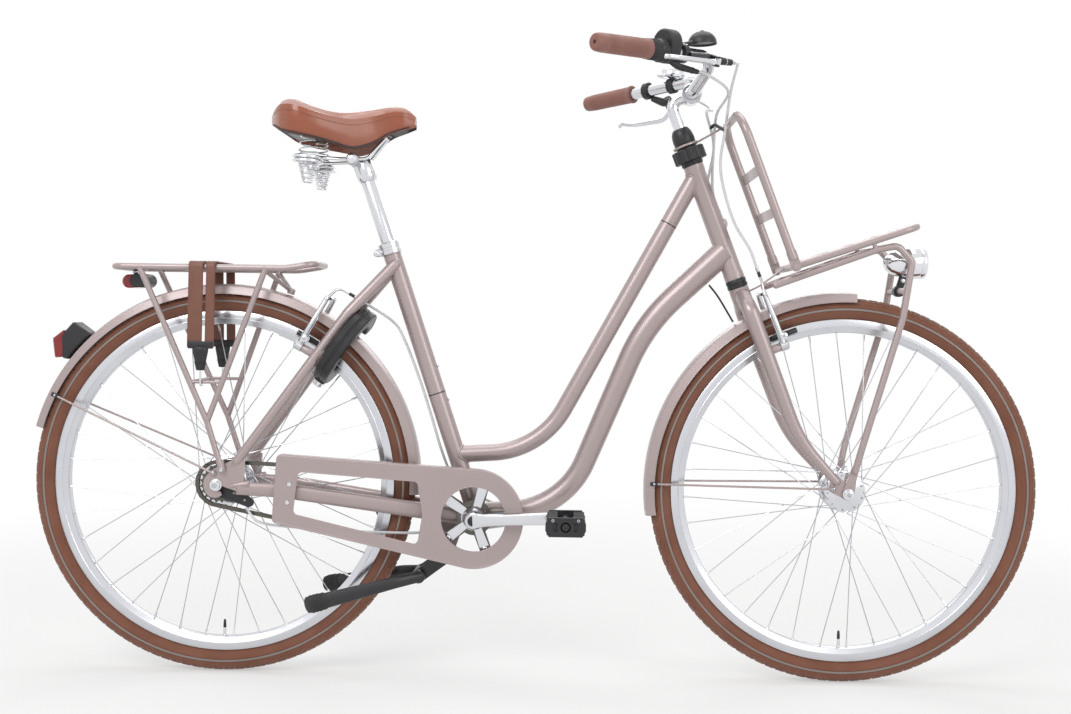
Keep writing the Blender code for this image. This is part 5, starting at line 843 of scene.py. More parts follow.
@dataclass
class Wheel:
    """One wheel, drawn round its axle with the axle along Y."""

    end: str
    place: Matrix
    hub_width: float
    flange_radius: float
    barrel_radius: float
    end_radius: float
    axle_radius: float
    radius: float = WHEEL_RADIUS
    rim_radius: float = 0.317
    tyre_half: float = 0.0235
    rim_half: float = 0.0125
    rim_depth: float = 0.025
    flange_at: float = 0.030
    spokes: int = 36
    crosses: int = 3
    phase: float = math.radians(3.1)
    lugs: int = 110

    def build(self) -> None:
        """Builds the tyre, the rim and the hub with its spokes."""
        body = f"{self.end}_wheel_body"
        self.tyre().done(body, "brown_tyre", f"{self.end}_tyre")
        self.rim().done(body, "aluminium", f"{self.end}_rim")
        self.hub().done(body, "aluminium", f"{self.end}_hub")

    def flank(self, turn: float, lift: float = 0.0) -> Pair:
        """A (radius, side) point of the tyre's outside.

        Args:
            turn: The angle round the tyre's section, 0 at the crown.
            lift: How far it stands off the surface.

        Returns:
            The point.
        """
        middle = self.radius - 0.0205
        return middle + (0.0205 + lift) * math.cos(turn), (self.tyre_half + lift) * math.sin(turn)

    def tyre(self) -> Piece:
        """The casing, its scaled tread, a reflective ring and moulded lines.

        Returns:
            The piece with its shapes.
        """
        depth = 0.0012
        turns = [math.radians(a) for a in range(0, 126, 9)]
        half = [self.flank(t, -depth) for t in turns] + [(self.rim_radius + 0.0008, self.rim_half - 0.0026),
                                                         (self.rim_radius - 0.006, self.rim_half - 0.0026)]
        section = [(r, -y) for r, y in half[:0:-1]] + half
        inner = [(self.rim_radius - 0.006, 0.0065), (self.radius - 0.019, 0.0185), (self.radius - 0.0055, 0)]
        section += inner + [(r, -y) for r, y in inner[-2::-1]]
        piece = Piece(f"{self.end}_tyre_casing", self.place)
        piece.add(turned(section, ACROSS, 160, closed=True), TYRE_RUBBER)
        for side in (-1, 1):
            piece.around(self.scale(side, 31, 0.0105), TYRE_RUBBER, self.lugs, ACROSS)
            piece.around(self.scale(side, 52, 0.0095), TYRE_RUBBER, self.lugs,
                         ACROSS @ Matrix.Rotation(math.pi / self.lugs, 4, "Z"))
            piece.around(self.centre_block(side), TYRE_RUBBER, self.lugs, ACROSS)
            piece.add(self.band(side, 86, 96, 0.0, depth), REFLECTIVE)
            for low, high in ((82.5, 84), (98, 99.5)):
                piece.add(self.band(side, low, high, 0.0003, depth), TYRE_RUBBER)
        return piece

    def band(self, side: int, low: float, high: float, lift: float, depth: float) -> bmesh.types.BMesh:
        """A thin raised ring on a flank, between two angles of the section.

        Args:
            side: 1 for the left flank, -1 for the right.
            low: The angle where it begins, in degrees.
            high: The angle where it ends, in degrees.
            lift: How far it stands out of the flank.
            depth: How far it is set into the flank.

        Returns:
            The shape, ready to be added to a piece.
        """
        turns = [math.radians(low + (high - low) * i / 3) for i in range(4)]
        outside = [self.flank(t, lift - depth + 0.0003) for t in turns]
        inside = [self.flank(t, -depth - 0.0006) for t in turns[::-1]]
        return turned([(r, side * y) for r, y in outside + inside], ACROSS, 160, closed=True)

    def scale(self, side: int, angle: float, length: float) -> bmesh.types.BMesh:
        """One scale of the tread: a block with a rounded lower end.

        Args:
            side: 1 for the left flank, -1 for the right.
            angle: Where its middle lies, in degrees.
            length: How long it is along the section.

        Returns:
            The shape, ready to be added to a piece.
        """
        step = math.tau / self.lugs
        outline = [(-0.44, -0.5), (0.44, -0.5), (0.44, 0.15), (0.28, 0.4), (0.0, 0.5), (-0.28, 0.4),
                   (-0.44, 0.15)]
        span = math.degrees(length / self.tyre_half)
        work = bmesh.new()
        for lift in (-0.0016, -0.0002):
            shrink = 1.0 if lift < -0.001 else 0.86
            spots = []
            for across_share, along_share in outline:
                turn = math.radians(angle + along_share * span * shrink)
                radius, y = self.flank(turn, lift)
                spin = across_share * step * shrink
                spots.append(work.verts.new((radius * math.cos(spin), radius * math.sin(spin), side * y)))
            work.faces.new(spots)
        work.faces.ensure_lookup_table()
        bmesh.ops.bridge_loops(work, edges=[*work.faces[0].edges, *work.faces[1].edges])
        bmesh.ops.recalc_face_normals(work, faces=work.faces)
        return work

    def centre_block(self, side: int) -> bmesh.types.BMesh:
        """One slanted block beside the crown's middle groove.

        Args:
            side: 1 for the left of the groove, -1 for the right.

        Returns:
            The shape, ready to be added to a piece.
        """
        step = math.tau / self.lugs
        corners = [(-0.42, 3.5), (0.30, 3.5), (0.42, 15), (-0.30, 15)]
        work = bmesh.new()
        for lift, shrink in ((-0.0016, 0.0), (-0.0001, 0.05)):
            spots = []
            for spin_share, angle in corners:
                radius, y = self.flank(math.radians(angle + (9 - angle) * shrink), lift)
                spin = spin_share * step * (1 - 2 * shrink)
                spots.append(work.verts.new((radius * math.cos(spin), radius * math.sin(spin), side * y)))
            work.faces.new(spots)
        work.faces.ensure_lookup_table()
        bmesh.ops.bridge_loops(work, edges=[*work.faces[0].edges, *work.faces[1].edges])
        bmesh.ops.recalc_face_normals(work, faces=work.faces)
        return work

    def rim(self) -> Piece:
        """A deep box rim with hooked edges, brake tracks, nipples' seats and the valve.

        Returns:
            The piece with its shapes.
        """
        half, top, low = self.rim_half, self.rim_radius, self.rim_radius - self.rim_depth
        side = [(top, half - 0.0021), (top, half - 0.0004), (top - 0.0006, half), (top - 0.0128, half),
                (top - 0.0134, half - 0.0005), (top - 0.0140, half - 0.0002), (low + 0.006, half - 0.0024),
                (low + 0.0016, half - 0.0042), (low, half - 0.0070)]
        bed = [(top - 0.009, 0), (top - 0.0075, half - 0.0045), (top - 0.004, half - 0.0021)]
        section = bed + side + [(r, -y) for r, y in side[::-1]] + [(r, -y) for r, y in bed[:0:-1]]
        piece = Piece(f"{self.end}_rim_section", self.place)
        piece.add(turned(section, ACROSS, 180, closed=True), RIM_ALLOY)
        valve = Matrix.Rotation(math.pi, 4, "Y") @ shift(z=low)
        piece.add(rod((0, 0, 0), (0, 0, -0.0019), 0.0042, 20, edge=0.0005), CHROME, valve)
        piece.add(rod((0, 0, 0), (0, 0, -0.0150), 0.0029, 20), CHROME, valve)
        for i in range(5):
            piece.add(ring(0.0031, 0.0020, -0.0040 - 0.002 * i, -0.0030 - 0.002 * i, valve, 0.0003, 20),
                      CHROME)
        cap = [(0, -0.0305), (0.0014, -0.0303), (0.0022, -0.0285), (0.0028, -0.0210), (0.0028, -0.0140),
               (0, -0.0140)]
        piece.add(turned(cap, valve, 24), BLACK_PLASTIC)
        piece.add(block((0.006, 0.0006, 0.034), Matrix.Rotation(0.4, 4, "Y") @ shift(z=low - 0.0002)
                        @ Matrix.Rotation(math.pi / 2, 4, "Y"), 0.0001), RIM_ALLOY)
        return piece

    def hub(self) -> Piece:
        """The hub's shell with its dust caps, and laced spokes with their nipples.

        Returns:
            The piece with its shapes.
        """
        half, flange = self.hub_width / 2, self.flange_radius
        inner, outer = self.flange_at - 0.0025, self.flange_at + 0.0025
        bore = self.axle_radius + 0.0003
        right = [(bore, half), (self.end_radius * 0.7, half), (self.end_radius * 0.74, half - 0.0012),
                 (self.end_radius - 0.0008, half - 0.0012), (self.end_radius, half - 0.002),
                 (self.end_radius, outer + 0.0012), (self.end_radius + 0.0014, outer + 0.0003),
                 (flange - 0.0012, outer - 0.0003), (flange, outer - 0.0012), (flange, inner + 0.0012),
                 (flange - 0.0012, inner), (self.barrel_radius + 0.0022, inner - 0.0015),
                 (self.barrel_radius, inner - 0.006)]
        section = right + [(self.barrel_radius - 0.0008, 0.004), (self.barrel_radius - 0.0008, -0.004)]
        section += [(r, -y) for r, y in right[::-1]]
        piece = Piece(f"{self.end}_hub_and_spokes", self.place)
        piece.add(turned(section, ACROSS, 96, closed=True), POLISHED)
        for y in (-half + 0.0016, half - 0.0016):
            piece.add(ring(self.end_radius * 0.72, bore, y - 0.001, y + 0.001, ACROSS, 0.0002), BLACK_RUBBER)
        root_radius = flange - 0.004
        tip_radius = self.rim_radius - self.rim_depth - 0.0003
        lay = self.crosses * math.tau / (self.spokes / 2)
        for i in range(self.spokes):
            side = 1 if i % 2 else -1
            trailing = 1 if (i // 2) % 2 else -1
            angle = self.phase + math.tau * i / self.spokes
            hub_angle = angle + trailing * lay
            root = Vector((root_radius * math.cos(hub_angle), side * (self.flange_at + trailing * 0.0024),
                           root_radius * math.sin(hub_angle)))
            tip = Vector((tip_radius * math.cos(angle), side * (0.0025 + trailing * 0.0015),
                          tip_radius * math.sin(angle)))
            onward = (tip - root).normalized()
            head = Vector((root.x, side * (self.flange_at - trailing * 0.0030), root.z))
            piece.add(tube(bend([head, (*root, 0.0014), root + onward * 0.02], 0.5), 0.001, 8), STAINLESS)
            piece.add(rod(root + onward * 0.019, tip - onward * 0.010, 0.0009, 8), STAINLESS)
            piece.add(rod(tip - onward * 0.0125, tip - onward * 0.0008, 0.0017, 8, 0.0021), CHROME)
            piece.add(rod(head, head - Vector((0, side * trailing * 0.0007, 0)), 0.0019, 10), STAINLESS)
        return piece


@dataclass
class Axle:
    """A threaded axle with its nuts, washers and an optional spacer."""

    end: str
    place: Matrix
    radius: float
    face: float
    tip: float
    spacer: Pair | None = None

    def build(self) -> None:
        """Builds the axle for the body that carries it."""
        piece = Piece(f"{self.end}_axle_and_nuts", self.place)
        piece.add(across((0, 0, 0), self.tip, self.radius - 0.0004, 24, edge=0.0006), STAINLESS)
        low = self.face + 0.0003
        for sign in SIDES.values():
            place = aimed((0, sign * low, 0), (0, sign, 0))
            piece.add(nut(place, self.radius * 2, 0.009), CHROME)
            for i in range(4):
                level = 0.0098 + i * 0.0009
                if low + level < self.tip:
                    piece.add(ring(self.radius, self.radius - 0.0007, level - 0.0003, level + 0.0002, place,
                                   0.0002, 24), STAINLESS)
        if self.spacer:
            low, high = self.spacer
            piece.add(ring(0.0110, self.radius, low, high, ACROSS, 0.0008), POLISHED)
            piece.add(ring(0.0092, self.radius, (low + high) / 2 - 0.002, (low + high) / 2 + 0.002, ACROSS),
                      BLACK_RUBBER)
        body = "frame_body" if self.end == "rear" else "steering_body"
        piece.done(body, "aluminium", f"{self.end}_axle")


# Frame


def head_point(height: float) -> Vector:
    """A point of the steering axis, that far above its foot."""
    return STEERING_FOOT + HEAD_UP * height


def seat_point(height: float) -> Vector:
    """A point of the seat tube's axis, that far above the bottom bracket."""
    return BRACKET + SEAT_UP * height


def boss_place(end: str) -> Matrix:
    """The place of a brake's bosses: X away from the frame, Z away from the hub.

    Args:
        end: Which wheel the brake is for.

    Returns:
        The place.
    """
    if end == "front":
        return shift(0.036, 0, 0.2925 * math.cos(math.asin((FORK_RAKE - 0.036) / 0.2925)))
    turn = math.radians(60.5)
    radial = Vector((math.cos(turn), 0, math.sin(turn)))
    return axes(REAR_AXLE + radial * 0.2925, Vector((-radial.z, 0, radial.x)), radial)


@dataclass
class FrameSet:
    """The welded frame, with its bearings, its seat collar and its cable guides."""

    head_low: float = 0.4353
    head_high: float = 0.6593
    head_radius: float = 0.0185
    seat_length: float = 0.5265
    seat_radius: float = 0.0165
    bracket_half: float = 0.034
    bracket_radius: float = 0.021
    dropout_half: float = 0.066
    dropout_thickness: float = 0.005
    boss_reach: float = 0.037

    def top_path(self) -> list[Vector]:
        """The top tube's middle line."""
        return bend([seat_point(0.117), (0.5882, 0, 0.4218, 0.16), head_point(self.head_high - 0.018)], 0.05)

    def down_path(self) -> list[Vector]:
        """The down tube's middle line.

        Returns:
            The points in order.
        """
        corners = [BRACKET, (0.6342, 0, 0.3155, 0.155), (0.7775, 0, 0.6584, 0.35),
                   head_point(self.head_low + 0.056)]
        return bend(corners, 0.05)

    def chain_stay(self, sign: int) -> list[Vector]:
        """A chain stay's middle line.

        Args:
            sign: 1 for the left side, -1 for the right.

        Returns:
            The points in order.
        """
        wide = self.dropout_half + 0.002
        return bend([(0.462, sign * 0.020, 0.297), (0.1156, sign * 0.0560, 0.3459, 0.15),
                     (0.036, sign * wide, 0.350)], 0.04)

    def seat_stay(self, sign: int) -> list[Vector]:
        """A seat stay's middle line.

        Args:
            sign: 1 for the left side, -1 for the right.

        Returns:
            The points in order.
        """
        top = seat_point(self.seat_length - 0.040)
        return bend([(0.036, sign * (self.dropout_half + 0.001), 0.398), (0.236, sign * 0.0425, 0.675, 0.05),
                     (top.x, sign * 0.011, top.z)], 0.05)

    def build(self) -> None:
        """Builds the frame and the small pieces that are pressed and clamped into it."""
        self.frame().done("frame_body", "sand_paint", "frame")
        self.lower_cup().done("frame_body", "black_plastic", "headset_lower_cup")
        self.bottom_bracket().done("frame_body", "black_steel", "bottom_bracket")
        self.seat_clamp().done("frame_body", "aluminium", "seat_clamp")
        self.cassette().done("frame_body", "black_plastic", "cassette_joint")

    def frame(self) -> Piece:
        """All welded tubes, with a bead at each joint.

        Returns:
            The piece with its shapes.
        """
        piece = Piece("welded_frame")
        place = aimed(head_point(self.head_low), HEAD_UP)
        length = self.head_high - self.head_low
        head = turned([(0.016, 0), (self.head_radius, 0.0006), (self.head_radius, 0.012),
                       (self.head_radius - 0.0006, 0.014),
                       (self.head_radius - 0.0006, length - 0.014), (self.head_radius, length - 0.012),
                       (self.head_radius, length - 0.0006), (0.016, length), (0.016, 0)], place, 64)
        seat_top = seat_point(self.seat_length)
        seat = tube([seat_point(0), seat_top - SEAT_UP * 0.001], self.seat_radius, 48)
        shell = turned([(0.0175, -self.bracket_half), (self.bracket_radius, -self.bracket_half + 0.0007),
                        (self.bracket_radius, self.bracket_half - 0.0007), (0.0175, self.bracket_half)],
                       Matrix.Translation(BRACKET) @ ACROSS, 64)
        down_path, top_path = self.down_path(), self.top_path()
        down = tube(down_path, [(0, 0.020), (0.45, 0.020), (1, 0.0235)], 48)
        top = tube(top_path, 0.0159, 40)
        beads = [
            weld_bead(head, down_path[-2], down_path[-1] - down_path[-2], 0.0233, 0.0026),
            weld_bead(head, top_path[-2], top_path[-1] - top_path[-2], 0.0159, 0.0024),
            weld_bead(seat, top_path[3], top_path[0] - top_path[3], 0.0159, 0.0024),
            weld_bead(shell, seat_point(0.08), -SEAT_UP, self.seat_radius, 0.0024),
            weld_bead(shell, down_path[2], down_path[0] - down_path[2], 0.020, 0.0026),
        ]
        for sign in SIDES.values():
            stops = [(0, 0.016), (0.5, 0.016), (1, 0.0115)]
            piece.add(tube(self.chain_stay(sign), stops, 36, 0.5), PAINT)
            stay = self.seat_stay(sign)
            beads.append(weld_bead(seat, stay[-2], stay[-1] - stay[-2], 0.0108, 0.0018))
            piece.add(tube(stay, [(0, 0.0085), (1, 0.011)], 28), PAINT)
            piece.add(ball(0.011, Matrix.Translation(stay[-1])), PAINT)
            self.dropout(piece, sign)
            self.boss(piece, sign)
        self.bridges(piece)
        self.guides(piece)
        for bead in beads:
            piece.add(bead, PAINT)
        back = (top_path[-2] - top_path[-1]).normalized()
        for place, radius in ((aimed(top_path[-1] + back * 0.105, back), 0.0159),
                              (aimed(seat_point(0.236), SEAT_UP), self.seat_radius)):
            piece.add(ring(radius + 0.00015, radius - 0.0008, -0.0011, 0.0011, place, 0.0001, 64), DARK_LINE)
        for shape in (head, seat, shell, down, top):
            piece.add(shape, PAINT)
        return piece

    def dropout(self, piece: Piece, sign: int) -> None:
        """Adds a dropout plate with its eyes and the caps that join it to the stays.

        Args:
            piece: The piece that takes the shapes.
            sign: 1 for the left side, -1 for the right.
        """
        rim = [(0.0527, 0.0445), (0.043, 0.0462), (0.034, 0.046), (0.022, 0.0424), (0.0117, 0.0370),
               (0.003, 0.0336),
               (-0.0043, 0.0295), (-0.0102, 0.0252), (-0.0150, 0.0200), (-0.0194, 0.0146), (-0.0225, 0.0086),
               (-0.0232, 0.0012), (-0.0225, -0.0060), (-0.0194, -0.0132), (-0.0150, -0.0190),
               (-0.0086, -0.0228),
               (-0.0016, -0.0239), (0.0052, -0.0222), (0.0111, -0.0182)]
        axle = 0.0053
        slot = [(0.0080, -0.0115), (0.0010, -axle - 0.0055), (-0.0052, -axle + 0.0005), (-axle, 0.0),
                (-0.0040, 0.0042),
                (0.0, axle), (0.0042, 0.0046), (0.0130, -0.0030)]
        outline = [(x, z + WHEEL_RADIUS) for x, z in rim + slot + [(0.0422, -0.0122), (0.0500, -0.0060)]]
        middle = sign * (self.dropout_half + self.dropout_thickness / 2)
        piece.add(side_plate(outline, self.dropout_thickness, middle, edge=0.0007), PAINT)
        for start, end, radius in (((0.060, 0.359), (0.022, 0.3535), 0.0066),
                                   ((0.050, 0.416), (0.030, 0.390), 0.0068)):
            first = Vector((start[0], sign * (self.dropout_half + 0.0012), start[1]))
            last = Vector((end[0], sign * (self.dropout_half + 0.0024), end[1]))
            piece.add(rod(first, last, radius, 24, radius * 0.62, 0.0012), PAINT)
        for x, z in ((-0.0043, 0.0217), (0.0117, 0.0292)):
            here = Vector((x, sign * (self.dropout_half - 0.0012), z + WHEEL_RADIUS))
            piece.add(nut(aimed(here, (0, -sign, 0)), 0.0040, 0.0030), STAINLESS)

    def boss(self, piece: Piece, sign: int) -> None:
        """Adds a brake boss: its stub, and the steel pin that the arm turns on.

        Args:
            piece: The piece that takes the shapes.
            sign: 1 for the left side, -1 for the right.
        """
        place = boss_place("rear")
        root = place @ Vector((-self.boss_reach, sign * 0.044, 0))
        back = place @ Vector((-0.0073, sign * 0.044, 0))
        tip = place @ Vector((0.009, sign * 0.044, 0))
        piece.add(rod(root, back, 0.0075, 28, edge=0.0006), PAINT)
        piece.add(rod(root, tip, 0.0039, 24, edge=0.0005), STAINLESS)

    def bridges(self, piece: Piece) -> None:
        """Adds the stay bridges, the stand's bracket and the guard's lug.

        Args:
            piece: The piece that takes the shapes.
        """
        low = Vector((BRACKET.x - 0.092, 0, 0.3085))
        piece.add(across(low, 0.031, 0.006, 24), PAINT)
        piece.add(across(REAR_AXLE + Vector((0.245, 0, 0.3315)), 0.041, 0.006, 24), PAINT)
        lug = hull((0.415, 0.222, 0.011), (low.x + 0.001, low.z, 0.0048), (0.447, 0.300, 0.006))
        for y in (-0.0115, 0.0115):
            piece.add(side_plate(lug, 0.005, y, [circle(0.415, 0.222, 0.0056)], 0.0008), PAINT)
        core = hull((0.4075, 0.246, 0.004), (low.x + 0.006, low.z, 0.003), (0.447, 0.298, 0.004))
        piece.add(side_plate(core, 0.019, 0), PAINT)
        bolts = ((0.1336, 0.359), (0.1302, 0.326))
        guard = hull(*((x, z, 0.008) for x, z in bolts))
        piece.add(side_plate(guard, 0.0020, -0.0666), PAINT)
        for x, z in bolts:
            piece.add(rod((x, -0.055, z), (x, -0.0672, z), 0.0055, 24), PAINT)

    def guides(self, piece: Piece) -> None:
        """Adds the tabs that hold the cables beside the down tube, and two threaded eyes.

        Args:
            piece: The piece that takes the shapes.
        """
        path = self.down_path()
        for share in (0.30, 0.52, 0.74):
            index = int(share * (len(path) - 1))
            along = path[index + 1] - path[index]
            place = axes(path[index] + Vector((0, 0.0218, 0)), along, (0, 1, 0))
            piece.add(block((0.010, 0.007, 0.0022), place, 0.0006), PAINT)
        for height in (0.22, 0.285):
            here = seat_point(height) + Vector((math.cos(SEAT_LEAN), 0,
                                                math.sin(SEAT_LEAN))) * self.seat_radius
            piece.add(socket_bolt(aimed(here, (math.cos(SEAT_LEAN), 0, math.sin(SEAT_LEAN))), 0.0040, 0.0022),
                      STAINLESS)

    def lower_cup(self) -> Piece:
        """The lower headset ring, in two turned steps with a rubber seal.

        Returns:
            The piece with its shapes.
        """
        piece = Piece("lower_headset_ring")
        place = aimed(head_point(self.head_low), HEAD_UP)
        profile = [(0.0150, -0.0003), (0.0186, -0.0004), (0.0190, -0.0010), (0.0190, -0.0070),
                   (0.0182, -0.0076),
                   (0.0182, -0.0092), (0.0190, -0.0098), (0.0190, -0.0158), (0.0184, -0.0166),
                   (0.0150, -0.0167)]
        piece.add(turned(profile, place, 72, closed=True), BLACK_PLASTIC)
        return piece

    def bottom_bracket(self) -> Piece:
        """The cartridge's two lips with their tool notches.

        Returns:
            The piece with its shapes.
        """
        piece = Piece("bracket_cartridge")
        place = Matrix.Translation(BRACKET) @ ACROSS
        for sign in SIDES.values():
            low, high = sorted((sign * 0.0343, sign * 0.0373))
            piece.add(ring(0.0199, 0.0091, low, high, place, 0.0006, 64), BLACK_STEEL)
            piece.add(ring(0.0130, 0.0091, low - 0.0001, high + 0.0001, place, 0.0004), BLACK_RUBBER)
            notch = block((0.0035, 0.0030, 0.0008), shift(0.0166, 0, sign * 0.0370), 0.0002)
            piece.around(notch, CHAIN_STEEL, 8, place)
        return piece

    def seat_clamp(self) -> Piece:
        """The collar round the seat tube's top, with two ears and a pinch bolt behind.

        Returns:
            The piece with its shapes.
        """
        piece = Piece("seat_collar")
        place = axes(seat_point(self.seat_length), (0, 1, 0), SEAT_UP)
        outside, inside, throat = 0.0206, 0.0168, 0.0139
        profile = [(throat, 0.0030), (outside - 0.0012, 0.0030), (outside, 0.0018), (outside, -0.0060),
                   (outside - 0.0007, -0.0066), (outside - 0.0007, -0.0110), (outside, -0.0116),
                   (outside, -0.0182),
                   (outside - 0.0008, -0.0190), (inside, -0.0190), (inside, 0.0003), (throat, 0.0003)]
        piece.add(turned(profile, place, 72, closed=True), POLISHED)
        behind = self.seat_radius + 0.009
        for side in (-1, 1):
            ear = plate(hull((0, 0, 0.0062), (0, -0.007, 0.0070)), 0.0078,
                        place @ shift(side * 0.0061, behind, -0.010)
                        @ ALONG_X, edge=0.0008)
            piece.add(ear, POLISHED)
        piece.add(rod(place @ Vector((-0.0145, behind, -0.010)), place @ Vector((0.0145, behind, -0.010)),
                      0.0025, 16),
                  STAINLESS)
        for side in (-1, 1):
            face = place @ Vector((side * 0.0100, behind, -0.010))
            outward = place.to_3x3() @ Vector((side, 0, 0))
            piece.add(socket_bolt(aimed(face, outward), 0.0040, 0.0048), CHROME)
        return piece

    def cassette(self) -> Piece:
        """The gear hub's cable box beside the dropout, with its clip and lid screws.

        Returns:
            The piece with its shapes.
        """
        piece = Piece("gear_hub_cable_box")
        middle = -(0.0535 + 0.0590) / 2
        cover = hull((0, 0.356, 0.022), (0.058, 0.323, 0.008))
        piece.add(side_plate(cover, 0.0055, middle, [circle(0, 0.356, 0.0053)], 0.0010), BLACK_PLASTIC)
        raised = hull((0, 0.356, 0.017), (0.040, 0.3330, 0.006))
        piece.add(side_plate(raised, 0.0012, -0.0591, [circle(0, 0.356, 0.0060)], 0.0004), BLACK_PLASTIC)
        piece.add(ring(0.0110, 0.0053, -0.0657, -0.0580, Matrix.Translation(REAR_AXLE) @ ACROSS),
                  BLACK_PLASTIC)
        for x, z in ((0.050, 0.3275), (0.030, 0.3400)):
            piece.add(socket_bolt(aimed((x, -0.0590, z), (0, -1, 0)), 0.0021, 0.0012), STAINLESS)
        return piece


# Mudguards


def polar(radius: float, angle: float, y: float = 0.0) -> Vector:
    """A point around a wheel's middle, at an angle in degrees from the front."""
    turn = math.radians(angle)
    return Vector((radius * math.cos(turn), y, radius * math.sin(turn)))


@dataclass
class Mudguard:
    """A rolled guard with wire stays, drawn round its wheel's axle."""

    end: str
    place: Matrix
    start: float
    finish: float
    eye: Pair
    face: float
    stay_angle: float
    radius: float = 0.367
    half: float = 0.0275
    depth: float = 0.019
    wall: float = 0.0015

    def section(self) -> list[Pair]:
        """The guard's thin section with rolled edges, as (radius, side) points.

        Returns:
            The outline's corners in order.
        """
        outer, inner = [], []
        for i in range(13):
            share = -1 + i / 6
            drop = self.depth * (0.35 * abs(share) ** 2.2 + 0.65 * max(0, abs(share) - 0.88) / 0.12)
            side = self.half * (min(abs(share) / 0.88, 1) * 0.90 + 0.10 * max(0, abs(share) - 0.88) / 0.12)
            side = math.copysign(side, share)
            outer.append((self.radius - drop, side))
            lean = min(1, abs(share) / 0.9)
            inner.append((self.radius - drop - self.wall * (1 - 0.7 * lean**3),
                          side - math.copysign(self.wall * lean**3, share)))
        return outer + inner[::-1]

    def build(self) -> None:
        """Builds the shell, its edge beads, its stays and its brackets."""
        piece = Piece(f"{self.end}_guard", self.place)
        turn = SIDEWAYS @ Matrix.Rotation(math.radians(self.start), 4, "Z")
        span = math.radians(self.finish - self.start)
        steps = round((self.finish - self.start) / 1.2)
        piece.add(turned(self.section(), turn, steps, closed=True, sweep=span), PAINT)
        rim_radius = self.radius - self.depth
        turns = [self.start + (self.finish - self.start) * i / steps for i in range(steps + 1)]
        for sign in SIDES.values():
            edge = [polar(rim_radius + 0.0006, a, sign * (self.half - 0.0009)) for a in turns]
            piece.add(tube(edge, 0.0010, 8), PAINT)
            self.stay(piece, sign)
        for angle in (self.stay_angle - 1.2, self.stay_angle + 1.2):
            strap = [polar(self.radius - 0.0022 - self.depth * 0.35 * (i / 5) ** 2, angle,
                           self.half * 0.9 * i / 5)
                     for i in range(-5, 6)]
            piece.add(tube([p - p.normalized() * 0.0004 for p in strap], 0.0010, 8), STAINLESS)
        tail = self.finish - 0.9
        for sign in (-0.45, 0.45):
            here = polar(self.radius - 0.0016, tail, sign * self.half)
            piece.add(socket_bolt(aimed(here, polar(1, tail)), 0.0024, 0.0011), CHROME)
        self.seats(piece)
        piece.done("frame_body" if self.end == "rear" else "steering_body", "sand_paint",
                   f"{self.end}_mudguard")

    def stay(self, piece: Piece, sign: int) -> None:
        """Adds a wire stay with its eye, its bolt and the clamp on the guard's lip.

        Args:
            piece: The piece that takes the shapes.
            sign: 1 for the left side, -1 for the right.
        """
        eye_x, eye_z = self.eye
        inner = self.face + 0.0003
        start = Vector((eye_x, sign * (inner + 0.0035), eye_z))
        lip = polar(self.radius - 0.012, self.stay_angle, sign * (self.half - 0.0006))
        piece.add(tube([start, start.lerp(lip, 0.5), lip], 0.0020, 16), PAINT)
        outward = aimed((eye_x, 0, eye_z), (0, sign, 0))
        piece.add(ring(0.0055, 0.0024, inner, inner + 0.0030, outward, 0.0007, 32), PAINT)
        piece.add(socket_bolt(aimed((eye_x, sign * (inner + 0.0030), eye_z), (0, sign, 0)), 0.0040, 0.0034),
                  STAINLESS)
        along = (lip - start).normalized()
        clamp = axes(lip - along * 0.006, along, (0, sign, 0))
        piece.add(block((0.014, 0.0075, 0.0042), clamp, 0.0012), BLACK_PLASTIC)
        piece.add(socket_bolt(clamp @ shift(z=0.0020), 0.0022, 0.0010), STAINLESS)

    def seats(self, piece: Piece) -> None:
        """Adds the spacers and straps that hold the guard to the frame or the crown.

        Args:
            piece: The piece that takes the shapes.
        """
        if self.end == "front":
            low = math.sqrt(self.radius**2 - FORK_RAKE**2) - 0.003
            inner = FRONT_WHEEL.inverted()
            piece.add(rod(inner @ Vector((0, 0, low)), inner @ Vector((0, 0, 0.3780)), 0.0080, 32), PAINT)
            plate_mid = inner @ Vector((0, 0, low + 0.0042))
            piece.add(rod(plate_mid, inner @ Vector((0, 0, low + 0.0060)), 0.0098, 32, edge=0.0005), PAINT)
            return
        bridge = Vector((0.245, 0, 0.3315))
        outward = bridge.normalized()
        piece.add(rod(outward * (self.radius - 0.003), bridge - outward * 0.0063, 0.0080, 32, edge=0.0005),
                  PAINT)
        points = [(self.radius - 0.002, 0.008), (self.radius - 0.0005, -0.010), (0.3685, -0.020),
                  (0.3755, -0.0408)]
        curve = [(p.x, p.z) for p in curved([(x, 0, z) for x, z in points], 6)]
        piece.add(side_plate(ribbon(curve, 0.0019), 0.016, 0, edge=0.0004), PAINT)


# Drive


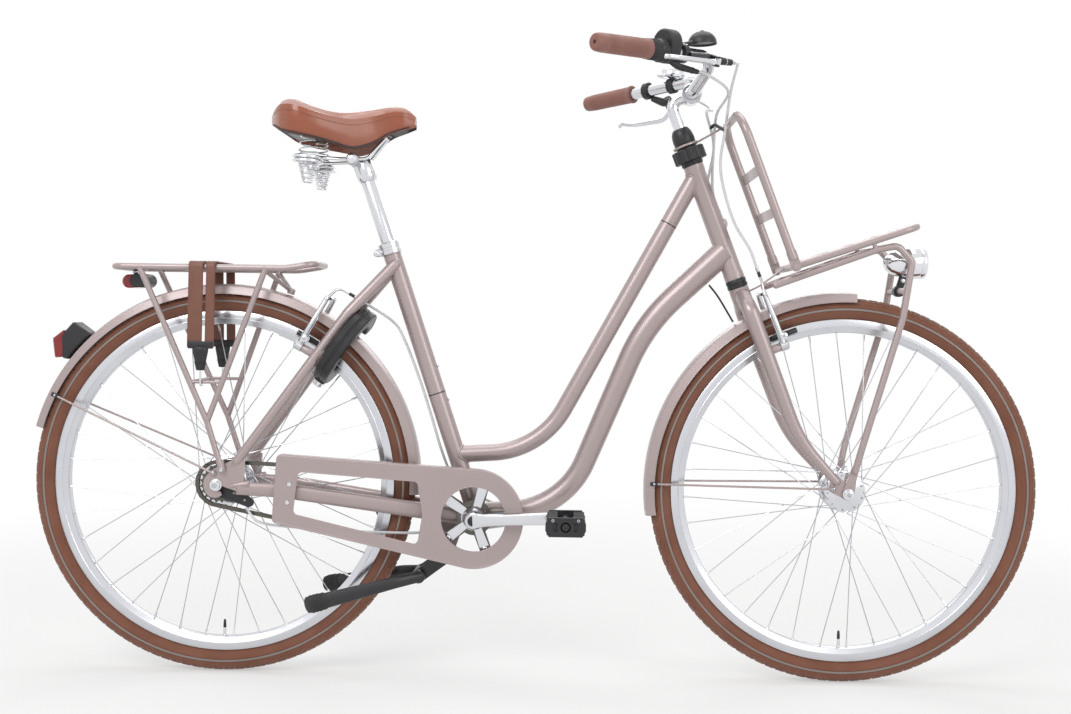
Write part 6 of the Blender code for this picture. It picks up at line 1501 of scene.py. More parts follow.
@dataclass
class Drive:
    """Chainring, cranks, pedals, sprocket, chain and guard."""

    chain_line: float = 0.047
    pitch: float = 0.0127
    ring_teeth: int = 38
    sprocket_teeth: int = 20
    crank_length: float = 0.167
    crank_angle: float = math.radians(2.4)
    crank_inner: float = 0.078
    crank_thickness: float = 0.016
    guard_face: float = 0.070
    guard_depth: float = 0.0175

    def build(self) -> None:
        """Builds every piece of the drive."""
        cranks = BIKE @ Matrix.Translation(BRACKET) @ Matrix.Rotation(-self.crank_angle, 4, "Y")
        self.crankset(cranks).done("crank_body", "aluminium", "crankset")
        left = Piece("left_crank_arm", cranks)
        self.crank_arm(left, 1)
        left.done("crank_body", "aluminium", "crank_left")
        for side, sign in SIDES.items():
            place = cranks @ shift(-sign * self.crank_length) @ Matrix.Rotation(self.crank_angle, 4, "Y")
            self.pedal(side, sign, place).done(f"pedal_{side}_body", "black_plastic", f"pedal_{side}")
        self.chain().done("frame_body", "chain_steel", "chain")
        self.sprocket().done("sprocket_body", "chain_steel", "rear_sprocket")
        self.guard().done("frame_body", "sand_paint", "chain_guard")

    def teeth(self, count: int, tip: float, root: float) -> list[Pair]:
        """A toothed wheel's outline with rounded gullets.

        Args:
            count: How many teeth there are.
            tip: The radius at the tips.
            root: The radius at the gullets.

        Returns:
            The outline's corners in order.
        """
        points = []
        for i in range(count):
            for share, radius in ((0.0, root), (0.14, root + 0.0006), (0.30, (root + tip) / 2), (0.42, tip),
                                  (0.58, tip), (0.70, (root + tip) / 2), (0.86, root + 0.0006)):
                turn = math.tau * (i + share) / count
                points.append((radius * math.cos(turn), radius * math.sin(turn)))
        return points

    def crankset(self, place: Matrix) -> Piece:
        """The right crank with its five-armed spider, the chainring and the spindle.

        Args:
            place: Where the shape stands, and which way it points.

        Returns:
            The piece with its shapes.
        """
        piece = Piece("right_crank_and_chainring", place)
        tip = (self.ring_teeth * self.pitch / math.tau - 0.0042) * math.cos(math.pi / 26) - 0.0003
        outer = 0.0705
        windows = []
        for i in range(5):
            middle, reach = math.tau * (i + 0.5) / 5, 0.46
            arc = [(0.0625, middle + reach * (k / 4 - 1)) for k in range(9)]
            arc += [(0.0325, middle + reach * 0.62 * (1 - k / 4)) for k in range(9)]
            windows.append([(r * math.cos(t), r * math.sin(t)) for r, t in arc])
        piece.add(side_plate(self.teeth(self.ring_teeth, tip, outer - 0.0012), 0.0028, -self.chain_line,
                             windows,
                             0.0004), CHAIN_STEEL)
        spider = [turn for i in range(5) for turn in ((0.020, i - 0.32), (0.062, i - 0.13), (0.0665, i),
                                                      (0.062, i + 0.13), (0.020, i + 0.32))]
        outline = [(r * math.cos(math.tau * t / 5), r * math.sin(math.tau * t / 5)) for r, t in spider]
        piece.add(side_plate(outline, 0.0042, -self.chain_line - 0.0034, edge=0.0010), POLISHED)
        for i in range(5):
            turn = math.tau * i / 5
            here = Vector((0.060 * math.cos(turn), -self.chain_line - 0.0055, 0.060 * math.sin(turn)))
            piece.add(socket_bolt(aimed(here, (0, -1, 0)), 0.0042, 0.0014), CHROME)
        piece.add(turned([(0.0090, -0.0012), (0.0240, -0.0012), (0.0240, 0.0035), (0.0205, 0.0062),
                          (0.0145, 0.0150), (0.0090, 0.0150)], shift(y=-self.chain_line) @ SIDEWAYS, 64,
                         closed=True),
                  POLISHED)
        reach = self.crank_inner + self.crank_thickness + 0.0008
        piece.add(across((0, 0, 0), reach - 0.003, 0.0084, 32, edge=0.0006), STAINLESS)
        self.crank_arm(piece, -1)
        return piece

    def crank_arm(self, piece: Piece, sign: int) -> None:
        """Adds a forged arm that tapers to the pedal, with its fluted face, bolt and pedal axle.

        Args:
            piece: The piece that takes the shapes.
            sign: 1 for the left side, -1 for the right.
        """
        middle = sign * (self.crank_inner + self.crank_thickness / 2)
        end = -sign * self.crank_length
        inner = self.crank_inner
        count = 12
        work = bmesh.new()
        places = []
        for i in range(count + 1):
            share = i / count
            waist = 0.0118 - 0.0016 * math.sin(math.pi * min(1, share * 1.15))
            size = (waist + (0.0143 - waist) * max(0, 1 - share * 7),
                    self.crank_thickness / 2 - 0.0018 * share)
            here = Matrix.Translation((end * share, middle - sign * 0.0012 * share, 0)) @ ALONG_X
            places.append(here @ Matrix.Diagonal((size[0], size[1], 1, 1)))
        corners = []
        for i in range(24):
            turn = math.tau * i / 24
            cosine, sine = math.cos(turn), math.sin(turn)
            corners.append((math.copysign(abs(cosine) ** 0.55, cosine),
                            math.copysign(abs(sine) ** 0.55, sine)))
        spots = [work.verts.new((x, y, 0)) for x, y in corners]
        for a, b in zip(spots, spots[1:] + spots[:1]):
            work.edges.new((a, b))
        bmesh.ops.transform(work, matrix=places[0], verts=work.verts)
        grow(work, places)
        piece.add(work, POLISHED)
        for x, radius, low, high in ((0, 0.0145, -0.0078, 0.0078), (end, 0.0115, -0.0078, 0.0072)):
            face = aimed((x, middle, 0), (0, sign, 0))
            profile = [(0.0055, low), (radius - 0.0008, low), (radius, low + 0.0012), (radius, high - 0.0022),
                       (radius - 0.0016, high - 0.0004), (radius * 0.66, high),
                       (radius * 0.64, high - 0.0030),
                       (0.0055, high - 0.0030)]
            piece.add(turned(profile, face, 56, closed=True), POLISHED)
        out = inner + self.crank_thickness
        dust = aimed((0, sign * (out - 0.0034), 0), (0, sign, 0))
        piece.add(turned([(0, 0.0020), (0.0068, 0.0018), (0.0090, 0.0006), (0.0090, 0), (0, 0)], dust, 40),
                  BLACK_PLASTIC)
        piece.add(nut(aimed((end, sign * (inner + 0.0002), 0), (0, -sign, 0)), 0.0072, 0.0012), STAINLESS)
        tip = out + 0.094 - 0.006
        piece.add(rod((end, sign * (out - 0.004), 0), (end, sign * tip, 0), 0.0048, 28, edge=0.0005),
                  STAINLESS)

    def pedal(self, side: str, sign: int, place: Matrix) -> Piece:
        """A cage pedal: barrel, two rubber treads with studs, end plates, bolts and reflectors.

        Args:
            side: "left" or "right".
            sign: 1 for the left side, -1 for the right.
            place: Where the shape stands, and which way it points.

        Returns:
            The piece with its shapes.
        """
        piece = Piece(f"{side}_pedal", place)
        inner = self.crank_inner + self.crank_thickness + 0.0006
        outer = inner + 0.094
        middle = sign * (inner + outer) / 2
        face = aimed((0, sign * inner, 0), (0, sign, 0))
        profile = [(0.0053, 0), (0.0092, 0), (0.0100, 0.0010), (0.0100, 0.0100), (0.0082, 0.0130),
                   (0.0076, 0.0300),
                   (0.0076, 0.0640), (0.0086, 0.0800), (0.0100, 0.0850), (0.0100, 0.0930), (0.0088, 0.0938),
                   (0.0060, 0.0938), (0, 0.0938)]
        piece.add(turned(profile, face, 48), BLACK_PLASTIC)
        for y in (inner + 0.0025, outer - 0.0025):
            outline = [(-0.035, -0.006), (-0.029, -0.0168), (0.029, -0.0168), (0.035, -0.006), (0.035, 0.006),
                       (0.029, 0.0168), (-0.029, 0.0168), (-0.035, 0.006)]
            holes = [hull((x, -0.004, 0.0035), (x, 0.004, 0.0035)) for x in (-0.0175, 0.0175)]
            piece.add(side_plate(outline, 0.0046, sign * y, holes, 0.0012), BLACK_PLASTIC)
        for x in (-0.0235, 0.0235):
            piece.add(block((0.0175, 0.090, 0.0225), shift(x, middle, 0), 0.003), BLACK_RUBBER)
            for row in range(6):
                spot = inner + 0.0095 + row * 0.0150
                for z in (-1, 1):
                    piece.add(block((0.0190, 0.0078, 0.0062), shift(x, sign * spot, z * 0.0118), 0.0014),
                              BLACK_RUBBER)
        for x in (-1, 1):
            piece.add(block((0.0020, 0.052, 0.0135), shift(x * 0.0338, middle, 0), 0.0008), AMBER_LENS)
            piece.add(block((0.0014, 0.058, 0.0180), shift(x * 0.0326, middle, 0), 0.0006), BLACK_PLASTIC)
            bolt = aimed((x * 0.022, sign * (outer - 0.0003), 0.0118), (0, sign, 0))
            piece.add(socket_bolt(bolt, 0.0026, 0.0003), STAINLESS)
        cap = aimed((0, sign * (outer - 0.0006), 0), (0, sign, 0))
        piece.add(turned([(0, 0.0005), (0.0062, 0.0005), (0.0078, 0)], cap, 32), BLACK_PLASTIC)
        return piece

    def chain_path(self) -> list[Vector]:
        """The middle line of the closed chain, cut at its pins.

        Returns:
            The points in order.
        """
        front, rear = (BRACKET.x, BRACKET.z), (REAR_AXLE.x, REAR_AXLE.z)
        radii = self.ring_teeth * self.pitch / math.tau, self.sprocket_teeth * self.pitch / math.tau
        line = [Vector((x, -self.chain_line, z)) for x,
                z in hull((*front, radii[0]), (*rear, radii[1]), sides=360)]
        runs = [0.0]
        for a, b in zip(line, line[1:] + line[:1]):
            runs.append(runs[-1] + (b - a).length)
        count = 2 * round(runs[-1] / self.pitch / 2)
        points, k = [], 0
        for i in range(count):
            run = runs[-1] * i / count
            while runs[k + 1] < run:
                k += 1
            share = (run - runs[k]) / (runs[k + 1] - runs[k])
            points.append(line[k].lerp(line[(k + 1) % len(line)], share))
        return points

    def chain(self) -> Piece:
        """Inner and outer links in turn, with rollers and pin heads.

        Returns:
            The piece with its shapes.
        """
        piece = Piece("roller_chain")
        pins = self.chain_path()
        half = self.pitch / 2
        for i, here in enumerate(pins):
            after = pins[(i + 1) % len(pins)]
            place = axes((here + after) / 2, after - here, (0, 1, 0))
            outside = i % 2
            level = 0.0032 if outside else 0.0021
            outline = hull((-half, 0, 0.0036), (half, 0, 0.0036), sides=10)
            waist = [(x, y * (1 - 0.22 * max(0, 1 - abs(x) / 0.003))) for x, y in outline]
            for z in (-level, level):
                piece.add(plate(waist, 0.0010, place @ shift(z=z), edge=0.0), CHAIN_STEEL)
            piece.add(across(here, 0.0036, 0.0012, 8), STAINLESS)
            piece.add(across(here, 0.0016, 0.0030, 10), CHAIN_STEEL)
        return piece

    def sprocket(self) -> Piece:
        """The toothed sprocket on the gear hub's driver, with its snap ring.

        Returns:
            The piece with its shapes.
        """
        piece = Piece("hub_sprocket", BIKE @ Matrix.Translation(REAR_AXLE))
        tip = (self.sprocket_teeth * self.pitch / math.tau - 0.0042) * math.cos(math.pi / 26) - 0.0003
        holes = [circle(0, 0, 0.0056)]
        piece.add(side_plate(self.teeth(self.sprocket_teeth, tip, tip - 0.0044), 0.0022, -self.chain_line,
                             holes, 0.0003),
                  CHAIN_STEEL)
        piece.add(ring(0.0180, 0.0056, 0.0356, 0.0529, SIDEWAYS, 0.0010), CHAIN_STEEL)
        piece.add(ring(0.0188, 0.0170, 0.0486, 0.0500, SIDEWAYS, 0.0003), STAINLESS)
        return piece

    def outline(self, inset: float, beyond: float = 0.0) -> list[Pair]:
        """The guard's outline, drawn in by a wall and run on past its rear corners.

        Args:
            inset: How far it is drawn in.
            beyond: How far it runs on past the rear corners.

        Returns:
            The outline's corners in order.
        """
        front = Vector((BRACKET.x, BRACKET.z))
        circles = [(front.x, front.y, 0.0907 - inset)]
        for corner, side in (((0.1180, 0.4045), 1), ((0.1110, 0.2960), -1)):
            reach = front - Vector(corner)
            angle = math.atan2(reach.y, reach.x) + side * math.asin((0.0907 - 0.009) / reach.length)
            circles.append((corner[0] - beyond * math.cos(angle), corner[1] - beyond * math.sin(angle),
                            0.009 - inset))
        return hull(*circles, sides=120)

    def guard(self) -> Piece:
        """A pressed sheet with a rolled rim, a raised border, a window and the ring's round hole.

        Returns:
            The piece with its shapes.
        """
        piece = Piece("pressed_chain_guard")
        face, depth = self.guard_face, self.guard_depth
        window = hull((0.157, 0.3725, 0.009), (0.1505, 0.3125, 0.009), (0.360, 0.2640, 0.009),
                      (0.366, 0.3083, 0.010),
                      (0.359, 0.3590, 0.009))
        hole = circle(BRACKET.x, BRACKET.z, 0.0586, 96)
        piece.add(side_plate(self.outline(0.0003), 0.0017, 0.00085 - face, [hole, window], 0.0005), PAINT)
        rim = self.outline(0.0008)
        back = min(x for x, _ in rim)
        wall_line = [(x, z) for x, z in rim if x > back + 0.012]
        start = max(range(len(wall_line)), key=lambda i: math.dist(wall_line[i], wall_line[i - 1]))
        wall_line = wall_line[start:] + wall_line[:start]
        piece.add(side_plate(ribbon(wall_line, 0.0014), depth - 0.0012, (depth - 0.0012) / 2 - face + 0.0006,
                             edge=0.0003), PAINT)
        bead = [Vector((x, 0.0008 - face, z)) for x, z in self.outline(0.0026)]
        piece.add(tube(bead, 0.0010, 8, closed=True), PAINT)
        for loop in (hole, window):
            middle = Vector((sum(x for x, _ in loop), sum(z for _, z in loop))) / len(loop)
            grown = [(x + (x - middle.x) * 0.012, z + (z - middle.y) * 0.012) for x, z in loop]
            piece.add(tube([Vector((x, 0.0008 - face, z)) for x, z in grown], 0.0009, 8, closed=True), PAINT)
        for x, z in ((0.1336, 0.359), (0.1302, 0.326)):
            piece.add(socket_bolt(aimed((x, -face, z), (0, -1, 0)), 0.0045, 0.0025), CHROME)
        return piece


# Steering


@dataclass
class ForkSet:
    """The fork with its crown, and the headset's lock ring and boot above it."""

    crown_low: float = 0.3783
    head_low: float = 0.4353
    head_high: float = 0.6593
    blade_spread: float = 0.049
    spacing: float = 0.100

    def build(self) -> None:
        """Builds the fork, the lock ring and the boot."""
        self.fork().done("steering_body", "sand_paint", "fork")
        self.lock_ring().done("lock_ring_body", "black_plastic", "steering_lock_ring")
        self.boot().done("steering_body", "black_plastic", "stem_boot")

    def fork(self) -> Piece:
        """Two raked blades that run up into the crown, with tips, eyes and brake bosses.

        Returns:
            The piece with its shapes.
        """
        piece = Piece("raked_fork", STEER)
        low = self.crown_low
        high = self.head_low - 0.017 - 0.0003
        crown = turned([(0, low), (0.0165, low), (0.0185, low + 0.002), (0.0185, high - 0.001),
                        (0.0178, high),
                        (0.0143, high)], Matrix(), 56)
        steerer = turned([(0.0117, 0.610), (0.0117, self.head_high + 0.028), (0.0143, self.head_high + 0.028),
                          (0.0143, low + 0.01), (0.0, low + 0.01)], Matrix(), 48)
        tip = FRONT_WHEEL @ Vector((-0.0207, 0, 0.0217))
        for sign in SIDES.values():
            blade = bend([(0, sign * 0.006, low + 0.030), (0, sign * self.blade_spread, low + 0.001, 0.028),
                          (0, sign * self.blade_spread, 0.126, 0.25),
                          (tip.x, sign * (self.spacing / 2 + 0.0022), tip.z)], 0.06)
            leg = tube(blade, [(0, 0.0130), (0.15, 0.015), (0.5, 0.015), (1, 0.008)], 40)
            piece.add(weld_bead(crown, blade[3], blade[0] - blade[3], 0.0135, 0.0022), PAINT)
            piece.add(leg, PAINT)
            piece.add(ball(0.0080, Matrix.Translation(blade[-1]) @ Matrix.Diagonal((1, 0.7, 1, 1))), PAINT)
            outline = hull((0, 0, 0.011), (-0.0275, 0.0088, 0.0065), (-0.024, 0.030, 0.0065))
            middle = sign * (self.spacing + 0.0045) / 2
            piece.add(side_plate(outline, 0.0045, middle, [circle(0, 0, 0.0048)], 0.0008), PAINT, FRONT_WHEEL)
            place = boss_place("front")
            root = place @ Vector((-0.034, sign * 0.044, 0))
            piece.add(rod(root, place @ Vector((-0.0073, sign * 0.044, 0)), 0.0075, 28, edge=0.0006), PAINT)
            piece.add(rod(root, place @ Vector((0.009, sign * 0.044, 0)), 0.0039, 24, edge=0.0005), STAINLESS)
            eye = FRONT_WHEEL @ Vector((-0.0275, sign * 0.0495, 0.0088))
            piece.add(nut(aimed(eye, (0, -sign, 0)), 0.0040, 0.0030), STAINLESS)
        return piece.add(crown, PAINT).add(steerer, STAINLESS)

    def lock_ring(self) -> Piece:
        """The twelve-lobed ring on its collar.

        Returns:
            The piece with its shapes.
        """
        piece = Piece("lobed_lock_ring", STEER)
        low, middle = self.head_high + 0.0003, self.head_high + 0.008
        high = middle + 0.024
        outline = []
        for i in range(144):
            turn = math.tau * i / 144
            swing = abs(math.cos(6 * turn)) ** 0.7
            radius = 0.0267 + 0.0036 * swing
            outline.append((radius * math.cos(turn), radius * math.sin(turn)))
        piece.add(plate(outline, high - middle, shift(z=(middle + high) / 2), [circle(0, 0, 0.0149, 48)],
                        0.0016),
                  BLACK_PLASTIC)
        piece.add(ring(0.0200, 0.0149, low, middle + 0.0010, Matrix(), 0.0012, 64), BLACK_PLASTIC)
        piece.add(ring(0.0204, 0.0180, low + 0.0024, low + 0.0040, Matrix(), 0.0004, 64), BLACK_RUBBER)
        return piece

    def boot(self) -> Piece:
        """A glossy rubber cone over the wedge, with two soft folds.

        Returns:
            The piece with its shapes.
        """
        piece = Piece("headset_boot", STEER)
        base, height = self.head_high + 0.0323, 0.039
        profile = [(0.0119, 0.0), (0.0178, 0.0), (0.0186, 0.06), (0.0194, 0.13), (0.0188, 0.17),
                   (0.0198, 0.24),
                   (0.0204, 0.45), (0.0198, 0.62), (0.0184, 0.80), (0.0158, 0.93), (0.0143, 0.985),
                   (0.0134, 1.0),
                   (0.0119, 1.0)]
        piece.add(turned([(r, base + share * height) for r, share in profile], Matrix(), 64, closed=True),
                  BLACK_PLASTIC)
        return piece


# Handlebar


BAR = Matrix.Translation((0.0411, 0, 0.7821)) @ Matrix.Rotation(HEAD_LEAN, 4, "Y")
BAR_SHOULDER = (0.033, 0.100, 0.048)
BAR_END = (-0.186, 0.305, 0.031)
BAR_BORE = 0.0117
BRACKETS = {"right": (0.210, math.radians(20)), "left": (0.163, math.radians(58))}


def bar_place(side: str, distance: float, drop: float = 0.0) -> Matrix:
    """A place on the bar with X along it outwards.

    Args:
        side: Which grip it is measured from.
        distance: How far in from the grip's end it lies.
        drop: How far it is turned down round the bar.

    Returns:
        The place. Its Y runs forwards on the right side and backwards on the left.
    """
    sign = SIDES[side]
    x, y, z = BAR_SHOULDER
    end = Vector((BAR_END[0], sign * BAR_END[1], BAR_END[2]))
    along = (end - Vector((x, sign * y, z))).normalized()
    return BAR @ axes(end - along * distance, along, (0, 0, 1)) @ Matrix.Rotation(sign * drop, 4, "X")


def ahead(side: str, u: float, forward: float, up: float) -> Vector:
    """A point in a bar place: outwards along the bar, forwards and up."""
    return Vector((u, -SIDES[side] * forward, up))


@dataclass
class Cockpit:
    """The stem and bar with their grips, levers, shifter and bell."""

    bar_radius: float = 0.0111
    grip_length: float = 0.125
    sleeve_length: float = 0.036
    housing_length: float = 0.026
    lever_back: float = 0.040
    lever_forward: float = 0.048
    dome_radius: float = 0.0255
    dome_height: float = 0.024

    def build(self) -> None:
        """Builds every piece at the bar."""
        self.stem().done("steering_body", "aluminium", "stem")
        self.handlebar().done("steering_body", "aluminium", "handlebar")
        for side in SIDES:
            self.grip(side).done("steering_body", "brown_rubber", f"grip_{side}")
            self.bracket(side).done("steering_body", "black_plastic", f"brake_bracket_{side}")
            self.lever(side).done(f"lever_{side}_body", "aluminium", f"brake_lever_{side}")
        self.sleeve().done("twist_body", "black_plastic", "twist_shifter")
        self.housing().done("steering_body", "black_plastic", "shifter_housing")
        place = bar_place("left", 0.225)
        self.bell(place).done("steering_body", "chrome", "bell")
        self.bell_lever(place).done("bell_lever_body", "chrome", "bell_lever")

    def stem(self) -> Piece:
        """The polished quill, its forward reach and the clamp with its bolt.

        Returns:
            The piece with its shapes.
        """
        piece = Piece("quill_stem", STEER)
        clamp = BAR.translation
        reach = bend([(0, 0, 0.610), (0, 0, clamp.z + 0.001, 0.019), clamp], 0.12)
        body = tube(reach, [(0, 0.0111), (0.8, 0.0111), (1, 0.013)], 40)
        barrel = turned([(0.0130, -0.018), (0.0172, -0.018), (0.0185, -0.0166), (0.0185, 0.0166),
                         (0.0172, 0.018),
                         (0.0130, 0.018)], Matrix.Translation(clamp) @ ACROSS, 64, closed=True)
        piece.add(weld_bead(barrel, reach[-4], reach[-1] - reach[-4], 0.0126, 0.0020), POLISHED)
        piece.add(body, POLISHED).add(barrel, POLISHED)
        piece.add(socket_bolt(shift(-0.0015, 0, clamp.z + 0.0095), 0.0062, 0.0034), BLACK_STEEL)
        return piece

    def handlebar(self) -> Piece:
        """The swept bar with its swaged middle.

        Returns:
            The piece with its shapes.
        """
        piece = Piece("swept_bar", STEER)
        x, y, z = BAR_SHOULDER
        corners = [bar_place("right", 0.0043).translation, (*(BAR @ Vector((x, -y, z))), 0.05),
                   (*(BAR @ Vector((0, -0.034, 0))), 0.03), (*(BAR @ Vector((0, 0.034, 0))), 0.03),
                   (*(BAR @ Vector((x, y, z))), 0.05), bar_place("left", 0.0043).translation]
        piece.add(tube(bend(corners, 0.06), self.bar_radius, 40), POLISHED)
        middle = [(0.0106, -0.0225), (0.0111, -0.0225), (0.0127, -0.0195), (0.0127, 0.0195), (0.0111, 0.0225),
                  (0.0106, 0.0225)]
        piece.add(turned(middle, Matrix.Translation(BAR.translation) @ ACROSS, 48, closed=True), POLISHED)
        for y in (-0.0195, 0.0195):
            piece.add(ring(0.01275, 0.0120, y - 0.0004, y + 0.0004,
                           Matrix.Translation(BAR.translation) @ ACROSS,
                           0.0001), STAINLESS)
        return piece

    def grip(self, side: str) -> Piece:
        """A shaped grip with fine ribs under the fingers and a plug hole in its end.

        Args:
            side: "left" or "right".

        Returns:
            The piece with its shapes.
        """
        piece = Piece(f"{side}_grip", STEER)
        profile = [(0.0030, -0.0030), (0.0034, -0.0002), (0.0100, 0.0), (0.0126, -0.0006), (0.0142, -0.0022),
                   (0.0150, -0.0055), (0.0156, -0.0120), (0.0160, -0.0200)]
        for i in range(28):
            level = -0.0230 - i * 0.0033
            swell = 0.0160 + (0.0165 - 0.0160) * i / 27
            profile += [(swell, level), (swell, level - 0.0019), (swell - 0.0004, level - 0.0022),
                        (swell - 0.0004, level - 0.0030)]
        profile += [(0.0167, -0.1185), (0.0175, -0.1205), (0.0175, -0.1242), (0.0168, -self.grip_length),
                    (BAR_BORE, -self.grip_length)]
        place = bar_place(side, 0) @ ALONG_X
        piece.add(turned(profile, place, 64), BROWN_RUBBER)
        piece.add(rod((0, 0, -0.0030), (0, 0, -0.0020), 0.0032, 24), BLACK_PLASTIC, place)
        return piece

    def sleeve(self) -> Piece:
        """The twist sleeve, ribbed along its length.

        Returns:
            The piece with its shapes.
        """
        piece = Piece("ribbed_twist_sleeve", STEER)
        place = bar_place("right", 0) @ ALONG_X
        start = self.grip_length + 0.0003
        end = start + self.sleeve_length
        profile = [(BAR_BORE, -start), (0.0160, -start), (0.0168, -start - 0.001), (0.0170, -start - 0.021),
                   (0.0176, -end + 0.0125), (0.0194, -end + 0.0105), (0.0198, -end + 0.001), (0.0190, -end),
                   (BAR_BORE, -end)]
        piece.add(turned(profile, place, 64, closed=True), BLACK_PLASTIC)
        rib = block((0.0021, 0.0022, 0.0205), shift(0.0168, 0, -start - 0.0117), 0.0006)
        piece.around(rib, BLACK_RUBBER, 22, place)
        grip_rib = block((0.0016, 0.0030, 0.0085), shift(0.0192, 0, -end + 0.0058), 0.0006)
        piece.around(grip_rib, BLACK_RUBBER, 18, place)
        return piece

    def housing(self) -> Piece:
        """The shifter's housing with its gear window, seam and cable outlet.

        Returns:
            The piece with its shapes.
        """
        piece = Piece("shifter_body", STEER)
        distance = self.grip_length + 0.0006 + self.sleeve_length + self.housing_length / 2
        middle = bar_place("right", distance)
        outline = hull((0, 0, 0.0205), (-0.013, 0, 0.0245), sides=72)
        piece.add(plate(outline, self.housing_length, middle @ ALONG_X, [circle(0, 0, BAR_BORE, 48)], 0.0026),
                  BLACK_PLASTIC)
        for u in (-0.0035, 0.0042):
            band = hull((0, 0, 0.02065), (-0.013, 0, 0.02465), sides=72)
            inner = hull((0, 0, 0.0196), (-0.013, 0, 0.0236), sides=72)
            piece.add(plate(band, 0.0009, middle @ ALONG_X @ shift(z=u), [inner], 0.0002), BLACK_RUBBER)
        window = middle @ Matrix.Translation(ahead("right", 0.001, -0.002, 0.0366))
        piece.add(block((0.0180, 0.0130, 0.0016), window, 0.0007), CLEAR_LENS)
        piece.add(block((0.0030, 0.0050, 0.0009), window @ shift(0.004, 0, 0.0006), 0.0003), RED_LENS)
        path = [(0, 0.004, -0.016), (-0.016, 0.006, -0.0235), (-0.062, 0.012, -0.031)]
        line = curved([middle @ ahead("right", *p) for p in path], 8)
        piece.add(tube(line, [(0, 0.0045), (0.4, 0.0060), (0.75, 0.0052), (1, 0.0042)], 24), BLACK_PLASTIC)
        for share in (0.62, 0.70, 0.78, 0.86):
            here = line[round(share * (len(line) - 1))]
            piece.add(ring(0.0056, 0.0040, -0.0009, 0.0009, aimed(here, line[-1] - line[-3]), 0.0004, 24),
                      BLACK_RUBBER)
        return piece

    def bracket(self, side: str) -> Piece:
        """The lever's clamp, its body, the barrel adjuster and the lips round the pivot.

        Args:
            side: "left" or "right".

        Returns:
            The piece with its shapes.
        """
        piece = Piece(f"{side}_lever_bracket", STEER)
        place = bar_place(side, *BRACKETS[side])
        pivot = place @ Matrix.Translation(ahead(side, -self.lever_back, self.lever_forward, 0))
        piece.add(ring(0.0165, BAR_BORE, -0.006, 0.006, place @ ALONG_X, 0.0010, 56), BLACK_PLASTIC)
        root, elbow, barrel = [(-0.004, 0.0168, 0), (-0.026, 0.029, 0), (-0.088, 0.038, 0)]
        path = bend([place @ ahead(side, *root), (*(place @ ahead(side, *elbow)), 0.02),
                     place @ ahead(side, *barrel)], 0.1)
        piece.add(tube(path, [(0, 0.0058), (0.3, 0.0085), (0.7, 0.0075), (0.80, 0.0056)], 28), BLACK_PLASTIC)
        onward = (path[-1] - path[-2]).normalized()
        adjuster = aimed(path[-1] - onward * 0.015, onward)
        piece.add(turned([(0.0027, 0), (0.0062, 0), (0.0062, 0.0022), (0.0040, 0.0030), (0.0040, 0.0150),
                          (0.0027, 0.0150)], adjuster, 24, closed=True), CHROME)
        piece.around(block((0.0012, 0.0014, 0.0024), shift(0.0060, 0, 0.0011), 0.0002), CHROME, 16, adjuster)
        lip = hull((0, 0, 0.006), (0, SIDES[side] * 0.019, 0.006))
        level = 0.005 + 0.0006 + 0.0015
        for up in (-level, level):
            piece.add(plate(lip, 0.003, pivot @ shift(z=up), edge=0.0008), BLACK_PLASTIC)
        piece.add(rod(pivot @ Vector((0, 0, -level)), pivot @ Vector((0, 0, level)), 0.0029, 24), STAINLESS)
        for up in (-1, 1):
            head = pivot @ aimed((0, 0, up * (level + 0.0014)), (0, 0, up))
            piece.add(turned([(0, 0.0010), (0.0024, 0.0009), (0.0030, 0)], head, 20), STAINLESS)
        for u in (-0.003, 0.0035):
            screw = place @ Matrix.Translation(ahead(side, u, 0.004, 0.0160))
            piece.add(socket_bolt(screw, 0.0022, 0.0010), CHROME)
        if side == "right":
            self.second_dome(piece, side, place)
        return piece

    def second_dome(self, piece: Piece, side: str, place: Matrix) -> None:
        """Adds a small black dome that stands beside the right bracket on a curved post.

        Args:
            piece: The piece that takes the shapes.
            side: "left" or "right".
            place: The bracket's place on the bar.
        """
        level = place @ Matrix.Rotation(-SIDES[side] * BRACKETS[side][1], 4, "X")
        base = self.bar_radius + 0.008
        root = level @ ahead(side, 0, 0.002, 0.0145)
        tip = level @ ahead(side, -0.034, 0.004, base + 0.003)
        piece.add(tube(curved([root, root.lerp(tip, 0.5), tip], 4), 0.0038, 20), BLACK_PLASTIC)
        piece.add(self.dome(), BLACK_PLASTIC, level @ Matrix.Translation(ahead(side, -0.050, 0.004, base)))

    def dome(self) -> bmesh.types.BMesh:
        """A bell's cap with a turned lip and a small button on top.

        Returns:
            The shape, ready to be added to a piece.
        """
        radius, height = self.dome_radius, self.dome_height
        profile = [(0, height), (0.0030, height - 0.0001), (0.0036, height - 0.0012)]
        for i in range(2, 15):
            turn = math.pi / 2 * i / 14
            profile.append((radius * math.sin(turn) - 0.0002, (height - 0.0012) * math.cos(turn) ** 0.86))
        profile += [(radius, 0.0016), (radius, 0.0003), (radius - 0.0020, 0.0003), (radius - 0.0024, 0.0024),
                    (0, 0.0024)]
        return turned(profile, Matrix(), 72)

    def bell(self, place: Matrix) -> Piece:
        """The chromed bell on its clamp.

        Args:
            place: Where the shape stands, and which way it points.

        Returns:
            The piece with its shapes.
        """
        piece = Piece("chrome_bell", STEER)
        high = 0.0150 + 0.0003 + 0.003
        piece.add(ring(0.0150, BAR_BORE, -0.007, 0.007, place @ ALONG_X, 0.0010, 48), BLACK_PLASTIC)
        piece.add(rod(place @ Vector((0, 0, 0.0125)), place @ Vector((0, 0, high + 0.004)), 0.0029, 20),
                  STAINLESS)
        piece.add(self.dome(), CHROME, place @ shift(z=high + 0.0003))
        return piece

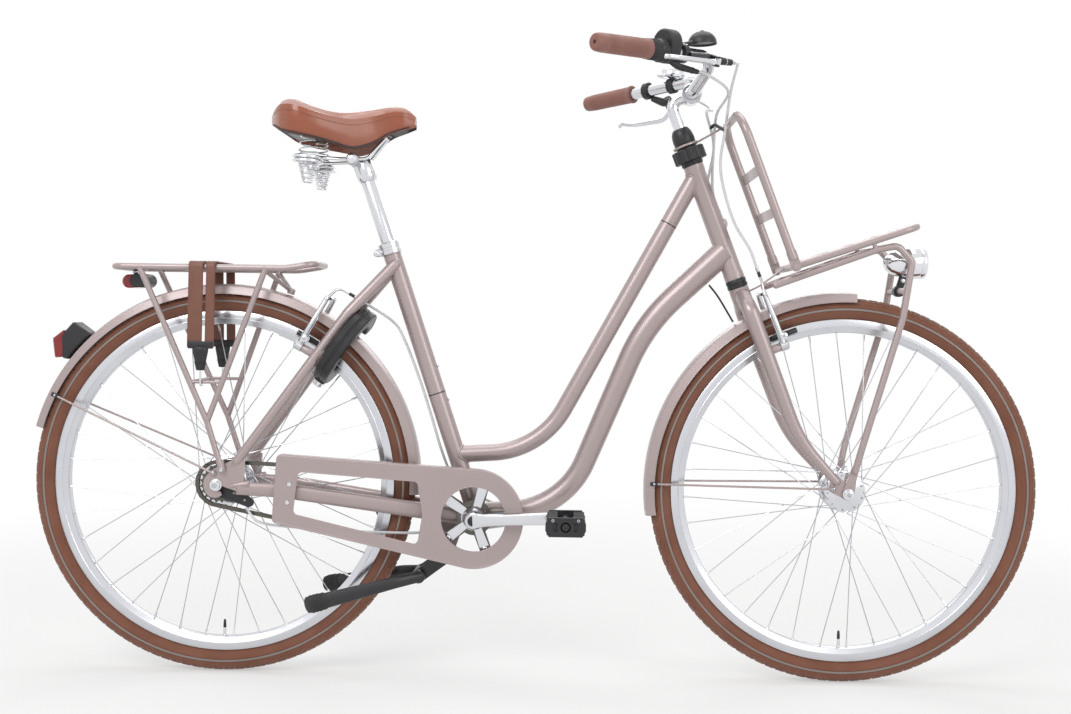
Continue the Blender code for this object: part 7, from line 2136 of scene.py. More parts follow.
    def bell_lever(self, place: Matrix) -> Piece:
        """The bell's thumb lever with its knob.

        Args:
            place: Where the shape stands, and which way it points.

        Returns:
            The piece with its shapes.
        """
        piece = Piece("bell_thumb_lever", STEER)
        middle = place @ shift(z=0.0150 + 0.0003 + 0.0015)
        outline = hull((0, 0, 0.007), (0.004, 0.030, 0.0045))
        piece.add(plate(outline, 0.003, middle, [circle(0, 0, 0.0033)], 0.0006), CHROME)
        piece.add(ball(0.0053, middle @ shift(0.004, 0.034, 0.001), 12), CHROME)
        return piece

    def lever(self, side: str) -> Piece:
        """A polished lever blade, flattened towards its hooked end.

        Args:
            side: "left" or "right".

        Returns:
            The piece with its shapes.
        """
        piece = Piece(f"{side}_lever_blade", STEER)
        place = bar_place(side, *BRACKETS[side])
        pivot = place @ Matrix.Translation(ahead(side, -self.lever_back, self.lever_forward, 0))
        piece.add(ring(0.0065, 0.0033, -0.005, 0.005, pivot, 0.0008, 40), POLISHED)
        spots = [(-self.lever_back + 0.005, self.lever_forward + 0.001, 0), (-0.010, 0.066, 0, 0.04),
                 (0.070, 0.064, 0, 0.12), (0.094, 0.056, -0.001, 0.012), (0.101, 0.060, -0.001)]
        path = bend([(*(place @ ahead(side, *spot[:3])), *spot[3:]) for spot in spots], 0.08)
        piece.add(tube(path, [(0, 0.0046), (0.12, 0.0048), (0.5, 0.0046), (0.85, 0.0040), (1, 0.0039)], 28),
                  POLISHED)
        piece.add(ball(0.0040, Matrix.Translation(path[-1])), POLISHED)
        return piece


# Rim brakes


@dataclass
class BrakeArm:
    """One linear-pull arm on its boss, with its pad, spring and fixings."""

    end: str
    side: str
    lateral: int
    place: Matrix
    noodle: tuple[Triple, Triple]
    pad_shift: float
    spread: float = 0.044
    length: float = 0.104

    def spot(self, x: float, y: float, z: float) -> Vector:
        """A point in the bosses' place, on this arm's side."""
        return boss_place(self.end) @ Vector((x, self.lateral * y, z))

    def build(self) -> None:
        """Builds the arm on its own body."""
        piece = Piece(f"{self.end}_{self.side}_brake_arm", self.place)
        spread = self.spread
        axis = (self.spot(1, spread, 0) - self.spot(0, spread, 0)).normalized()
        hub = aimed(self.spot(0, spread, 0), axis)
        piece.add(ring(0.0085, 0.0046, -0.007, 0.007, hub, 0.0008), ALLOY)
        piece.add(ring(0.0070, 0.0046, -0.0072, -0.0060, hub, 0.0004), BLACK_PLASTIC)
        piece.add(socket_bolt(aimed(self.spot(0.0071, spread, 0), axis), 0.0068, 0.0030), CHROME)
        path = curved([self.spot(0, spread, 0.003), self.spot(0, spread + 0.0012, 0.030),
                       self.spot(0, spread + 0.0005, 0.055), self.spot(0, 0.0385, self.length)], 8)
        piece.add(tube(path, [(0, 0.0065), (0.5, 0.0058), (0.9, 0.0046), (1, 0.0042)], 24), ALLOY)
        level = 0.317 - 0.007 - 0.2925
        inner = 0.0125 + 0.0018
        outer = inner + 0.011
        place = boss_place(self.end) @ shift(self.pad_shift, self.lateral * (inner + 0.0035), level)
        piece.add(block((0.052, 0.0068, 0.0098), place, 0.0014), BLACK_RUBBER)
        for x in (-0.017, -0.006, 0.006, 0.017):
            groove = place @ shift(x, -self.lateral * 0.0030, 0)
            piece.add(block((0.0016, 0.0010, 0.0100), groove, 0.0003), BLACK_STEEL)
        back = boss_place(self.end) @ shift(self.pad_shift, self.lateral * (inner + 0.0087), level)
        piece.add(block((0.048, 0.0042, 0.0078), back, 0.0016), BLACK_PLASTIC)
        reach = self.pad_shift / 2
        bolt = [self.spot(reach, outer - 0.003, level), self.spot(reach, spread + 0.013, level)]
        piece.add(rod(*bolt, 0.0032, 20, edge=0.0004), STAINLESS)
        outward = (bolt[1] - bolt[0]).normalized()
        for start, end, radius in ((-0.0100, -0.0072, 0.0066), (-0.0070, -0.0052, 0.0058),
                                   (0.0052, 0.0070, 0.0066)):
            piece.add(rod(bolt[0] + outward * (spread + start - outer + 0.003),
                          bolt[0] + outward * (spread + end - outer + 0.003), radius, 28, edge=0.0006),
                      CHROME)
        piece.add(nut(aimed(bolt[0] + outward * (spread + 0.0070 - outer + 0.003), outward), 0.0058, 0.0040),
                  CHROME)
        spring = curved([self.spot(-0.0062, spread + 0.0085, 0.002),
                         self.spot(-0.0060, spread + 0.0100, 0.030),
                         self.spot(-0.0056, spread + 0.0062, 0.058),
                         self.spot(-0.0030, spread - 0.0010, 0.068)], 8)
        piece.add(tube(spring, 0.0009, 8), STAINLESS)
        if self.side == "right":
            self.pipe(piece)
        else:
            clamp = aimed(self.spot(-0.004, 0.0385, self.length - 0.004), axis)
            piece.add(rod((0, 0, 0), (0, 0, 0.009), 0.0044, 24, edge=0.0008), CHROME, clamp)
        body = f"{self.end}_arm_{self.side}_body"
        piece.done(body, "aluminium", f"{self.end}_brake_arm_{self.side}")

    def pipe(self, piece: Piece) -> None:
        """Adds the cable's bent pipe and the rubber bellows over the wire between the arms.

        Args:
            piece: The piece that takes the shapes.
        """
        top = self.length - 0.004
        elbow, tip = self.noodle
        path = bend([self.spot(0, 0.040, top), (*self.spot(*elbow), 0.013), self.spot(*tip)], 0.12)
        piece.add(tube(path, 0.0024, 20), POLISHED)
        piece.add(rod(path[-2].lerp(path[-1], 0.5), path[-1], 0.0030, 20, edge=0.0003), BLACK_PLASTIC)
        piece.add(ball(0.0046, Matrix.Translation(path[0])), POLISHED)
        low, high = self.spot(0, 0.038, top), self.spot(0, 0.002, top)
        profile = [(0.0010, 0.0)]
        count = 9
        for i in range(count):
            size = 0.0038 - 0.0012 * i / count
            profile += [(size - 0.0010, i / count), (size, (i + 0.45) / count),
                        (size - 0.0008, (i + 0.9) / count)]
        profile.append((0.0010, 1.0))
        length = (high - low).length
        piece.add(turned([(r, share * length) for r, share in profile], aimed(low, high - low), 24),
                  BLACK_RUBBER)


def build_brakes() -> None:
    """Builds the four brake arms."""
    noodles = {"front": ((0.004, 0.031, 0.119), (0.004, 0.031, 0.142)),
               "rear": ((-0.006, 0.020, 0.1275), (-0.040, 0.020, 0.1275))}
    for end, place, pad_shift in (("front", STEER, 0.010), ("rear", BIKE, -0.0065)):
        for side, sign in SIDES.items():
            lateral = sign if end == "front" else -sign
            BrakeArm(end, side, lateral, place, noodles[end], pad_shift).build()


# Racks and fittings


@dataclass
class RearRack:
    """The tubular rack over the rear wheel with its straps, lamp and reflector."""

    height: float = 0.7514
    half: float = 0.060
    low: float = -0.1955
    high: float = 0.1749
    hook_height: float = 0.543
    strap_thickness: float = 0.0025

    def build(self) -> None:
        """Builds the rack and what is fixed to it."""
        self.rack().done("frame_body", "sand_paint", "rear_rack")
        self.strap().done("frame_body", "brown_rubber", "luggage_strap")
        self.lamp().done("frame_body", "red_lens", "tail_lamp")
        self.reflector().done("frame_body", "red_lens", "rear_reflector")

    def leg_point(self, x: float, sign: int, z: float) -> Vector:
        """A point of a leg that leans from the loop towards the lock's side."""
        share = (self.height - z) / (self.height - 0.4712)
        return Vector((x + (-0.0162 - x) * share, sign * (0.060 + 0.0135 * share), z))

    def rack(self) -> Piece:
        """The closed loop, its cross rods and slats, four legs, the arch and the eyes.

        Returns:
            The piece with its shapes.
        """
        piece = Piece("rear_rack_tubes")
        y, z, low, high = self.half, self.height, self.low, self.high
        loop = bend([(0, y, z), (0.1229, y, z, 0.10), (high, y, z + 0.009, 0.022),
                     (high, -y, z + 0.009, 0.022),
                     (0.1229, -y, z, 0.10), (low, -y, z, 0.022), (low, y, z, 0.022), (-0.02, y, z)])
        piece.add(tube(loop, 0.0058, 20, closed=True), PAINT)
        for x in (-0.1655, -0.085, -0.005, 0.090):
            piece.add(rod((x, -y, z), (x, y, z), 0.0035, 16), PAINT)
        for sign in SIDES.values():
            piece.add(block((0.3104, 0.018, 0.003), shift(-0.0353, sign * 0.022, z + 0.0045), 0.0009), PAINT)
            piece.add(rod((0.082, sign * y, z - 0.003), REAR_AXLE + polar(0.375, 71.3), 0.004, 16), PAINT)
            self.legs(piece, sign)
        arch = REAR_AXLE + polar(0.3673, 71.3)
        outward = polar(1, 71.3)
        piece.add(rod(arch + outward * 0.002, arch + outward * 0.012, 0.007, 24, edge=0.0008), PAINT)
        piece.add(socket_bolt(aimed(arch + outward * 0.0118, outward), 0.0046, 0.0018), STAINLESS)
        ends = [self.leg_point(-0.1455, sign, self.hook_height) for sign in (-1, 1)]
        piece.add(rod(*ends, 0.003, 14), PAINT)
        return piece

    def legs(self, piece: Piece, sign: int) -> None:
        """Adds one side's two legs, which meet above the axle, with the eye and its bolt.

        Args:
            piece: The piece that takes the shapes.
            sign: 1 for the left side, -1 for the right.
        """
        knee = self.leg_point(0, sign, 0.4712)
        foot = (0.0117, sign * 0.0768, 0.3852)
        rear_top = self.leg_point(-0.1455, sign, self.height)
        front_top = self.leg_point(0.0853, sign, self.height)
        piece.add(tube(bend([rear_top, (*knee, 0.05), foot], 0.06), 0.0054, 18), PAINT)
        piece.add(tube([front_top, front_top.lerp(knee, 0.5), knee], 0.0054, 18), PAINT)
        for top in (rear_top, front_top):
            piece.add(ball(0.0062, Matrix.Translation(top) @ Matrix.Diagonal((1, 1, 0.9, 1)), 10), PAINT)
        rail = [self.leg_point(x, sign, self.hook_height) for x in (-0.1455, 0.0853)]
        piece.add(rod(rail[0], rail[1], 0.003, 14), PAINT)
        outline = hull((0.0117, 0.3852, 0.0065), (0.0095, 0.3995, 0.0052))
        piece.add(side_plate(outline, 0.0085, sign * 0.0758, edge=0.0010), PAINT)
        piece.add(socket_bolt(aimed((0.0117, sign * 0.0803, 0.3852), (0, sign, 0)), 0.0042, 0.0032), CHROME)

    def strap(self) -> Piece:
        """Two brown rubber bands over the rack, a clip at each end and the cones with their hooks.

        Returns:
            The piece with its shapes.
        """
        piece = Piece("rubber_luggage_strap")
        outline = [(0.078, 0.6064), (0.0740, 0.680), (0.0700, 0.7514), (0.0694, 0.7570), (0.0665, 0.7600),
                   (0.0600, 0.7614)]
        points = outline + [(-y, z) for y, z in outline[::-1]]
        for x, width in ((-0.039, 0.026), (-0.012, 0.016)):
            lying = Matrix(((0, 0, 1, x), (1, 0, 0, 0), (0, 1, 0, 0), (0, 0, 0, 1)))
            piece.add(plate(ribbon(points, self.strap_thickness), width, lying, edge=0.0005), STRAP)
            for edge in (-1, 1):
                bead = [Vector((x + edge * (width / 2 - 0.0011), y, z)) for y, z in points]
                piece.add(tube(bead, 0.0016, 8), STRAP)
        for sign in SIDES.values():
            piece.add(block((0.046, 0.0064, 0.0135), shift(-0.028, sign * 0.0778, 0.6104), 0.0016),
                      BLACK_PLASTIC)
            profile = [(0, 0.0), (0.0050, 0.0), (0.0062, 0.0010), (0.0078, 0.0100), (0.0086, 0.0180),
                       (0.0112, 0.0340),
                       (0.0115, 0.0400), (0.0105, 0.0420), (0, 0.0420)]
            piece.add(turned(profile,
                             shift(-0.028, sign * 0.0775, 0.5644) @ Matrix.Diagonal((1.25, 0.7, 1, 1)), 28),
                      BLACK_PLASTIC)
            for level in (0.0125, 0.0150):
                piece.add(ring(0.0093, 0.0076, level, level + 0.0010,
                               shift(-0.028, sign * 0.0775, 0.5644) @ Matrix.Diagonal((1.25, 0.7, 1, 1)),
                               0.0003, 24),
                          BLACK_RUBBER)
            hook = bend([(-0.028, sign * 0.0775, 0.5700), (-0.028, sign * 0.0768, 0.5372, 0.004),
                         (-0.028, sign * 0.0634, 0.5372, 0.004), (-0.028, sign * 0.0634, 0.545)], 0.3)
            piece.add(tube(hook, 0.0018, 12), CHROME)
        return piece

    def lamp(self) -> Piece:
        """A red tail lamp with a dark housing, held under the rack by two posts.

        Returns:
            The piece with its shapes.
        """
        piece = Piece("rack_tail_lamp")
        outer = hull((-0.1755, 0.7249, 0.0125), (-0.1535, 0.7264, 0.0125), sides=64)
        piece.add(side_plate(outer, 0.058, 0, edge=0.0030), RED_LENS)
        back = hull((-0.1622, 0.7260, 0.0122), (-0.1535, 0.7264, 0.0129), sides=64)
        piece.add(side_plate(back, 0.0604, 0, edge=0.0016), BLACK_PLASTIC)
        for level in (-0.006, 0.0, 0.006):
            rib = shift(-0.1877 + abs(level) * 0.12, 0, 0.7249 + level)
            piece.add(block((0.0012, 0.046, 0.0014), rib, 0.0003), RED_LENS)
        for sign in SIDES.values():
            piece.add(rod((-0.1655, sign * 0.018, 0.7320), (-0.1655, sign * 0.018, 0.7476), 0.004, 20),
                      BLACK_STEEL)
            piece.add(nut(shift(-0.1655, sign * 0.018, 0.7405), 0.0058, 0.0032), STAINLESS)
        return piece

    def reflector(self) -> Piece:
        """The lamp on the mudguard: a black shell round a red lens.

        Returns:
            The piece with its shapes.
        """
        piece = Piece("mudguard_reflector")
        arc = [REAR_AXLE + polar(0.3675, 132.6 + 2.5 * i) for i in range(5)]
        shell = [(p.x, p.z) for p in arc] + [(-0.3030, 0.5810), (-0.3045, 0.6230), (-0.2810, 0.6494)]
        piece.add(side_plate(shell, 0.0416, 0, edge=0.0030), BLACK_PLASTIC)
        lens = [(-0.3000, 0.5835), (-0.3165, 0.5812), (-0.3203, 0.6175), (-0.2985, 0.6345), (-0.2960, 0.6130)]
        piece.add(side_plate(lens, 0.0394, 0, edge=0.0024), RED_LENS)
        for level in range(5):
            share = (level + 0.5) / 5
            x, z = -0.3171 - 0.0034 * share, 0.5850 + 0.0290 * share
            piece.add(block((0.0010, 0.032, 0.0013), shift(x, 0, z), 0.0003), RED_LENS)
        return piece


@dataclass
class RingLock:
    """The frame lock round the rear tyre, with its shackle drawn back."""

    inner: float = 0.052
    outer: float = 0.080
    width: float = 0.0286
    shackle_radius: float = 0.066

    def build(self) -> None:
        """Builds the housing and the shackle."""
        up, forward = Vector((0.585, 0, 0.8110)), Vector((0.8110, 0, -0.585))
        place = axes(REAR_AXLE + up * 0.337 + forward * 0.0305, forward, up)
        self.housing(place).done("frame_body", "black_plastic", "ring_lock")
        self.shackle(place).done("shackle_body", "chrome", "ring_lock_shackle")

    def arc(self, radius: float, low: float, high: float, steps: int = 40) -> list[Pair]:
        """Points on an arc between two angles in degrees, measured from the upper side."""
        turns = [math.radians(low + (high - low) * i / steps) for i in range(steps + 1)]
        return [(radius * math.sin(turn), radius * math.cos(turn)) for turn in turns]

    def sector(self, inner: float, outer: float, low: float, high: float) -> list[Pair]:
        """A band's outline with softly rounded ends.

        Args:
            inner: The inner radius.
            outer: The outer radius.
            low: The angle where it begins, in degrees.
            high: The angle where it ends, in degrees.

        Returns:
            The outline's corners in order.
        """
        middle, half = (outer + inner) / 2, (outer - inner) / 2
        points = self.arc(outer, low, high)
        for end, way in ((high, 1), (low, -1)):
            base = math.radians(end)
            for k in range(1, 8):
                turn = math.pi * k / 8
                reach = middle + way * half * math.cos(turn)
                over = way * 0.35 * half * math.sin(turn)
                points.append((reach * math.sin(base) + over * math.cos(base),
                               reach * math.cos(base) - over * math.sin(base)))
            if way > 0:
                points += self.arc(inner, high, low)
        return points

    def housing(self, place: Matrix) -> Piece:
        """Two shells with a parting line, a silver plate, the key's stub and the mounting screws.

        Args:
            place: Where the shape stands, and which way it points.

        Returns:
            The piece with its shapes.
        """
        piece = Piece("ring_lock_housing", BIKE @ place)
        lying = Matrix(((0, 0, 1, 0), (1, 0, 0, 0), (0, 1, 0, 0), (0, 0, 0, 1)))
        half = self.width / 2
        for level in (-1, 1):
            outline = self.sector(self.inner + 0.0003, self.outer - 0.0003, 130, 410)
            piece.add(plate(outline, half - 0.0006, lying @ shift(z=level * (half / 2 + 0.0001)),
                            edge=0.0022),
                      BLACK_PLASTIC)
        seam = self.sector(self.inner + 0.0016, self.outer - 0.0016, 130, 410)
        piece.add(plate(seam, 0.0030, lying, edge=0.0), BLACK_RUBBER)
        key = Vector((0, 0, -1))
        piece.add(turned([(0.0095, 0), (0.0095, 0.0120), (0.0082, 0.0140), (0.0040, 0.0140), (0.0036, 0.0120),
                          (0, 0.0120)],
                         aimed(key * 0.0785, key), 40), CHROME)
        piece.add(turned([(0.0112, -0.0020), (0.0112, 0.0040), (0.0104, 0.0050), (0.0094, 0.0050),
                          (0.0094, -0.0020)],
                         aimed(key * 0.0785, key), 40, closed=True), BLACK_PLASTIC)
        badge = self.sector(self.inner + 0.0080, self.outer - 0.0080, 200, 246)
        piece.add(plate(badge, 0.0008, lying @ shift(z=-half - 0.0001), edge=0.0003), POLISHED)
        for angle in (262, 330):
            turn = math.radians(angle)
            spot = Vector((-half - 0.0004, 0.066 * math.sin(turn), 0.066 * math.cos(turn)))
            piece.add(socket_bolt(aimed(spot, (-1, 0, 0)), 0.0034, 0.0006), STAINLESS)
        return piece

    def shackle(self, place: Matrix) -> Piece:
        """The round bar inside the housing, with its thumb knob.

        Args:
            place: Where the shape stands, and which way it points.

        Returns:
            The piece with its shapes.
        """
        piece = Piece("lock_shackle", BIKE @ place)
        radius = self.shackle_radius
        path = [Vector((0, radius * math.cos(math.radians(a)), radius * math.sin(math.radians(a))))
                for a in range(-48, 53, 4)]
        piece.add(tube(path, 0.00425, 20), CHROME)
        out = Vector((0, math.cos(math.radians(48)), math.sin(math.radians(48))))
        piece.add(rod(out * 0.066, out * 0.090, 0.0019, 16), STAINLESS)
        piece.add(turned([(0, 0), (0.0050, 0), (0.0062, 0.0012), (0.0062, 0.0086), (0.0050, 0.0100),
                          (0, 0.0100)],
                         aimed(out * 0.0835, out), 32), BLACK_PLASTIC)
        piece.around(block((0.0010, 0.0016, 0.0070), shift(0.0062, 0, 0.0049), 0.0003), BLACK_PLASTIC, 14,
                     aimed(out * 0.0835, out))
        return piece


def build_stand() -> None:
    """Builds the folded two-legged stand with its oval legs, rubber feet and bracket."""
    piece = Piece("two_legged_stand")
    piece.add(across((0.415, 0, 0.222), 0.0226, 0.005, 24, edge=0.0006), STAINLESS)
    piece.add(across((0.366, 0, 0.187), 0.034, 0.0125, 32, edge=0.0015), BLACK_STEEL)
    for sign in SIDES.values():
        ears = hull((0.415, 0.222, 0.0115), (0.368, 0.188, 0.0125))
        piece.add(side_plate(ears, 0.006, sign * 0.0176, edge=0.0012), BLACK_STEEL)
        piece.add(nut(aimed((0.415, sign * 0.0206, 0.222), (0, sign, 0)), 0.0068, 0.0018), STAINLESS)
        leg = bend([(0.370, sign * 0.030, 0.1875), (0.3268, sign * 0.055, 0.1806, 0.05),
                    (0.175, sign * 0.095, 0.145)], 0.06)
        piece.add(tube(leg, [(0, 0.0103), (0.3, 0.0110), (0.8, 0.0145), (1, 0.0150)], 28, 0.42), BLACK_STEEL)
        onward = (leg[-1] - leg[-2]).normalized()
        foot = [leg[-1] - onward * 0.030, leg[-1] - onward * 0.004, leg[-1] - onward * 0.0002]
        piece.add(tube(foot, [(0, 0.0158), (0.85, 0.0162), (1, 0.0130)], 28, 0.46), BLACK_RUBBER)
        for i in range(3):
            band = leg[-1] - onward * (0.008 + 0.006 * i)
            piece.add(tube([band, band + onward * 0.0016], 0.0166, 28, 0.46), BLACK_RUBBER)
    spring = []
    for i in range(121):
        turn = math.tau * 10 * i / 120
        spring.append(Vector((0.3720 + 0.030 * i / 120, 0.0040 * math.cos(turn), 0.1985 + 0.0185 * i / 120
                              + 0.0040 * math.sin(turn))))
    piece.add(tube(spring, 0.0008, 8), STAINLESS)
    piece.done("stand_body", "black_steel", "centre_stand")


@dataclass
class FrontRack:
    """The front rack: an upright back frame, a platform and struts down to the axle."""

    back_x: float = 0.095
    back_half: float = 0.105
    foot: float = 0.421

    def build(self) -> None:
        """Builds the rack and the headlamp that hangs under it."""
        self.rack().done("steering_body", "sand_paint", "front_rack")
        self.headlamp().done("headlamp_body", "chrome", "headlamp")
        wire = Piece("dynamo_wire", STEER)
        wire.add(tube(curved([(-0.0485, 0, 0.4425), (-0.0400, 0, 0.4150), (-0.0304, 0, 0.3628)], 10), 0.0018,
                      14),
                 BLACK_RUBBER)
        wire.done("steering_body", "black_plastic", "lamp_wire")

    def rack(self) -> Piece:
        """All tubes and slats with the screws at their joints.

        Returns:
            The piece with its shapes.
        """
        piece = Piece("front_rack_tubes", STEER)
        x, y, z = self.back_x, self.back_half, self.foot
        arch = bend([(x, -y, z + 0.014), (x, -y, 0.712, 0.045), (x, y, 0.712, 0.045), (x, y, z + 0.014)],
                    0.08)
        piece.add(tube(arch, 0.0078, 24), PAINT)
        deck = bend([(x, -0.072, z), (0.333, -0.072, 0.411, 0.03), (0.333, 0.072, 0.411, 0.03),
                     (x, 0.072, z)], 0.08)
        piece.add(tube(deck, 0.0063, 22), PAINT)
        piece.add(across((x, 0, z), 0.109, 0.0060, 22), PAINT)
        piece.add(across((0.274, 0, 0.310), 0.068, 0.0058, 22), PAINT)
        for level in (0.605, 0.525):
            piece.add(block((0.004, 0.205, 0.018), shift(x, 0, level), 0.0012), PAINT)
            for side in (-0.094, 0.094):
                piece.add(socket_bolt(aimed((x + 0.0020, side, level), (1, 0, 0)), 0.0034, 0.0016), CHROME)
        for place in (0.140, 0.190, 0.240, 0.290):
            level = z - (place - 0.095) / 0.238 * 0.010 + 0.0045
            piece.add(block((0.020, 0.144, 0.003), shift(place, 0, level), 0.0010), PAINT)
            for side in (-0.064, 0.064):
                piece.add(socket_bolt(shift(place, side, level + 0.0014), 0.0028, 0.0012), STAINLESS)
        for sign in SIDES.values():
            self.side(piece, sign)
        strap = ribbon([(0.0188, 0.4063), (0.0365, 0.4083), (0.095, 0.424)], 0.003)
        piece.add(side_plate(strap, 0.016, 0, edge=0.0008), PAINT)
        piece.add(ring(0.0245, 0.0225, 0.6953, 0.6993, Matrix(), 0.0005, 56), PAINT)
        piece.add(rod((0.0235, 0, 0.6973), (0.095, 0, 0.708), 0.002, 14), PAINT)
        return piece

    def side(self, piece: Piece, sign: int) -> None:
        """Adds one side's lug, strut loop, tongue and axle eye.

        Args:
            piece: The piece that takes the shapes.
            sign: 1 for the left side, -1 for the right.
        """
        lug = hull((0.095, 0.421, 0.009), (0.095, 0.447, 0.009))
        piece.add(side_plate(lug, 0.004, sign * 0.105, edge=0.0010), PAINT)
        for level in (0.421, 0.440):
            piece.add(socket_bolt(aimed((0.095, sign * 0.107, level), (0, sign, 0)), 0.0042, 0.0018), CHROME)
        corners = [(0.056, sign * 0.068, 0.4015), (0.250, sign * 0.068, 0.398),
                   (0.2840, sign * 0.068, 0.3915, 0.016),
                   (0.2985, sign * 0.068, 0.356, 0.016), (0.2474, sign * 0.068, 0.2654, 0.10),
                   (0.100, sign * 0.068, 0.072, 0.08), (0.076, sign * 0.0613, 0.0365)]
        path = bend(corners, 0.08)
        piece.add(tube(path, 0.0063, 22), PAINT)
        for end in (path[0], path[-1]):
            piece.add(ball(0.0063, Matrix.Translation(end), 12), PAINT)
        tongue = hull((0.050, 0, 0.0105), (0.0775, 0.0385, 0.0065))
        piece.add(side_plate(tongue, 0.003, sign * 0.0563, [circle(0.050, 0, 0.0051)], 0.0008), PAINT)
        piece.add(rod((0.245, sign * 0.070, 0.398), (0.245, sign * 0.072, 0.414), 0.004, 16), PAINT)

    def headlamp(self) -> Piece:
        """A chromed lamp shell, its reflector bowl with a bulb, a ribbed lens and the foot.

        Returns:
            The piece with its shapes.
        """
        place = Matrix.Translation((0.3011, 0, 0.3545)) @ Matrix.Rotation(HEAD_LEAN, 4, "Y")
        piece = Piece("chrome_headlamp", STEER)
        half = 0.0385
        shell = [(0.0225, half - 0.0010), (0.0262, half - 0.0012), (0.0285, half - 0.005),
                 (0.0285, half - 0.010),
                 (0.0278, half - 0.0115), (0.0285, half - 0.013), (0.0285, half - 0.028),
                 (0.0272, half - 0.040),
                 (0.0239, half - 0.052), (0.0190, 0.0125 - half), (0.0131, 0.005 - half),
                 (0.0060, 0.0008 - half),
                 (0, -half), (0, 0.004 - half), (0.0170, 0.016 - half), (0.0225, half - 0.030)]
        body = place @ ALONG_X
        piece.add(turned(shell, body, 72), CHROME)
        bowl = [(0.0262, half - 0.0030), (0.0240, half - 0.0100), (0.0190, half - 0.0200),
                (0.0100, half - 0.0270),
                (0.0, half - 0.0290)]
        piece.add(turned(bowl + [(0.0, half - 0.0300), (0.0200, half - 0.0212), (0.0266, half - 0.0040)],
                         body, 64), CHROME)
        piece.add(ball(0.0042, body @ shift(z=half - 0.020), 12), CLEAR_LENS)
        lens = [(0, half), (0.0120, half - 0.0002), (0.0225, half - 0.0010), (0.0258, half - 0.0030),
                (0.0236, half - 0.0040), (0, half - 0.0030)]
        piece.add(turned(lens, body, 64), CLEAR_LENS)
        for offset in range(-4, 5):
            tall = 1.8 * math.sqrt(0.0225**2 - (offset * 0.005) ** 2)
            piece.add(block((0.0009, 0.0012, tall), place @ shift(half - 0.0036, offset * 0.005, 0), 0.0003),
                      CLEAR_LENS)
        clasp = shift(0.274, 0, 0.310) @ ACROSS
        piece.add(ring(0.0105, 0.0063, -0.008, 0.008, clasp, 0.0010, 40), BLACK_PLASTIC)
        pivot = Vector((0.274, 0, 0.310))
        seat = place @ Vector((0, 0, -0.0214))
        onward = (seat - pivot).normalized()
        piece.add(rod(pivot + onward * 0.0088, seat + onward * 0.004, 0.0072, 32, edge=0.0010), BLACK_PLASTIC)
        piece.add(socket_bolt(aimed(pivot + onward * 0.020 + Vector((0, -0.0070, 0)), (0, -1, 0)), 0.0040,
                              0.0020), CHROME)
        return piece


# Seat


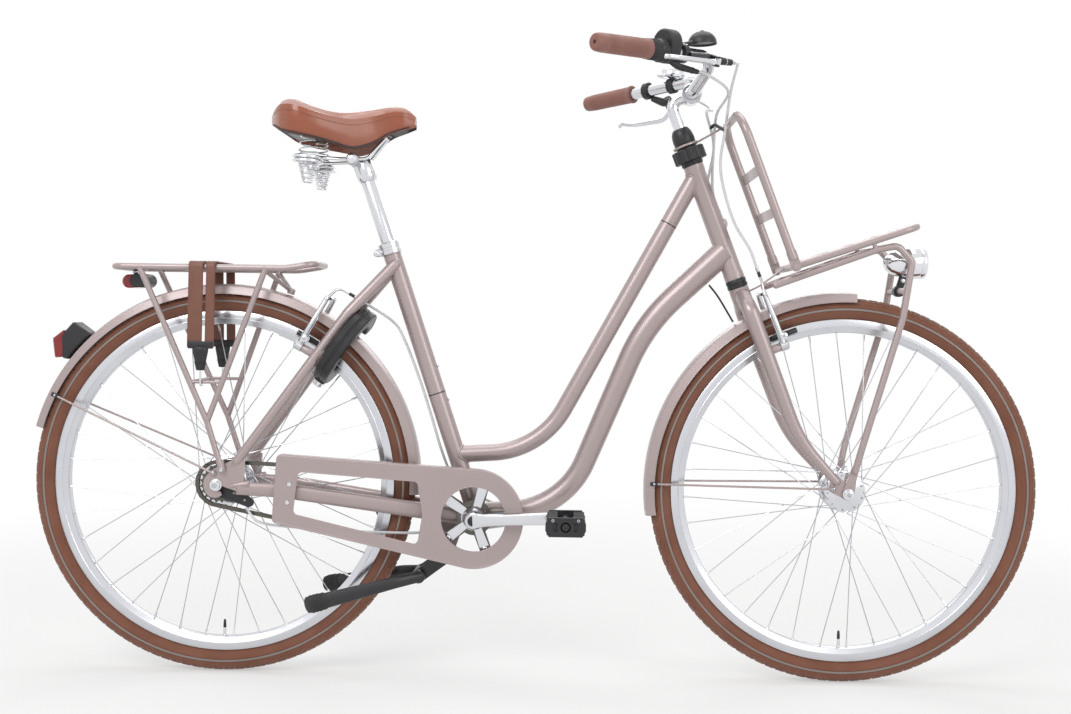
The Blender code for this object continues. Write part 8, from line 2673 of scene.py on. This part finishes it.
@dataclass
class Seat:
    """The post, the sprung rails and the saddle."""

    wire: float = 0.00135
    sections: tuple[tuple[float, float, float, float], ...] = (
        (0.0905, 0.042, 1.034, 1.0120), (0.1020, 0.068, 1.050, 1.0040), (0.1180, 0.090, 1.0615, 0.9950),
        (0.1460, 0.106, 1.0585, 0.9880), (0.1800, 0.096, 1.0470, 0.9820), (0.2100, 0.079, 1.0412, 0.9755),
        (0.2400, 0.059, 1.0425, 0.9690), (0.2720, 0.042, 1.0482, 0.9790), (0.3040, 0.031, 1.0535, 0.9985),
        (0.3300, 0.025, 1.0515, 1.0080), (0.3490, 0.014, 1.0370, 1.0140))

    def build(self) -> None:
        """Builds the post, the rails, the padded cover, the pan and the two springs."""
        self.post().done("seat_post_body", "aluminium", "seat_post")
        self.rails().done("seat_post_body", "spring_steel", "saddle_undercarriage")
        cover = self.cover().done("saddle_body", "brown_leather", "saddle_cover")
        self.pan().done("saddle_body", "black_steel", "saddle_pan")
        for side, sign in SIDES.items():
            made = self.spring(side, sign).done("seat_post_body", "spring_steel", f"saddle_spring_{side}")
            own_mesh(made)

    def post(self) -> Piece:
        """The polished post with its swaged top.

        Returns:
            The piece with its shapes.
        """
        piece = Piece("polished_seat_post")
        piece.add(rod(seat_point(0.300), seat_point(0.669), 0.0136, 48, edge=0.0008), POLISHED)
        low, high = seat_point(0.647), seat_point(0.687)
        length = (high - low).length
        cap = [(0.0132, 0), (0.0150, 0.0010), (0.0172, 0.0060), (0.0185, 0.0120), (0.0185, length - 0.003),
               (0.0168, length), (0, length)]
        piece.add(turned(cap, aimed(low, high - low), 56), POLISHED)
        return piece

    def rails(self) -> Piece:
        """The clamp with its bolt and the two wires that end in the springs' collars.

        Returns:
            The piece with its shapes.
        """
        piece = Piece("saddle_rails_and_clamp")
        clamp = (0.2365, 0, 0.9535)
        piece.add(across(clamp, 0.038, 0.0095, 40, edge=0.0016), ALLOY)
        for sign in SIDES.values():
            collar = Matrix.Translation(clamp) @ (ACROSS if sign > 0 else SIDEWAYS)
            piece.add(ring(0.0115, 0.0090, 0.012, 0.0335, collar, 0.0016, 56), ALLOY)
            piece.add(nut(aimed((0.2365, sign * 0.0376, 0.9535), (0, sign, 0)), 0.0072, 0.0045), CHROME)
            corners = [(0.2944, sign * 0.012, 0.9946), (0.262, sign * 0.022, 0.955, 0.02),
                       (0.215, sign * 0.030, 0.9535, 0.05), (0.1835, sign * 0.0447, 0.9535, 0.04),
                       (0.162, sign * 0.0455, 0.955, 0.01), (0.156, sign * 0.0463, 0.955)]
            path = bend(corners, 0.08)[:-1]
            for i in range(73):
                angle = math.tau * i / 36
                path.append(Vector((0.162 - 0.0245 * math.sin(angle),
                                    sign * (0.070 - 0.0245 * math.cos(angle)),
                                    0.955 - 0.0075 * i / 36)))
            piece.add(tube(path, 0.0032, 20), CHROME)
            piece.add(ball(0.0040, Matrix.Translation(path[0]), 12), CHROME)
        return piece

    def spring(self, side: str, sign: int) -> Piece:
        """A cone of wire: open turns above the collar and close ones below it.

        Args:
            side: "left" or "right".
            sign: 1 for the left side, -1 for the right.

        Returns:
            The piece with its shapes.
        """
        piece = Piece(f"{side}_saddle_spring")
        stops = [(0, 0.0115, 0.99675), (1.5, 0.0120, 0.9885), (3.5, 0.0155, 0.9640), (5, 0.0180, 0.9520),
                 (6.5, 0.0180, 0.9450), (16, 0.0085, 0.9055)]
        path = []
        for i in range(16 * 28 + 1):
            turns = i / 28
            low, high = next((a, b) for a, b in zip(stops, stops[1:]) if turns <= b[0])
            share = (turns - low[0]) / (high[0] - low[0])
            radius = low[1] + (high[1] - low[1]) * share
            angle = sign * math.tau * turns
            path.append(Vector((0.162 + radius * math.cos(angle), sign * 0.070 + radius * math.sin(angle),
                                low[2] + (high[2] - low[2]) * share)))
        piece.add(tube(path, self.wire, 8), CHROME)
        return piece

    def outline(self, x: float, half: float, top: float, skirt: float, inner: float) -> list[Vector]:
        """One cross section of the saddle's cover, as a closed loop.

        Args:
            x: Where the section lies.
            half: Half of its width.
            top: Its height in the middle.
            skirt: The height of its lower edge.
            inner: The height of its underside.

        Returns:
            The points in order.
        """
        points = [(0, top), (0.30, top - 0.0010), (0.55, top - 0.0038), (0.74, top - 0.0080),
                  (0.88, top - 0.0150),
                  (0.97, top - 0.27 * (top - skirt)), (1.0, top - 0.47 * (top - skirt)),
                  (0.975, top - 0.75 * (top - skirt)),
                  (0.93, skirt + 0.0012), (0.90, skirt)]
        upper = [(y * half, z) for y, z in points]
        lower = [(0.93 * half - 0.006, max(skirt, inner) + 0.0006), (0.4 * half, inner), (0, inner)]
        line = upper + [(max(y, 0), z) for y, z in lower]
        return [Vector((x, y, z)) for y, z in line] + [Vector((x, -y, z)) for y, z in line[-2:0:-1]]

    def smooth_sections(self, steps: int = 5) -> list[tuple[float, ...]]:
        """The saddle's sections with smooth ones between them.

        Args:
            steps: How many sections are made from one to the next.

        Returns:
            The sections from one end of the saddle to the other.
        """
        rows = [Vector(row) for row in self.sections]
        made = []
        for i in range(len(rows) - 1):
            a, b, c, d = rows[max(i - 1, 0)], rows[i], rows[i + 1], rows[min(i + 2, len(rows) - 1)]
            for k in range(steps):
                t = k / steps
                made.append(tuple(0.5 * (2 * b + (c - a) * t + (2 * a - 5 * b + 4 * c - d) * t**2
                                         + (3 * b - a - 3 * c + d) * t**3)))
        made.append(tuple(rows[-1]))
        return made

    def cover(self) -> Piece:
        """The leather cover over a dark underside, with a bead round its edge and a crease above.

        Returns:
            The piece with its shapes.
        """
        piece = Piece("leather_saddle_cover")
        work = bmesh.new()
        rows, loops = self.smooth_sections(), []
        for i, (x, half, top, skirt) in enumerate(rows):
            near = min(i, len(rows) - 1 - i)
            inner = max(1.002, skirt) if near > 4 else skirt + (top - skirt) * (0.30 - 0.05 * near)
            loops.append([work.verts.new(p) for p in self.outline(x, half, top, skirt, inner)])
        for a, b in zip(loops, loops[1:]):
            for k in range(len(a)):
                work.faces.new((a[k], a[k - 1], b[k - 1], b[k]))
        work.faces.new(loops[0])
        work.faces.new(loops[-1][::-1])
        bmesh.ops.recalc_face_normals(work, faces=work.faces)
        under = work.copy()
        for part, below in ((work, False), (under, True)):
            wrong = [face for face in part.faces if (face.normal.z < -0.55) is not below]
            bmesh.ops.delete(part, geom=wrong, context="FACES")
        piece.add(work, LEATHER)
        piece.add(under, BLACK_RUBBER)
        for sign in SIDES.values():
            edge = [Vector((x, sign * half * 0.962, skirt + 0.0030)) for x, half, top, skirt in rows[3:-3]]
            piece.add(tube(edge, 0.0013, 8), BLACK_RUBBER)
            crease = [Vector((x, sign * half * 0.9985, top - 0.42 * (top - skirt))) for x, half, top,
                      skirt in rows[3:-3]]
            piece.add(tube(crease, 0.0007, 8), LEATHER)
        return piece

    def pan(self) -> Piece:
        """The stiff base under the padding, with a rib along its middle.

        Returns:
            The piece with its shapes.
        """
        piece = Piece("saddle_base_pan")
        edge = [(x, 0.93 * half - 0.014) for x, half, _, _ in self.sections[2:9]]
        outline = [(x, y) for x, y in edge] + [(x, -y) for x, y in edge[::-1]]
        piece.add(plate(outline, 0.003, shift(z=0.9999), edge=0.0006), BLACK_STEEL)
        piece.add(block((0.120, 0.006, 0.0020), shift(0.200, 0, 0.9984), 0.0006), BLACK_STEEL)
        return piece


# Cables


@dataclass
class Cables:
    """Every sleeve of the brakes and the gear hub, at the frame and at the bar."""

    radius: float = 0.0025
    gap: float = 0.0003
    clearance: float = 0.0016
    sweep: float = 0.045
    meet: float = 0.560
    gear_turn: float = math.radians(62)
    brake_turn: float = math.radians(78)
    housing_middle: float = 0.1746

    def build(self) -> None:
        """Builds the two cables of the frame and the bundle at the bar."""
        rear, gear = self.rear_head(), self.gear_head()
        for name, node, head, low, lower, turn in (
                ("rear_brake_sleeve", "rear_brake_cable", rear, 0.10, 0, self.brake_turn),
                ("gear_sleeve", "shift_cable", gear, 0.16, 24, self.gear_turn)):
            end = self.swept_end(turn, self.meet)
            entry = [STEERING @ (end - Vector((0, 0, 0.030))), STEERING @ (end - Vector((0, 0, 0.008))),
                     STEERING @ end]
            route = head + self.beside_down_tube(low, 0.90, 7, math.radians(lower)) + entry
            piece = Piece(name)
            self.sleeve(piece, route)
            piece.done("frame_body", "white_sleeve", node)
        self.bar_bundle().done("steering_body", "white_sleeve", "bar_cables")

    def sleeve(self, piece: Piece, route: Sequence[Vector]) -> list[Vector]:
        """Adds one sleeve with a ferrule at each end, and gives its smooth path.

        Args:
            piece: The piece that takes the shapes.
            route: The points that it passes.

        Returns:
            The points in order.
        """
        path = curved(route, 6)
        piece.add(tube(path, self.radius, 16), WHITE_SLEEVE)
        for start, onward in ((path[0], path[1] - path[0]), (path[-1], path[-2] - path[-1])):
            piece.add(ring(0.0031, 0.0022, 0.0002, 0.0085, aimed(start, onward), 0.0004, 20), STAINLESS)
        return path

    def swept_end(self, turn: float, height: float) -> Vector:
        """The steering point where a cable of the bar meets one of the frame."""
        return Vector((self.sweep * math.cos(turn), self.sweep * math.sin(turn), height))

    def beside_down_tube(self, low: float, high: float, count: int, lower: float) -> list[Vector]:
        """Points on the left of the down tube, from one share of its length to another.

        Args:
            low: The share of the tube's length where they begin.
            high: The share where they end.
            count: How many points there are.
            lower: The angle below the tube's side, in radians.

        Returns:
            The points in order.
        """
        path = FrameSet().down_path()
        sizes = sizes_along(path, [(0, 0.020), (0.45, 0.020), (1, 0.0235)])
        runs = [0.0]
        for a, b in zip(path, path[1:]):
            runs.append(runs[-1] + (b - a).length)
        points = []
        for i in range(count):
            run = runs[-1] * (low + (high - low) * i / (count - 1))
            k = max(j for j in range(len(path) - 1) if runs[j] <= run)
            share = (run - runs[k]) / (runs[k + 1] - runs[k])
            along = (path[k + 1] - path[k]).normalized()
            away = sizes[k] + (sizes[k + 1] - sizes[k]) * share + self.radius + self.clearance
            down = Vector((along.z, 0, -along.x))
            side = Vector((0, math.cos(lower), 0)) + down * math.sin(lower)
            points.append(path[k].lerp(path[k + 1], share) + side * away)
        return points

    def rear_head(self) -> list[Vector]:
        """The rear brake cable's way from its noodle to the down tube.

        Returns:
            The points in order.
        """
        elbow, noodle = [boss_place("rear") @ Vector(p) for p in ((-0.006, 0.020, 0.1275),
                                                                  (-0.040, 0.020, 0.1275))]
        onward = (noodle - elbow).normalized()
        way = [(0.3090, 0.020, 0.6560), (0.3330, 0.008, 0.6194), (0.3617, 0.000, 0.5490),
               (0.3830, 0.000, 0.4850),
               (0.4024, 0.004, 0.4209), (0.4200, 0.0215, 0.3740), (0.4500, 0.0250, 0.3420),
               (0.4760, 0.0262, 0.3290),
               (0.5020, 0.0252, 0.3180)]
        return [noodle + onward * self.gap, noodle + onward * 0.018] + [Vector(p) for p in way]

    def gear_head(self) -> list[Vector]:
        """The gear cable's way from the hub's cable joint to the down tube.

        Returns:
            The points in order.
        """
        way = [(0.052, -0.0562, WHEEL_RADIUS - 0.0423), (0.068, -0.0562, 0.2920), (0.084, -0.0500, 0.2840),
               (0.110, -0.0380, 0.2780), (0.220, -0.0315, 0.2700), (0.345, -0.0310, 0.2680),
               (0.385, -0.0190, 0.2690),
               (0.430, -0.0180, 0.2680), (0.470, -0.0170, 0.2745), (0.500, 0.0040, 0.2755),
               (0.535, 0.0170, 0.2810)]
        return [Vector(p) for p in way]

    def bar_bundle(self) -> Piece:
        """The front brake's cable and the two that meet the frame's, held by a clip.

        Returns:
            The piece with its shapes.
        """
        piece = Piece("bar_sleeves", STEER)
        right, left = [bar_place(side, *BRACKETS[side]) for side in ("right", "left")]
        outlet = bar_place("right", self.housing_middle)
        elbow, noodle = [boss_place("front") @ Vector(p) for p in ((0.004, -0.031, 0.119),
                                                                   (0.004, -0.031, 0.142))]
        onward = (noodle - elbow).normalized()
        front = [right @ ahead("right", -0.0885, 0.0380, 0), right @ ahead("right", -0.1050, 0.0395, 0),
                 Vector((0.1230, -0.0900, 0.7920)), Vector((0.1020, -0.0540, 0.7560)),
                 Vector((0.0700, -0.0440, 0.6950)),
                 Vector((0.0380, -0.0390, 0.6300)), Vector((0.0300, -0.0300, 0.5400)),
                 noodle + onward * 0.045,
                 noodle + onward * 0.012, noodle + onward * self.gap]
        paths = [self.sleeve(piece, front)]
        for start, turn in (
                ([left @ ahead("left", -0.0885, 0.0380, 0), left @ ahead("left", -0.1050, 0.0395, 0),
                  Vector((0.0750, 0.0450, 0.7480)), Vector((0.0560, -0.0020, 0.7400))], self.brake_turn),
                ([outlet @ ahead("right", -0.0625, 0.012, -0.031),
                  outlet @ ahead("right", -0.0800, 0.015, -0.033),
                  Vector((0.0950, -0.0700, 0.7560)), Vector((0.0700, -0.0150, 0.7300))], self.gear_turn)):
            end = self.swept_end(turn, self.meet + self.gap)
            paths.append(self.sleeve(piece, start + [Vector((0.052, 0.030, 0.6800)),
                                                     end + Vector((0.004, 0.002, 0.050)),
                                                     end + Vector((0, 0, 0.012)), end]))
        middle = Vector((0.070, -0.010, 0.700))
        held = [min(path, key=lambda p: (p - middle).length) for path in (paths[0], paths[2], paths[1])]
        piece.add(tube(held, 0.0033, 16), BLACK_PLASTIC)
        return piece


# Studio


@dataclass(frozen=True)
class Lamp:
    """A soft area light, aimed at a point of the bike."""

    name: str
    place: Triple
    target: Triple
    size: Pair
    power: float

    def build(self) -> None:
        """Adds the light to the scene."""
        light = bpy.data.lights.new(self.name, "AREA")
        light.shape = "RECTANGLE"
        light.size, light.size_y = self.size
        light.energy = self.power
        made = bpy.data.objects.new(self.name, light)
        made.matrix_world = aimed(self.place, Vector(self.place) - Vector(self.target))
        bpy.context.scene.collection.objects.link(made)


def seen_rays(tree: bpy.types.NodeTree) -> bpy.types.NodeSocket:
    """Adds a factor that is 1 for the camera's rays and for those seen through metal or glass.

    Args:
        tree: The node tree that it is added to.

    Returns:
        The socket that gives the factor.
    """
    path = add_node(tree, "ShaderNodeLightPath")
    direct = add_node(tree, "ShaderNodeMath", {}, {0: path.outputs["Is Camera Ray"],
                                                   1: path.outputs["Is Transmission Ray"]},
                      operation="MAXIMUM")
    return add_node(tree, "ShaderNodeMath", {}, {0: direct.outputs[0], 1: path.outputs["Is Glossy Ray"]},
                    operation="MAXIMUM").outputs[0]


@dataclass
class Studio:
    """The floor, the white surroundings, the lights and the photograph's camera."""

    camera_place: Triple = (0.0497354, -2.4, 0.6666626)
    yaw: float = 0.01959427
    pitch: float = 0.02983472
    roll: float = 0.01407645
    focal: float = 1292.88987 / 1071 * 36
    lamps: tuple[Lamp, ...] = (
        Lamp("key_softbox", (-1.5, -2.6, 2.7), (0, 0, 0.5), (2.2, 1.6), 53.0),
        Lamp("fill_softbox", (2.4, -2.3, 1.8), (0, 0, 0.5), (1.8, 1.8), 26.0),
        Lamp("top_softbox", (0.0, 0.4, 3.4), (0, 0, 0.4), (3.0, 2.0), 39.0),
        Lamp("rim_softbox", (0.4, 2.8, 2.2), (0, 0, 0.6), (2.6, 1.2), 20.0),
    )

    def camera(self) -> None:
        """Places the camera that was fitted to the photograph's wheels, bracket and head tube."""
        data = bpy.data.cameras.new("photo_camera")
        data.sensor_fit = "HORIZONTAL"
        data.sensor_width = 36.0
        data.lens = self.focal
        data.clip_end = 100
        made = bpy.data.objects.new("photo_camera", data)
        level = Matrix.Rotation(math.pi / 2, 4, "X")
        made.matrix_world = (Matrix.Translation(self.camera_place) @ Matrix.Rotation(self.yaw, 4, "Z") @ level
                             @ Matrix.Rotation(-self.pitch, 4, "X") @ Matrix.Rotation(self.roll, 4, "Z"))
        bpy.context.scene.collection.objects.link(made)
        bpy.context.scene.camera = made

    def floor(self) -> None:
        """Lays a flat pale floor, which turns to plain white for the eye away from the bike."""
        work = bmesh.new()
        bmesh.ops.create_grid(work, x_segments=1, y_segments=1, size=14, matrix=Matrix())
        mesh = bpy.data.meshes.new("studio_floor")
        work.to_mesh(mesh)
        work.free()
        material = bpy.data.materials.new("white_studio_floor")
        material.use_nodes = True
        tree = material.node_tree
        shader = tree.nodes["Principled BSDF"]
        shader.inputs["Roughness"].default_value = 0.85
        spots = add_node(tree, "ShaderNodeTexCoord").outputs["Object"]
        cloud = add_node(tree, "ShaderNodeTexNoise", {"Scale": 1.5, "Detail": 2.0}, {"Vector": spots})
        mix = add_node(tree, "ShaderNodeMix", {6: linear("#f4f4f3"), 7: linear("#f0f0ef")},
                       {0: cloud.outputs["Fac"]}, data_type="RGBA")
        tree.links.new(mix.outputs[2], shader.inputs["Base Color"])
        away = add_node(tree, "ShaderNodeVectorMath", {}, {0: spots}, operation="LENGTH")
        fade = add_node(tree, "ShaderNodeMapRange",
                        {"From Min": 0.9, "From Max": 2.6, "To Min": 0.45, "To Max": 1.0},
                        {"Value": away.outputs["Value"]}, interpolation_type="SMOOTHSTEP")
        glow = add_node(tree, "ShaderNodeEmission", {"Color": linear("#ffffff"), "Strength": 1.0})
        shown = add_node(tree, "ShaderNodeMath", {}, {0: fade.outputs["Result"], 1: seen_rays(tree)},
                         operation="MULTIPLY")
        blend = add_node(tree, "ShaderNodeMixShader", {}, {0: shown.outputs[0], 1: shader.outputs[0],
                                                          2: glow.outputs[0]})
        tree.links.new(blend.outputs[0], tree.nodes["Material Output"].inputs["Surface"])
        mesh.materials.append(material)
        made = bpy.data.objects.new("studio_floor", mesh)
        bpy.context.scene.collection.objects.link(made)

    def world(self) -> None:
        """Lights the bike softly from all round, and shows white to the eye, to metal and to glass."""
        world = bpy.data.worlds.new("white_room")
        bpy.context.scene.world = world
        world.use_nodes = True
        tree = world.node_tree
        tree.nodes.clear()
        soft = add_node(tree, "ShaderNodeBackground", {"Color": linear("#ffffff"), "Strength": 0.38})
        white = add_node(tree, "ShaderNodeBackground", {"Color": linear("#ffffff"), "Strength": 1.0})
        mix = add_node(tree, "ShaderNodeMixShader", {}, {0: seen_rays(tree), 1: soft.outputs[0],
                                                        2: white.outputs[0]})
        add_node(tree, "ShaderNodeOutputWorld", {}, {"Surface": mix.outputs[0]})

    def build(self) -> None:
        """Builds the whole studio."""
        self.camera()
        self.floor()
        self.world()
        for lamp in self.lamps:
            lamp.build()
        view = bpy.context.scene.view_settings
        view.view_transform = "Standard"


def main() -> None:
    """Builds the studio and the bike's assemblies, and logs each piece's face count."""
    logging.basicConfig(level=logging.INFO, format="%(message)s")
    Studio().build()
    front = STEER @ FRONT_WHEEL
    Wheel("rear", BIKE @ Matrix.Translation(REAR_AXLE), 0.070, 0.046, 0.036, 0.0205, 0.005).build()
    Wheel("front", front, 0.0994, 0.037, 0.030, 0.012, 0.0045).build()
    Axle("rear", BIKE @ Matrix.Translation(REAR_AXLE), 0.005, 0.071, 0.084, (0.0356, 0.0657)).build()
    Axle("front", front, 0.0045, 0.0578, 0.0688).build()
    FrameSet().build()
    Mudguard("rear", BIKE @ Matrix.Translation(REAR_AXLE), -3, 164.3, (-0.0043, 0.0217), 0.071, 153.5).build()
    Mudguard("front", front, 87.4, 188, (-0.0275, 0.0088), 0.0545, 178.5).build()
    Drive().build()
    ForkSet().build()
    Cockpit().build()
    build_brakes()
    RearRack().build()
    RingLock().build()
    build_stand()
    FrontRack().build()
    Seat().build()
    Cables().build()


if __name__ == "__main__":
    main()
